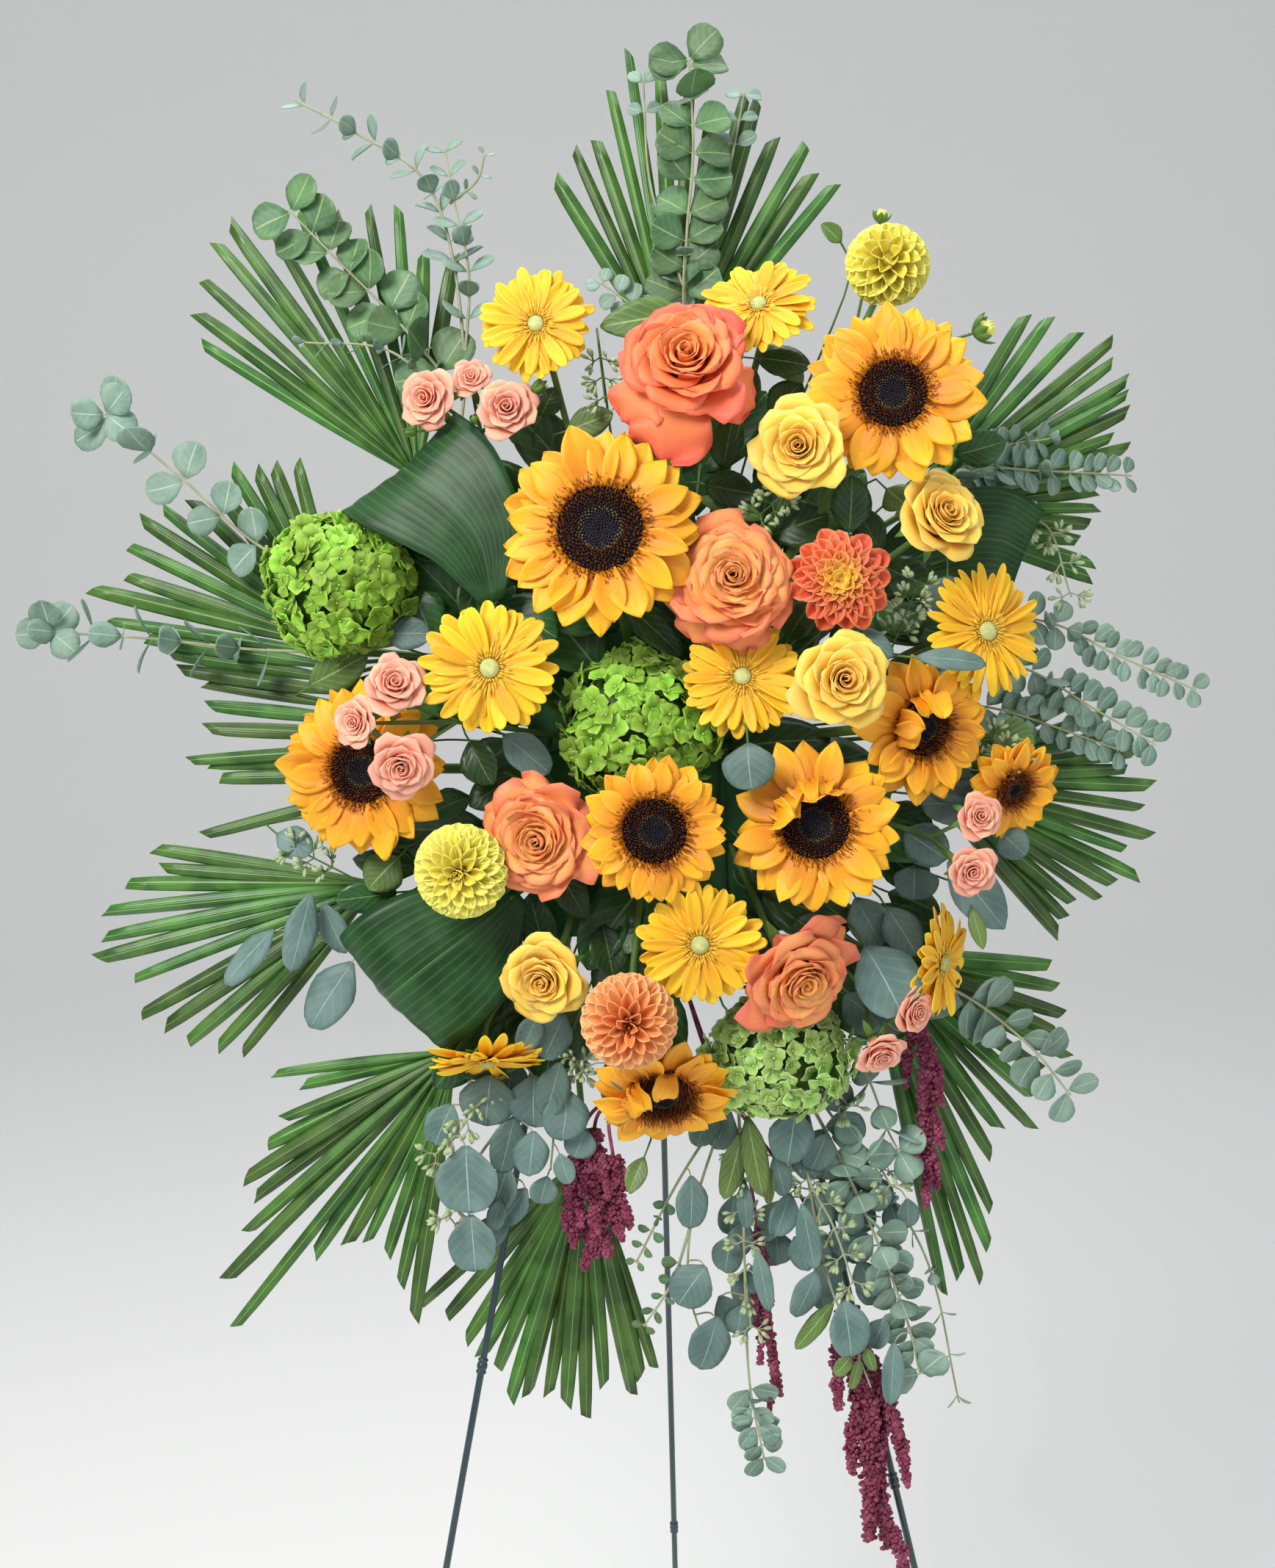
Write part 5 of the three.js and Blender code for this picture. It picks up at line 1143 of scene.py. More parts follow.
def makeHydrangea(number, spec):
    matrix = bloomMatrix(spec)
    radius, flat = spec["radius"], hydrangeas["flat"]
    finish = finishes[spec["finish"]]
    count = hydrangeas["florets"]
    blank, base = blankOf("grain", 3)
    wide = spec.get("wide", 1)
    core = base * hydrangeas["core"] * radius * np.array((wide, 1, flat))
    pieces = [copyOf(blank, moved(core, matrix), finishes["hydrangeaShade"], 0.05, 0.1)]
    for i in range(count):
        z = 1 - 1.88 * (i + 0.5) / count
        ring = math.sqrt(1 - z * z)
        angle = goldenAngle * i + wobble(0.1)
        way = Vector((ring * math.cos(angle), ring * math.sin(angle), z))
        lump = 0.035 * math.sin(3 * angle + number) + 0.025 * math.sin(5 * angle + 4 * z)
        centre = Matrix.Diagonal((wide, 1, flat)) @ way * (0.94 + lump + wobble(0.06)) * radius
        lean = Vector((wobble(0.6), wobble(0.6), 0.1 + wobble(0.4)))
        turn = Vector((0, 0, 1)).rotation_difference(way + lean).to_matrix().to_4x4()
        spot = matrix @ Matrix.Translation(centre) @ turn @ Matrix.Rotation(rnd.uniform(0, 6.3), 4, "Z")
        size = 0.19 * radius * (1 + wobble(0.2))
        tint = rnd.random()
        opening = 0.45 + wobble(0.25)
        for k in range(4):
            shape = petalShape(size * (1 + wobble(0.12)), 0.56 * size, (0.2, 0.3 * (k % 2)),
                               heading=opening + wobble(0.15), curl=-0.7 + wobble(0.4), base=0.3,
                               shoulder=0.5, tip=0.75, ease=1.3, cup=0.25 + wobble(0.3), ruffle=0.08,
                               phase=wobble(3))
            pieces.append(shapedSheet((3, 3), shape, spinTo(spot, k * math.pi / 2 + wobble(0.14)), finish,
                                      min(1, max(0, tint + wobble(0.2))), thick=0.4))
        bead = spot @ Matrix.Translation((0, 0, 0.9))
        pieces.append(placedGrain(blankOf("grain", 1), hydrangeas["bead"], bead, finishes["hydrangeaBead"],
                                  tint=0.9))
    pieces.append(bloomStem(spec, seat=-0.3 * radius, radius=4, neck=0))
    finishPiece(f"hydrangea_bloom_{number}", pieces, "hydrangea", f"hydrangea_{number}")


# Sprigs of small roses

sprayRoses = {
    "petals": 22,
    "grid": (7, 7),
    "sprigs": [
        dict(fork=(-136, 262, 108), blooms=[
            bloom(-175, 284, 146, 25, turn=-20),
            bloom(-141, 300, 138, 17, nod=20, open=0.4),
            bloom(-112, 274, 148, 25, nod=6)],
            buds=[(-86, 291, 150, 6), (-138, 266, 150, 5), (-190, 258, 146, 4.5)]),
        dict(fork=(-158, 24, 160), blooms=[
            bloom(-204, 52, 196, 26, turn=10, nod=20),
            bloom(-233, 24, 196, 20, turn=-30, open=0.5),
            bloom(-200, -10, 196, 27, nod=-16)]),
        dict(fork=(222, -80, 118), blooms=[
            bloom(255, -64, 158, 20, turn=14, nod=6),
            bloom(248, -107, 158, 21, turn=8, nod=-10)],
            leaf=dict(tip=(282, -158, 104), half=20)),
        dict(fork=(165, -205, 105), blooms=[
            bloom(172, -250, 152, 21, turn=20, nod=-40),
            bloom(200, -218, 146, 20, turn=40, nod=-10)],
            leaf=dict(tip=(248, -220, 88), half=17)),
    ],
}


def makeSprig(number, spec):
    fork = at(*spec["fork"])
    pieces, paths = [], [stalkPath(fork, at(*spray["stemSource"]), 8, 2.2)]
    for head in spec["blooms"]:
        matrix = bloomMatrix(head)
        radius = head["radius"]
        pieces += roseHead(matrix, radius, finishes["sprayRose"], sprayRoses["petals"],
                           head.get("open", 0.8), sprayRoses["grid"], bottom=-0.75, ruffle=0.08)
        pieces += sepals(matrix, radius, -0.66 * radius, 0.75 * radius)
        seat = at(head["x"], head["up"], head["out"]) - lookOf(head) * 0.75 * radius
        paths.append((smoothPath([fork, fork.lerp(seat, 0.5) - lookOf(head) * 4, seat], 12), 1.8, 1.6))
    for x, up, out, size in spec.get("buds", []):
        seat = at(x, up, out)
        turn = Vector((0, 0, 1)).rotation_difference(seat - fork).to_matrix().to_4x4()
        spot = sprayMatrix @ Matrix.Translation(seat) @ turn
        hip = (0.75 * size, 0.75 * size, 1.15 * size)
        pieces.append(placedGrain(blankOf("grain", 2), hip, spot, finishes["calyx"]))
        for k in range(5):
            shape = petalShape(2.3 * size, 0.5 * size, (0.55 * size, -1.0 * size), heading=1.1, curl=0.9,
                               base=0.8, shoulder=0.35, tip=1.4, cup=0.5)
            pieces.append(shapedSheet((3, 5), shape, spinTo(spot, 2 * math.pi * k / 5), finishes["calyx"]))
        paths.append((smoothPath([fork, fork.lerp(seat, 0.5) + at(0, 2, 3), seat], 8), 1.1, 1.0))
    if "leaf" in spec:
        tip = at(*spec["leaf"]["tip"])
        reach = tip - fork
        spot = sprayMatrix @ frameMatrix(fork + reach * 0.25, reach, at(0, 0.1, 1))
        shape = petalShape(reach.length * 0.75, spec["leaf"]["half"], base=0.15, shoulder=0.45, tip=0.8,
                           heading=0.1, curl=-0.2, cup=0.15)
        pieces.append(shapedSheet((6, 10), shape, spot, finishes["silverEucalyptus"]))
        paths.append((smoothPath([fork, fork + reach * 0.14, fork + reach * 0.27], 6), 1.5, 1.0))
    pieces.append(tubes("sprigStems", paths, finishes["stem"]))
    finishPiece(f"spray_rose_sprig_{number}", pieces, "spray_rose", f"spray_rose_{number}")


# Palm fans

palmFans = {
    "grid": (6, 12),
    "half": 6.5,
    "hubLength": 14,
    "knuckle": (12, 6, 3.4),
    "step": 1.4,            # how far neighbouring blades stand before and behind each other
    "widestGap": 0.125,     # radians between two blades before one is added between them
    "fans": [
        dict(hub=(-196, 236, 34), source=(-72, 124, 35),
             tips=[(-160, 421, 30), (-206, 463, 30), (-229, 465, 30), (-349, 457, 26), (-361, 439, 26),
                   (-371, 411, 24), (-378, 382, 24), (-374, 356, 24)]),
        dict(hub=(27, 318, 34), source=(14, 115, 35),
             tips=[(166, 473, 28), (141, 509, 28), (105, 545, 28), (92, 551, 28), (-4, 593, 26),
                   (-20, 560, 26),
                   (-54, 510, 26), (-68, 487, 26)]),
        dict(hub=(222, 196, 34), source=(70, 112, 35),
             tips=[(371, 135, 30), (380, 195, 28), (408, 244, 26), (410, 274, 26), (410, 304, 24),
                   (398, 337, 24), (345, 356, 24), (327, 357, 24)]),
        dict(hub=(226, -31, 34), source=(70, -20, 35),
             tips=[(335, -167, 34), (371, -138, 34), (406, -119, 32), (417, -86, 30), (419, -43, 30),
                   (408, -13, 30), (348, 46, 30)]),
        dict(hub=(176, -178, 34), source=(72, -118, 35),
             tips=[(230, -470, 22), (266, -459, 22), (272, -432, 22), (284, -329, 26), (309, -333, 26),
                   (342, -271, 28), (338, -237, 28), (328, -194, 30)]),
        dict(hub=(-262, 92, 34), source=(-72, 70, 35),
             tips=[(-300, 248, 28), (-352, 247, 28), (-431, 206, 26), (-473, 150, 26), (-461, 123, 26),
                   (-380, 64, 30), (-394, 2, 30), (-368, -16, 30), (-384, -62, 30)], drift=(34, -118, 0)),
        dict(hub=(-240, -108, 34), source=(-72, -56, 35),
             tips=[(-426, -75, 28), (-450, -100, 28), (-471, -127, 28), (-478, -167, 26), (-444, -211, 24),
                   (-404, -239, 24), (-358, -247, 24)]),
        dict(hub=(-178, -252, 34), source=(-70, -118, 35),
             tips=[(-330, -268, 28), (-306, -279, 28), (-360, -354, 24), (-359, -400, 22), (-380, -440, 20),
                   (-372, -483, 20), (-303, -422, 22), (-240, -424, 22), (-221, -478, 20)]),
        dict(hub=(-71, -352, -20), source=(-82, -112, 46),
             tips=[(-215, -478, -24), (-179, -509, -26), (-142, -564, -28), (-110, -560, -28),
                   (-78, -582, -30),
                   (-40, -563, -30), (-16, -540, -30)]),
    ],
}


def palmBlade(hub, tip, half, lift):
    reach = tip - hub
    spot = sprayMatrix @ frameMatrix(hub, reach, at(0, 0, 1))
    shape = petalShape(reach.length, half, (3, 0), heading=lift, curl=-2 * lift, base=0.2, shoulder=0.6,
                       tip=0.5, cut=0.72, fold=-0.5 + wobble(0.2), twist=wobble(0.5),
                       slant=rnd.choice((-1.1, 1.1, 0.5)), sway=wobble(0.01))
    return shapedSheet(palmFans["grid"], shape, spot, finishes["palm"], thick=0.7)


def makePalmFan(number, spec):
    hub = at(*spec["hub"])
    tips = [at(*tip) for tip in spec["tips"]]
    blades = []
    for i, tip in enumerate(tips):
        blades.append(tip)
        if i + 1 < len(tips):
            here, there = tip - hub, tips[i + 1] - hub
            extra = int(here.angle(there) / palmFans["widestGap"])
            for k in range(extra):
                share = (k + 1) / (extra + 1)
                way = here.lerp(there, share).normalized()
                length = (here.length + (there.length - here.length) * share) * (0.95 + wobble(0.05))
                blades.append(hub + way * length)
    pieces = []
    outward = (hub - at(*spec["source"])).normalized()
    start = hub - outward * palmFans["hubLength"]
    foot = footOf(start, at(*spec["source"]))
    paths = []
    for k, tip in enumerate(blades):
        # neighbours stand before and behind each other, as a pleated leaf's blades do
        step = at(0, 0, palmFans["step"] * (-1) ** k)
        # with drift, the last blades sit lower down, each on its own bit of stalk
        slip = at(*spec.get("drift", (0, 0, 0))) * max(0, 2 * k / (len(blades) - 1) - 1)
        pieces.append(palmBlade(hub + slip + step, tip + step, palmFans["half"] * (0.95 + wobble(0.18)),
                                0.05 + wobble(0.05)))
        if slip.length > 0:
            paths.append((smoothPath([hub + slip + (tip - hub - slip) * 0.06, (hub + slip).lerp(start, 0.3),
                                      start.lerp(foot, 0.4)], 8), 2.0, 1.6))
    knuckle = sprayMatrix @ frameMatrix(hub - outward * 3, outward, at(0, 0, 1))
    pieces.append(placedGrain(blankOf("grain", 2), palmFans["knuckle"], knuckle, finishes["stem"]))
    paths.append((smoothPath([hub, start, foot], 10), 3.0, 2.5))
    pieces.append(tubes("palmStalk", paths, finishes["stem"]))
    finishPiece(f"palm_blades_{number}", pieces, "palm", f"palm_fan_{number}")


# Eucalyptus

seeds = dict(seeds=True, length=12)
eucalyptus = {
    "leafLean": 30,        # degrees that a leaf leans along its twig
    "branches": {
        "left": dict(root=(-142, 112, 62), source=(-66, 92, 62), twigs=[
            dict(places=[(-140, 111, 62), (-160, 220, 66), (-150, 330, 70), (-176, 475, 72),
                         (-237, 522, 70), (-285, 550, 68)], radius=1.8, pairs=10, length=31, start=0.6,
                 taper=0.6, round=0.9, face=0.35),
            dict(places=[(-150, 326, 70), (-144, 400, 76), (-154, 458, 76), (-161, 504, 74)], pairs=8,
                 length=26, start=0.2, face=0.4, round=0.8),
            dict(places=[(-158, 458, 76), (-135, 478, 72), (-128, 500, 70)], pairs=3, length=11,
                 start=0.3),
            dict(places=[(-155, 300, 69), (-209, 368, 62), (-253, 415, 60), (-295, 461, 60)], pairs=9,
                 length=37, start=0.12, round=1.1, taper=0.85, face=0.7, finish="greenEucalyptus"),
            dict(places=[(-156, 280, 68), (-210, 336, 74), (-285, 347, 72)], pairs=8, length=20,
                 start=0.25, round=0.5, face=0.15),
            dict(places=[(-140, 111, 62), (-230, 132, 58), (-326, 178, 58), (-389, 236, 60),
                         (-453, 293, 62)], radius=1.8, pairs=5, length=32, start=0.56, round=1.05,
                 taper=1, face=0.75, tuft=3),
            dict(places=[(-140, 111, 62), (-240, 90, 58), (-330, 92, 60), (-413, 103, 62),
                         (-504, 112, 64)], radius=1.8, pairs=8, length=30, start=0.5, round=0.75, taper=1,
                 face=0.12, tuft=4)]),
        "top": dict(root=(34, 240, 62), source=(26, 118, 60), twigs=[
            dict(places=[(34, 236, 62), (34, 330, 66), (38, 420, 70), (46, 500, 70), (45, 574, 68)],
                 radius=1.8, pairs=9, length=36, start=0.42, round=1.1, taper=0.8, face=0.8, tuft=2,
                 finish="greenEucalyptus"),
            dict(places=[(36, 330, 68), (34, 372, 74), (36, 410, 76)], pairs=4, length=26, start=0.1,
                 face=0.1),
            dict(places=[(36, 380, 68), (72, 470, 58), (91, 549, 54)], pairs=3, length=24, start=0.75,
                 round=1, face=0.6),
            dict(places=[(36, 330, 68), (-10, 370, 74), (-34, 388, 76)], pairs=4, length=22, start=0.5,
                 round=1, face=0.7),
            dict(places=[(36, 380, 68), (10, 470, 62), (6, 562, 56)], pairs=2, length=22, start=0.85,
                 round=1, face=0.7)]),
        "right": dict(root=(176, 78, 62), source=(66, 64, 62), twigs=[
            dict(places=[(172, 77, 62), (220, 160, 66), (270, 222, 66), (330, 222, 66), (405, 216, 66)],
                 pairs=14, length=27, start=0.5, round=0.85, face=0.6),
            dict(places=[(240, 184, 66), (290, 240, 62), (340, 250, 60)], pairs=8, length=23, start=0.4,
                 face=0.5),
            dict(places=[(172, 77, 62), (260, 150, 60), (329, 180, 60), (353, 116, 60)], pairs=5,
                 start=0.6, **seeds),
            dict(places=[(172, 77, 62), (250, 100, 60), (332, 96, 60), (390, 66, 62), (455, 35, 62)],
                 pairs=14, length=27, start=0.5, taper=0.5, face=0.7),
            dict(places=[(172, 77, 62), (250, 66, 56), (312, 58, 54), (370, 22, 56), (421, -10, 58)],
                 pairs=12, length=28, start=0.46, face=0.7),
            dict(places=[(172, 77, 62), (240, 36, 54), (298, 22, 50), (394, -14, 50)], pairs=10,
                 length=26, start=0.5, face=0.7)]),
        "trailing": dict(root=(84, -236, 58), source=(78, -112, 62), twigs=[
            dict(places=[(83, -234, 58), (118, -296, 66), (150, -361, 68), (173, -417, 62),
                         (189, -461, 54), (201, -499, 46), (209, -538, 38)], radius=1.8, pairs=19,
                 length=31, start=0.3, round=1.1, taper=0.6, face=0.65, tuft=2),
            dict(places=[(83, -234, 58), (150, -330, 50), (215, -434, 38), (244, -568, 20)], pairs=7,
                 length=17, start=0.4, face=0.2),
            dict(places=[(83, -234, 58), (140, -242, 76), (165, -273, 82), (184, -325, 80),
                         (193, -343, 78)], pairs=6, length=28, start=0.4, face=0.1, taper=1, tuft=2),
            dict(places=[(83, -234, 58), (40, -330, 70), (18, -400, 66), (15, -457, 60), (27, -505, 54)],
                 pairs=0),
            dict(places=[(60, -290, 66), (62, -370, 74), (62, -440, 68), (66, -490, 60)], pairs=7,
                 start=0.25, **seeds),
            dict(places=[(112, -330, 62), (118, -366, 74), (135, -400, 76), (152, -452, 72)], pairs=6,
                 start=0.1, **seeds),
            dict(places=[(83, -234, 58), (120, -262, 78), (152, -303, 86)], pairs=3, start=0.6, **seeds),
            dict(places=[(150, -330, 50), (170, -345, 66), (186, -372, 68)], pairs=3, start=0.5, **seeds),
            dict(places=[(83, -234, 58), (160, -212, 66), (230, -205, 74), (302, -255, 66),
                         (340, -302, 60)], radius=1.8, pairs=7, length=32, start=0.6, round=1, taper=0.8,
                 face=0.6),
            dict(places=[(112, -330, 62), (132, -450, 64), (150, -500, 56), (166, -545, 50)], pairs=0),
            dict(places=[(60, -290, 66), (10, -360, 70), (-29, -431, 66)], pairs=5, length=14, start=0.66,
                 face=0.6, finish="greenEucalyptus"),
            dict(places=[(18, -400, 66), (0, -450, 62), (-24, -486, 58)], pairs=5, length=14, start=0.35,
                 face=0.6, finish="greenEucalyptus"),
            dict(places=[(62, -440, 62), (64, -540, 46), (75, -608, 34)], pairs=8, length=23, start=0.62,
                 round=1, taper=0.8, face=0.7)],
            # from and to in the photo's pixels, half width, how far out
            leaves={"silverEucalyptus": [
                (941, 1601, 941, 1674, 14, 84), (961, 1724, 923, 1777, 19, 80),
                (977, 1793, 952, 1863, 19, 72), (1013, 1606, 1017, 1674, 7, 84),
                (1030, 1701, 1046, 1784, 8, 78), (1083, 1510, 1070, 1584, 20, 96),
                (1054, 1574, 1068, 1628, 10, 88), (1075, 1624, 1054, 1683, 13, 70),
                (1092, 1639, 1110, 1730, 10, 90), (1112, 1730, 1083, 1795, 13, 74),
                (1148, 1770, 1159, 1848, 18, 68), (1206, 1795, 1188, 1835, 11, 50),
                (1217, 1826, 1212, 1913, 10, 52), (1086, 1559, 1112, 1606, 13, 74),
                (1126, 1544, 1104, 1595, 14, 80), (1141, 1515, 1170, 1555, 14, 80),
                (1104, 1624, 1126, 1668, 14, 62), (1083, 1683, 1101, 1730, 12, 60),
                (1152, 1668, 1141, 1712, 13, 60), (1235, 1632, 1237, 1672, 10, 64),
                (995, 1683, 988, 1733, 14, 58), (1010, 1777, 1003, 1817, 12, 58),
                (1024, 1723, 1032, 1759, 12, 60), (1160, 1600, 1130, 1640, 13, 58),
                (980, 1764, 1004, 1812, 12, 56), (1116, 1716, 1134, 1764, 13, 54),
                (1134, 1620, 1158, 1663, 14, 56), (1170, 1716, 1194, 1764, 13, 50),
                (1066, 1440, 1046, 1490, 16, 84), (966, 1500, 948, 1560, 14, 76),
                (992, 1512, 974, 1566, 14, 70), (1060, 1636, 1036, 1690, 13, 56),
                (1104, 1672, 1122, 1716, 13, 52), (1150, 1568, 1172, 1620, 14, 54),
                (1016, 1664, 1000, 1712, 12, 52), (1128, 1466, 1150, 1512, 15, 80),
                (1118, 1610, 1122, 1662, 14, 46), (1163, 1628, 1180, 1676, 14, 44),
                (1056, 1676, 1060, 1724, 14, 44), (1126, 1684, 1137, 1736, 15, 42),
                (1186, 1600, 1205, 1650, 14, 44), (1116, 1736, 1122, 1782, 13, 42),
                (1159, 1668, 1172, 1720, 14, 40), (999, 1628, 992, 1680, 14, 46),
                (1106, 1556, 1112, 1606, 15, 48), (1211, 1635, 1226, 1682, 12, 40),
                (1180, 1725, 1190, 1778, 14, 40), (1139, 1604, 1149, 1655, 14, 42),
                (1015, 1730, 1018, 1782, 13, 42), (1204, 1684, 1216, 1730, 12, 38)], "oliveLeaf": [
                (1010, 1541, 985, 1632, 11, 96), (1017, 1519, 1039, 1628, 11, 98),
                (1050, 1592, 1046, 1641, 5, 92), (1135, 1773, 1083, 1837, 8, 60),
                (1159, 1846, 1137, 1872, 7, 58), (1170, 1850, 1159, 1892, 5, 58),
                (1179, 1833, 1190, 1868, 6, 60)]}),
        "silver": dict(root=(-96, -232, 62), source=(-66, -112, 60), twigs=[
            dict(places=[(-95, -230, 62), (-120, -290, 72), (-128, -340, 74), (-150, -400, 68)], pairs=0),
            dict(places=[(-95, -230, 62), (-92, -290, 70), (-98, -350, 70)], pairs=0),
            dict(places=[(-95, -230, 62), (-140, -270, 92), (-172, -312, 106), (-192, -330, 108)],
                 pairs=5, start=0.5, **seeds),
            dict(places=[(-120, -290, 72), (-160, -340, 92), (-182, -384, 98)], pairs=3, start=0.75,
                 **seeds),
            dict(places=[(-95, -230, 62), (-80, -245, 92), (-68, -264, 106)], pairs=4, start=0.6,
                 **seeds),
            dict(places=[(-95, -230, 62), (-170, -200, 62), (-250, -160, 64), (-300, -150, 64)],
                 radius=1.8, pairs=0)],
            leaves={"silverEucalyptus": [
                (634, 1560, 640, 1652, 26, 112), (641, 1654, 648, 1731, 20, 104),
                (668, 1464, 661, 1533, 24, 104), (728, 1464, 726, 1536, 21, 106),
                (762, 1447, 742, 1520, 15, 114), (772, 1484, 766, 1554, 20, 108),
                (616, 1503, 591, 1560, 15, 92), (700, 1520, 681, 1596, 15, 98),
                (727, 1540, 720, 1603, 15, 116), (762, 1571, 776, 1611, 9, 112),
                (745, 1602, 735, 1640, 12, 100), (798, 1537, 782, 1576, 14, 92),
                (692, 1588, 672, 1649, 15, 94), (717, 1618, 683, 1666, 12, 90),
                (681, 1633, 672, 1675, 8, 96), (734, 1380, 709, 1433, 11, 112),
                (768, 1380, 740, 1443, 15, 108), (796, 1408, 782, 1453, 10, 98),
                (829, 1447, 853, 1482, 8, 150), (700, 1440, 690, 1500, 16, 88),
                (373, 1266, 306, 1341, 14, 82), (423, 1217, 395, 1322, 14, 88),
                (480, 1310, 421, 1400, 20, 80), (440, 1230, 470, 1300, 12, 72),
                (640, 1700, 690, 1660, 13, 80)]}),
    },
}


def eucalyptusLeaf(origin, out, normal, length, roundness, finish):
    spot = sprayMatrix @ frameMatrix(origin, out, normal)
    shape = petalShape(length, 0.5 * roundness * length, heading=wobble(0.25), curl=wobble(0.45), base=0.12,
                       shoulder=0.5, tip=0.45, ease=1.4, cup=0.12 + wobble(0.2), twist=wobble(0.25))
    return shapedSheet((4, 6), shape, spot, finish, thick=0.5)


def broadLeaf(start, end, half, finish, tip, bulge=0.5):
    # a leaf from one place to another that faces the viewer and bulges a little
    reach = end - start
    spot = sprayMatrix @ frameMatrix(start, reach, at(wobble(0.4), 0.1 + wobble(0.4), 1))
    shape = petalShape(reach.length, half, heading=0.5 * bulge, curl=-bulge + wobble(0.15), base=0.1,
                       shoulder=0.45, tip=tip, ease=1.25, cup=wobble(0.25), fold=0.1, twist=wobble(0.3),
                       ruffle=0.04, phase=wobble(3))
    return shapedSheet((6, 9), shape, spot, finish, thick=0.5)


seedHead = {"stalk": 7, "buds": 7, "budStalk": 6, "spread": 0.9, "bud": (4.4, 1.9, 1.9)}


def seedCluster(origin, out, along):
    # a few buds on one short stalk
    knot, spread = origin + out * seedHead["stalk"], seedHead["spread"]
    pieces, paths = [], [([origin, knot], 0.7, 0.6)]
    for _ in range(seedHead["buds"]):
        way = (out + along * wobble(spread) + Vector([wobble(spread) for _ in range(3)])).normalized()
        bud = knot + way * seedHead["budStalk"]
        paths.append(([knot, bud], 0.5, 0.5))
        spot = sprayMatrix @ frameMatrix(bud + way * 3, way, (0.3, 0.2, 1))
        pieces.append(placedGrain(blankOf("grain", 1), seedHead["bud"], spot, finishes["seed"]))
    return pieces, paths


def makeEucalyptus(name, spec):
    fork = at(*spec["root"])
    pieces, paths, walks = [], [stalkPath(fork, at(*spec["source"]), 6, 2.4)], []
    for twig in spec["twigs"]:
        radius = twig.get("radius", 1.5)
        walk = smoothPath([at(*p) for p in twig["places"]], 61)
        walks.append(walk)
        paths.append((walk, radius, 0.55 * radius))
        pairs = twig["pairs"]
        face = twig.get("face", 0.4)             # how far the leaves turn to the viewer
        finish = finishes[twig.get("finish", "roundEucalyptus")]
        for i in range(pairs):
            share = twig["start"] + (0.985 - twig["start"]) * i / max(1, pairs - 1)
            k = min(59, int(share * 60))
            origin = Vector(walk[k])
            along = (Vector(walk[min(60, k + 1)]) - Vector(walk[max(0, k - 1)])).normalized()
            side = along.cross(at(0, 0, 1)).normalized()
            other = along.cross(side)
            way = side if i % 2 == 0 or rnd.random() < face else other
            length = twig["length"] * (1 - (1 - twig.get("taper", 0.6)) * share) * (1 + wobble(0.12))
            for hand in (-1, 1):
                tilt = math.radians(eucalyptus["leafLean"] + wobble(18))
                turned = (way * hand * math.cos(tilt) + along * math.sin(tilt)).normalized()
                if "seeds" in twig:
                    more, lines = seedCluster(origin, turned, along)
                    pieces += more
                    paths += lines
                    continue
                normal = along * math.cos(tilt) - way * hand * math.sin(tilt)
                normal = normal * (1 - face) + at(wobble(0.3), wobble(0.3), 1) * face
                stalk = origin + turned * (radius + 1.5)
                paths.append(([origin, stalk], 0.6, 0.5))
                pieces.append(eucalyptusLeaf(stalk - turned * 0.8, turned, normal, length,
                                             twig.get("round", 0.9), finish))
        for i in range(twig.get("tuft", 0)):
            # leaves at the very tip, seen from above
            angle = goldenAngle * i + 0.8
            way = at(math.cos(angle), math.sin(angle), 0.25)
            origin = Vector(walk[60])
            paths.append(([origin, origin + way * 3], 0.6, 0.5))
            pieces.append(eucalyptusLeaf(origin + way * 2, way, at(wobble(0.3), wobble(0.3), 1),
                                         0.9 * twig["length"], 1.05, finish))
    walked = np.concatenate(walks)
    for finish, leaves in spec.get("leaves", {}).items():
        for across, down, tipAcross, tipDown, half, out in leaves:
            start, end = photoPlace(across, down, out), photoPlace(tipAcross, tipDown, out - 4)
            near = Vector(walked[np.argmin(np.linalg.norm(walked - np.array(start), axis=1))])
            bend = near.lerp(start, 0.6) - (end - start).normalized() * 3
            paths.append((smoothPath([near, bend, start + (end - start) * 0.03], 8), 0.9, 0.6))
            pieces.append(broadLeaf(start, end, half, finishes[finish], 0.5, 0.35))
    pieces.append(tubes("twigs", paths, finishes["twig"], sides=6))
    finishPiece(f"eucalyptus_leaves_{name}", pieces, "eucalyptus", f"eucalyptus_{name}")


# Filler leaves among the blooms, each on its own stalk into the foam

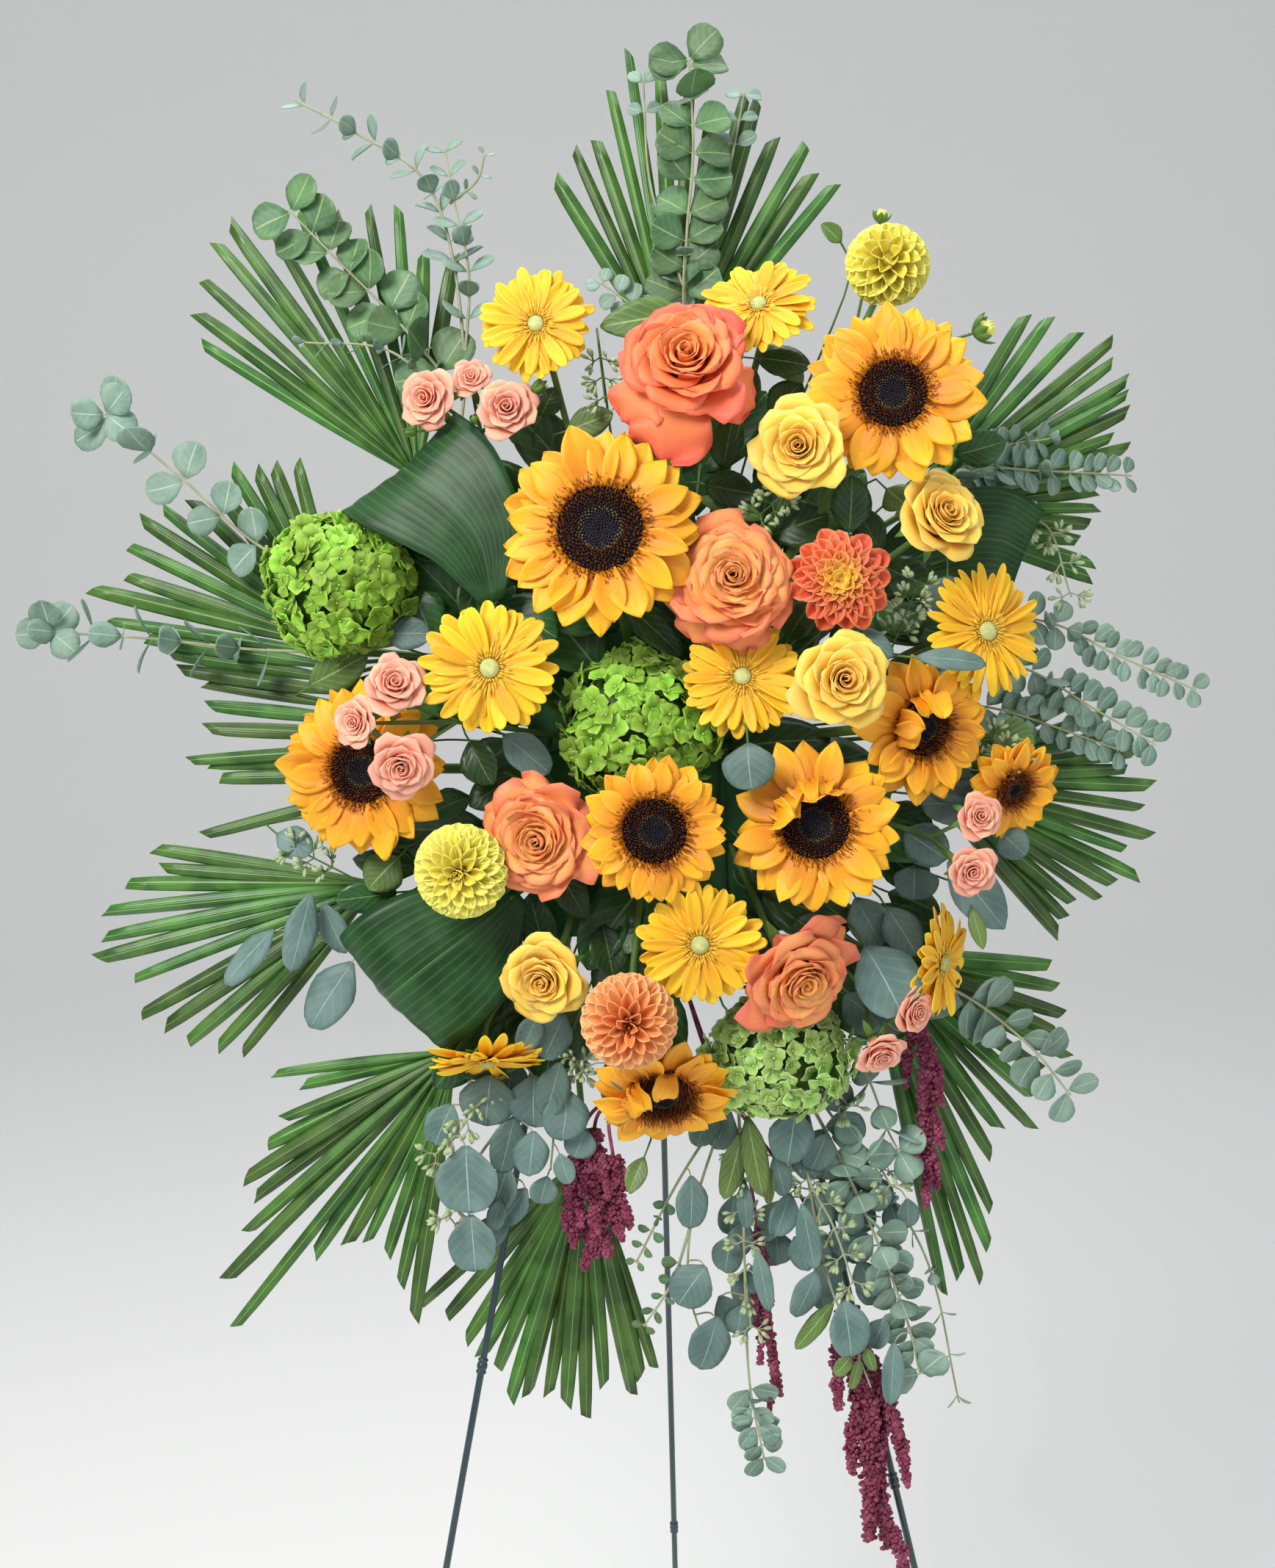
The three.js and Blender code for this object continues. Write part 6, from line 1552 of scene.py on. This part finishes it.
fillers = {
    # leaves: from and to in the photo's pixels, half width, how far out
    "oliveLeaf": {
        "slot": "eucalyptus",
        "tip": 0.75,
        "leaves": [
            (935, 425, 816, 445, 17, 130), (950, 678, 1041, 706, 9, 130), (772, 587, 836, 563, 13, 130),
            (543, 1167, 500, 1211, 18, 110), (421, 934, 500, 891, 17, 110), (1323, 1236, 1339, 1293, 7, 120),
            (1347, 1000, 1410, 1012, 16, 110), (1207, 666, 1235, 690, 14, 140),
            (877, 1576, 857, 1625, 9, 112), (1145, 330, 1118, 305, 8, 110), (640, 880, 600, 930, 12, 100),
            (1040, 470, 1095, 520, 12, 120)],
    },
    "fillerLeaf": {
        "slot": "aspidistra",
        "tip": 0.75,
        "leaves": [
            (1010, 567, 1026, 500, 12, 150), (1030, 488, 1105, 500, 14, 140),
            (1156, 725, 1160, 646, 17, 165), (960, 660, 1030, 672, 16, 130), (1050, 730, 1130, 700, 20, 120),
            (1200, 750, 1165, 690, 14, 120), (843, 816, 930, 895, 14, 150), (678, 820, 760, 870, 22, 130),
            (737, 567, 757, 527, 12, 120), (640, 1010, 670, 1070, 16, 140), (700, 1010, 640, 1060, 18, 120),
            (985, 640, 1000, 560, 16, 130), (820, 1260, 835, 1330, 16, 120), (880, 1240, 850, 1300, 15, 120),
            (1250, 960, 1200, 930, 16, 120), (560, 800, 590, 870, 20, 105),
            (1080, 1250, 1150, 1300, 18, 120), (760, 1180, 800, 1250, 15, 120),
            (705, 1290, 640, 1400, 26, 98), (730, 1330, 700, 1435, 22, 94), (800, 1350, 765, 1440, 20, 98),
            (650, 1400, 590, 1480, 20, 88), (540, 1215, 455, 1225, 14, 98), (575, 1180, 480, 1168, 14, 94),
            (830, 1440, 850, 1530, 17, 92), (900, 1440, 915, 1540, 18, 90), (640, 640, 575, 610, 20, 60),
            (700, 1060, 638, 1098, 16, 112), (640, 1085, 580, 1112, 14, 104),
            (745, 1305, 722, 1215, 16, 100), (650, 832, 702, 796, 15, 120), (1048, 566, 1092, 520, 15, 112),
            (1072, 872, 1106, 818, 14, 150), (1158, 1048, 1212, 1092, 15, 130), (560, 720, 610, 760, 18, 90),
            (1100, 610, 1060, 560, 14, 110), (1200, 1100, 1270, 1150, 20, 88),
            (1195, 1160, 1265, 1205, 20, 86), (1210, 1215, 1280, 1245, 18, 84),
            (1180, 1290, 1250, 1330, 18, 84), (1200, 770, 1270, 800, 18, 100),
            (1205, 850, 1265, 830, 18, 96), (1195, 810, 1255, 870, 18, 92), (700, 758, 688, 832, 16, 108),
            (660, 770, 630, 840, 15, 104), (1290, 1010, 1370, 1040, 17, 96), (1300, 620, 1370, 600, 16, 96),
            (1210, 520, 1265, 460, 15, 96)],
        # how many, between which reaches from the middle, how far out, length, half width
        "rings": [
            dict(count=20, low=50, high=128, out=100, length=84, half=25),
            dict(count=34, low=128, high=205, out=84, length=92, half=24)],
    },
    "silverEucalyptus": {
        "slot": "eucalyptus",
        "tip": 0.5,
        "leaves": [
            (1170, 856, 1215, 895, 9, 190), (1246, 895, 1345, 903, 9, 195), (1290, 785, 1290, 838, 20, 120),
            (377, 1136, 425, 1160, 14, 105), (524, 863, 587, 863, 14, 120), (686, 1001, 749, 1053, 15, 150),
            (1018, 1012, 1023, 1076, 21, 214), (1368, 1099, 1252, 1095, 20, 120),
            (1244, 1180, 1244, 1226, 20, 110), (1165, 1223, 1202, 1289, 17, 124),
            (1206, 1235, 1250, 1302, 16, 132), (1178, 1290, 1227, 1385, 28, 148),
            (1150, 1355, 1200, 1400, 22, 110), (1360, 1132, 1397, 1165, 14, 105),
            (1230, 1130, 1290, 1170, 18, 110), (560, 1110, 480, 1140, 15, 100),
            (1255, 1050, 1330, 1085, 18, 115)],
        # from and to, how far out, how many pairs of clusters
        "seedTwigs": [
            (815, 468, 824, 548, 140, 3), (1080, 662, 1030, 705, 150, 3), (1215, 880, 1252, 792, 150, 4),
            (1400, 1060, 1345, 1000, 120, 3), (470, 1190, 395, 1152, 105, 3)],
    },
}


def leafStalk(start, end):
    source = at(0.35 * max(-200, min(200, start.x)), 0.4 * max(-260, min(260, start.z)), 30)
    foot = footOf(start, source)
    bend = start - (end - start).normalized() * 15 - at(0, 0, 7)
    return (smoothPath([start + (end - start) * 0.03, bend, bend.lerp(foot, 0.5), foot], 13), 0.9, 1.3)


def makeFillers():
    for finish, spec in fillers.items():
        pieces, paths, tip = [], [], spec["tip"]
        for across, down, tipAcross, tipDown, half, out in spec["leaves"]:
            start, end = photoPlace(across, down, out - 6), photoPlace(tipAcross, tipDown, out)
            pieces.append(broadLeaf(start, end, half, finishes[finish], tip))
            paths.append(leafStalk(start, end))
        for ring in spec.get("rings", []):
            for i in range(ring["count"]):
                angle = goldenAngle * i + wobble(0.2)
                reach = ring["low"] + (ring["high"] - ring["low"]) * math.sqrt((i + 0.5) / ring["count"])
                turn = angle + wobble(0.7)
                size = 1 + wobble(0.2)
                length = ring["length"] * size
                start = at(0.95 * reach * math.cos(angle), 1.2 * reach * math.sin(angle) - 10,
                           ring["out"] + wobble(6))
                end = start + at(length * math.cos(turn), length * math.sin(turn), wobble(14))
                pieces.append(broadLeaf(start, end, ring["half"] * size, finishes[finish], tip, 0.6))
                paths.append(leafStalk(start, end))
        for across, down, tipAcross, tipDown, out, pairs in spec.get("seedTwigs", []):
            start, end = photoPlace(across, down, out - 8), photoPlace(tipAcross, tipDown, out)
            paths += [leafStalk(start, end), ([start, end], 0.9, 0.7)]
            along = (end - start).normalized()
            for i in range(2 * pairs):
                side = along.cross(at(0, 0, 1)) * (-1) ** i
                way = (side + along * 0.6 + at(0, 0, 0.4)).normalized()
                more, lines = seedCluster(start.lerp(end, (i // 2 + 0.7) / pairs), way, along)
                pieces += more
                paths += lines
        pieces.append(tubes("leafStalks", paths, finishes["stem"], sides=6))
        finishPiece(f"filler_leaves_{finish}", pieces, spec["slot"])


# Broad leaves that loop over

aspidistra = {
    "grid": (14, 36),
    "thick": 0.9,
    "stalk": 2.6,           # radius
    # a leaf's sections along its midrib: where, half width, which way it runs across
    "leaves": [
        dict(root=(-148, 120, 93), source=(-50, 84, 56), sections=[
            ((-148, 118, 92), 22, (0.82, 0.55, 0.2)), ((-162, 148, 90), 47, (0.75, 0.6, 0.36)),
            ((-179, 184, 92), 56, (0.75, 0.6, 0.36)), ((-196, 214, 102), 60, (0.77, 0.6, 0.24)),
            ((-203, 236, 125), 61, (0.78, 0.62, 0.05)), ((-193, 228, 146), 60, (0.78, 0.62, 0)),
            ((-163, 204, 159), 48, (0.8, 0.6, 0)), ((-136, 168, 163), 34, (0.9, 0.42, 0)),
            ((-127, 118, 160), 7, (0.9, 0.4, 0))]),
        dict(root=(-123, -121, 122), source=(-40, -60, 60), sections=[
            ((-116, -116, 119), 9, (-0.64, 0.77, 0)), ((-148, -142, 132), 42, (-0.64, 0.77, 0)),
            ((-185, -168, 138), 60, (-0.66, 0.75, 0)), ((-212, -188, 132), 66, (-0.66, 0.75, 0)),
            ((-222, -196, 116), 64, (-0.66, 0.75, 0)), ((-208, -186, 102), 52, (-0.66, 0.75, 0)),
            ((-176, -164, 96), 26, (-0.66, 0.75, 0))]),
        dict(root=(180, 130, 91), source=(50, 66, 50), sections=[
            ((174, 127, 89), 9, (-0.4, 0.92, 0)), ((214, 148, 98), 30, (-0.3, 0.95, 0)),
            ((254, 162, 102), 42, (-0.1, 1, 0)), ((290, 162, 100), 44, (0.2, 0.98, 0)),
            ((312, 152, 88), 38, (0.4, 0.9, 0))]),
    ],
}


def loopedShape(sections):
    # a surface along the sections, with its widths evened out and a shallow fold at the midrib
    steps = 61
    shares = np.linspace(0, 1, steps)
    middles = smoothPath([at(*place) for place, _, _ in sections], steps)
    knots = np.linspace(0, 1, len(sections))
    halves = np.interp(shares, knots, [half for _, half, _ in sections])
    halves = np.convolve(np.pad(halves, 3, "edge"), np.ones(7) / 7, "valid")
    ways = np.array([tuple(at(*way).normalized()) for _, _, way in sections])
    sides = np.stack([np.interp(shares, knots, ways[:, k]) for k in range(3)], axis=1)
    tangents = np.gradient(middles, axis=0)
    normals = np.cross(tangents, sides)
    normals /= np.linalg.norm(normals, axis=1)[:, None]

    def pick(table, v):
        return np.stack([np.interp(v, shares, table[:, k]) for k in range(3)], axis=1)

    def shape(u, v):
        half = np.interp(v, shares, halves)
        middle = pick(middles, v) + np.clip(v - 1, 0, 1)[:, None] * pick(tangents, v) * (steps - 1)
        middle = middle + np.clip(v, -1, 0)[:, None] * pick(tangents, v) * (steps - 1)
        sag = half * (0.1 * np.abs(u) - 0.1 + 0.012 * np.cos(6 * math.pi * u))
        return middle + pick(sides, v) * (u * half)[:, None] + pick(normals, v) * sag[:, None]

    return shape


def makeAspidistra(number, spec):
    pieces = [shapedSheet(aspidistra["grid"], loopedShape(spec["sections"]), sprayMatrix,
                          finishes["aspidistra"], thick=aspidistra["thick"])]
    path = stalkPath(at(*spec["root"]), at(*spec["source"]), 10, aspidistra["stalk"])
    pieces.append(tubes("leafStalk", [path], finishes["stem"]))
    finishPiece(f"aspidistra_leaf_{number}", pieces, "aspidistra", f"aspidistra_{number}")


# Hanging amaranthus

amaranthus = {
    "flower": 2.0,          # radius of the tiny flowers
    "crowding": 0.43,       # how many there are, by a tassel's radius and length
    "root": (16, -196, 46),
    "source": (6, -112, 40),
    "sideStrands": 8,
    "strands": [
        dict(stalk=[(16, -192, 45), (4, -250, 44), (-40, -292, 60)],
             tassel=[(-58, -306, 80), (-60, -360, 78), (-62, -424, 68)], radius=11),
        dict(stalk=[(-38, -290, 59), (-50, -294, 68)],
             tassel=[(-66, -308, 76), (-78, -352, 74), (-80, -410, 64)], radius=10),
        dict(stalk=[(-38, -290, 59), (-42, -296, 72)],
             tassel=[(-48, -306, 84), (-44, -350, 80), (-42, -404, 70)], radius=10),
        dict(stalk=[(16, -192, 45), (44, -280, 34), (66, -350, 40)],
             tassel=[(73, -398, 50), (78, -470, 44), (90, -556, 28)], radius=6),
        dict(stalk=[(16, -192, 45), (110, -214, 40), (180, -226, 66)],
             tassel=[(213, -246, 86), (217, -300, 82), (216, -370, 70)], radius=10),
        dict(stalk=[(16, -192, 45), (44, -280, 34), (120, -400, 22)],
             tassel=[(158, -528, 24), (166, -612, 20), (182, -693, 10)], radius=15),
        dict(stalk=[(118, -398, 22), (140, -450, 20)],
             tassel=[(168, -530, 24), (186, -580, 22), (198, -622, 16)], radius=10),
    ],
}


def tassel(walk, radius):
    # tiny flowers crowded round a walk, in lumps, and thinning to a point at its end
    pieces = []
    length = np.linalg.norm(np.diff(walk, axis=0), axis=1).sum()
    count = int(amaranthus["crowding"] * (radius + 0.8) * length)
    for i in range(count):
        share = (i + 0.5) / count
        k = min(len(walk) - 2, int((len(walk) - 1) * share))
        origin = Vector(walk[k]).lerp(Vector(walk[k + 1]), rnd.random())
        along = (Vector(walk[k + 1]) - Vector(walk[k])).normalized()
        side = along.cross(at(0, 0, 1)).normalized()
        angle = goldenAngle * i
        way = side * math.cos(angle) + along.cross(side) * math.sin(angle)
        lumps = 1 + 0.22 * math.sin(0.34 * length * share)
        plump = (0.35 + 0.65 * math.sin(math.pi * (0.2 + 0.76 * share))) * lumps
        spot = sprayMatrix @ frameMatrix(origin + way * radius * plump * (0.78 + wobble(0.3)), way, along)
        size = amaranthus["flower"] * (1 + wobble(0.35))
        pieces.append(placedGrain(blankOf("bead"), (size * 1.3, size, size), spot, finishes["amaranthus"]))
    return pieces


def makeAmaranthus():
    fork = at(*amaranthus["root"])
    pieces, paths = [], [stalkPath(fork, at(*amaranthus["source"]), 6, 3)]
    for strand in amaranthus["strands"]:
        places = [at(*p) for p in strand["stalk"] + strand["tassel"]]
        walk = smoothPath(places, 81)
        bare = len(strand["stalk"]) / (len(places) - 1)
        length = np.linalg.norm(np.diff(walk, axis=0), axis=1).sum() * (1 - bare)
        radius = strand["radius"]
        paths.append((walk[:int(80 * bare) + 6], 1.6, 1.6))
        inner = walk[int(80 * bare):]
        pieces += tassel(inner, 0.72 * radius)
        paths.append((inner, 0.4 * radius, 0.2 * radius))
        for i in range(amaranthus["sideStrands"]):
            # thin side strands that hang down ragged round the main one
            share = (i + 0.3) / amaranthus["sideStrands"]
            start = Vector(inner[int(share * (len(inner) - 1))])
            angle = goldenAngle * i + radius
            aside = at(math.cos(angle), 0, math.sin(angle)) * radius
            hang = length * (0.34 - 0.14 * share) * (1 + wobble(0.25))
            middle = start + aside * 0.7 + at(0, -0.25 * hang, 0)
            places = [start, middle, start + aside + at(wobble(4), -hang, 0)]
            strandWalk = smoothPath(places, 24)
            pieces += tassel(strandWalk, 0.36 * radius)
            paths.append((strandWalk, 0.2 * radius, 0.1 * radius))
    pieces.append(tubes("amaranthusStalks", paths, finishes["amaranthus"]))
    finishPiece("amaranthus_tassels", pieces, "amaranthus", "amaranthus")


# Easel, cage and foam

easel = {
    "wire": 3,              # radius
    "sides": 16,
    "apexUp": 265,
    "frameDrop": 1524,
    "legSlope": 0.208,      # how far a front leg runs out for each unit that it drops
    "legOut": -3.3,
    "barOut": -9.6,
    "topBar": {"up": 205, "half": 35},
    "holderBar": {"up": -180, "half": 110},
    "peg": {"x": 60, "up": -162.2, "reach": 33},
    "eye": 5.85,            # radius of the rear leg's eye, round the top bar
    "rearLean": 15,         # degrees
    # a crimped tube on each leg: how far down it sits, and its two crimps along its length
    "sleeve": {"radius": 4.6, "length": 15, "left": 795, "right": 905, "rear": 1158},
    "crimps": {"shares": (0.28, 0.72), "width": 0.07, "depth": 0.9, "steps": 15},
    "past": 20,             # how far a leg runs on past the floor, which then cuts it flat
    "weld": (4.2, 2.6, 3.6),
    "apexWeld": (5.4, 2.8, 6),
}


def wireSleeve(middle, along):
    # a short tube crimped twice round the wire
    size, crimps = easel["sleeve"], easel["crimps"]
    steps = crimps["steps"]
    points = [middle + along.normalized() * size["length"] * (i / (steps - 1) - 0.5) for i in range(steps)]
    radii = []
    for i in range(steps):
        share = i / (steps - 1)
        crimp = max(math.exp(-((share - c) / crimps["width"]) ** 2) for c in crimps["shares"])
        ends = 1 - 0.5 * (abs(2 * share - 1) ** 12)
        radii.append(size["radius"] * ends - crimps["depth"] * crimp)
    return points, radii, None


def weld(x, up, out, size):
    # a small bead of weld where two wires cross
    matrix = sprayMatrix @ Matrix.Translation(at(x, up, out))
    return placedGrain(blankOf("grain", 2), size, matrix, finishes["enamel"])


def cutAtFloor(piece):
    selectOnly(piece)
    bpy.ops.object.mode_set(mode="EDIT")
    bpy.ops.mesh.select_all(action="SELECT")
    bpy.ops.mesh.bisect(plane_co=(0, 0, 0), plane_no=(0, 0, 1), clear_inner=True, use_fill=True)
    bpy.ops.object.mode_set(mode="OBJECT")
    return piece


def makeEasel():
    wire, legOut, barOut = easel["wire"], easel["legOut"], easel["barOut"]
    slope, apexUp, past = easel["legSlope"], easel["apexUp"], easel["past"]
    paths, pieces = [], []
    for hand, side in ((-1, "left"), (1, "right")):
        drops = ((wire + 0.5) / slope, easel["frameDrop"] + past, easel["sleeve"][side])
        top, low, sleeve = [at(hand * slope * drop, apexUp - drop, legOut) for drop in drops]
        paths.append(([top, top.lerp(low, 0.5), low], wire, wire))
        paths.append(wireSleeve(sleeve, low - top))
    for bar in (easel["topBar"], easel["holderBar"]):
        places = [at(share * bar["half"], bar["up"], barOut) for share in (-1, -0.5, 0, 0.5, 1)]
        paths.append((places, wire, wire))
        cross = slope * (apexUp - bar["up"])
        for hand in (-1, 1):
            pieces.append(weld(hand * cross, bar["up"], (legOut + barOut) / 2, easel["weld"]))
    pieces.append(weld(0, apexUp - 15, legOut, easel["apexWeld"]))
    peg = easel["peg"]
    for hand in (-1, 1):
        x, up = hand * peg["x"], easel["holderBar"]["up"]
        bends = [at(x, up, barOut), at(x, up + 4, barOut + 6), at(x, peg["up"] - 4, barOut + 9),
                 at(x, peg["up"], barOut + 16), at(x, peg["up"], peg["reach"])]
        paths.append((smoothPath(bends, 24), wire, wire))
    pieces.insert(0, cutAtFloor(tubes("wires", paths, finishes["enamel"], sides=easel["sides"])))
    finishPiece("easel_frame", pieces, "enamel", "easel_leg_left", "easel_leg_right", "easel_top_bar",
                "easel_holder_bar")

    # the rear leg swings on the top bar by its rolled eye
    hinge = at(0, easel["topBar"]["up"], barOut)
    lean, rearLean = math.radians(spray["lean"]), math.radians(easel["rearLean"])
    swing = lean + rearLean
    along = at(0, -math.cos(swing), -math.sin(swing))
    aside = at(0, math.sin(swing), -math.cos(swing))
    drop = easel["topBar"]["up"] - apexUp + easel["frameDrop"]
    length = drop * math.cos(lean) / math.cos(rearLean)
    ring = [hinge + (along * math.cos(angle) + aside * math.sin(angle)) * easel["eye"]
            for angle in np.linspace(math.radians(345), math.radians(28), 22)]
    neck = [hinge + along * 9.5 + aside * 1.6, hinge + along * 15 + aside * 0.2, hinge + along * 22]
    run = [hinge + along * (22 + (length + past - 22) * share) for share in (0.25, 0.5, 0.75, 1)]
    points = ring + neck + run
    radii = [2.3 + 0.7 * min(1, max(0, (i - 16) / 8)) for i in range(len(points))]
    rearPaths = [(points, radii, None), wireSleeve(hinge + along * easel["sleeve"]["rear"], along)]
    rear = cutAtFloor(tubes("rearWire", rearPaths, finishes["enamel"], sides=easel["sides"]))
    finishPiece("easel_rear_wire", [rear], "enamel", "easel_rear_leg", body="rear_leg")


cageEdge = {"rounding": 0.0006, "rounds": 2, "smoothBelow": 40}     # metres, steps, degrees


def makeCage():
    # the moulded cage, with its edges rounded
    node = frame["nodes"]["foam_cage"]
    mesh = node.data.copy()
    mesh.transform(node.matrix_world)
    cage = bpy.data.objects.new("moulded_cage", mesh)
    bpy.context.scene.collection.objects.link(cage)
    selectOnly(cage)
    bpy.ops.object.mode_set(mode="EDIT")
    bpy.ops.mesh.select_all(action="SELECT")
    bpy.ops.mesh.remove_doubles(threshold=0.00001)
    bpy.ops.mesh.dissolve_limited(angle_limit=math.radians(1))
    bpy.ops.object.mode_set(mode="OBJECT")
    rounding = cage.modifiers.new("rounding", "BEVEL")
    rounding.width = cageEdge["rounding"]
    rounding.segments = cageEdge["rounds"]
    rounding.limit_method = "ANGLE"
    bpy.ops.object.modifier_apply(modifier="rounding")
    bpy.ops.object.shade_smooth_by_angle(angle=math.radians(cageEdge["smoothBelow"]))
    paint(cage, finishes["cagePlastic"])
    finishPiece("moulded_cage", [cage], "cage_plastic", "foam_cage")


def makeEach(make, specs, label):
    for number, spec in enumerate(specs, 1):
        make(number, spec)
    print(label, "done")


print("building the spray")
makeCamera()
makeLights()
makeBackdrop()
makeEach(makeSunflower, sunflowers["blooms"], "sunflowers")
makeEach(makeGerbera, gerberas["blooms"], "gerberas")
for kind in ("orange", "yellow"):
    for number, spec in enumerate(roses[kind], 1):
        makeRose(kind, number, spec)
print("roses done")
makeEach(makeDahlia, dahlias["blooms"], "dahlias")
makeEach(makeHydrangea, hydrangeas["blooms"], "hydrangeas")
makeEach(makeSprig, sprayRoses["sprigs"], "spray roses")
makeEach(makePalmFan, palmFans["fans"], "palm fans")
for name, spec in eucalyptus["branches"].items():
    makeEucalyptus(name, spec)
print("eucalyptus done")
makeEach(makeAspidistra, aspidistra["leaves"], "aspidistra")
makeAmaranthus()
makeFillers()
print("foliage done")
makeEasel()
makeCage()
paint(frame["nodes"]["floral_foam"], finishes["foam"])
print("easel and holder done")

for blank, _ in blanks.values():
    bpy.data.objects.remove(blank)
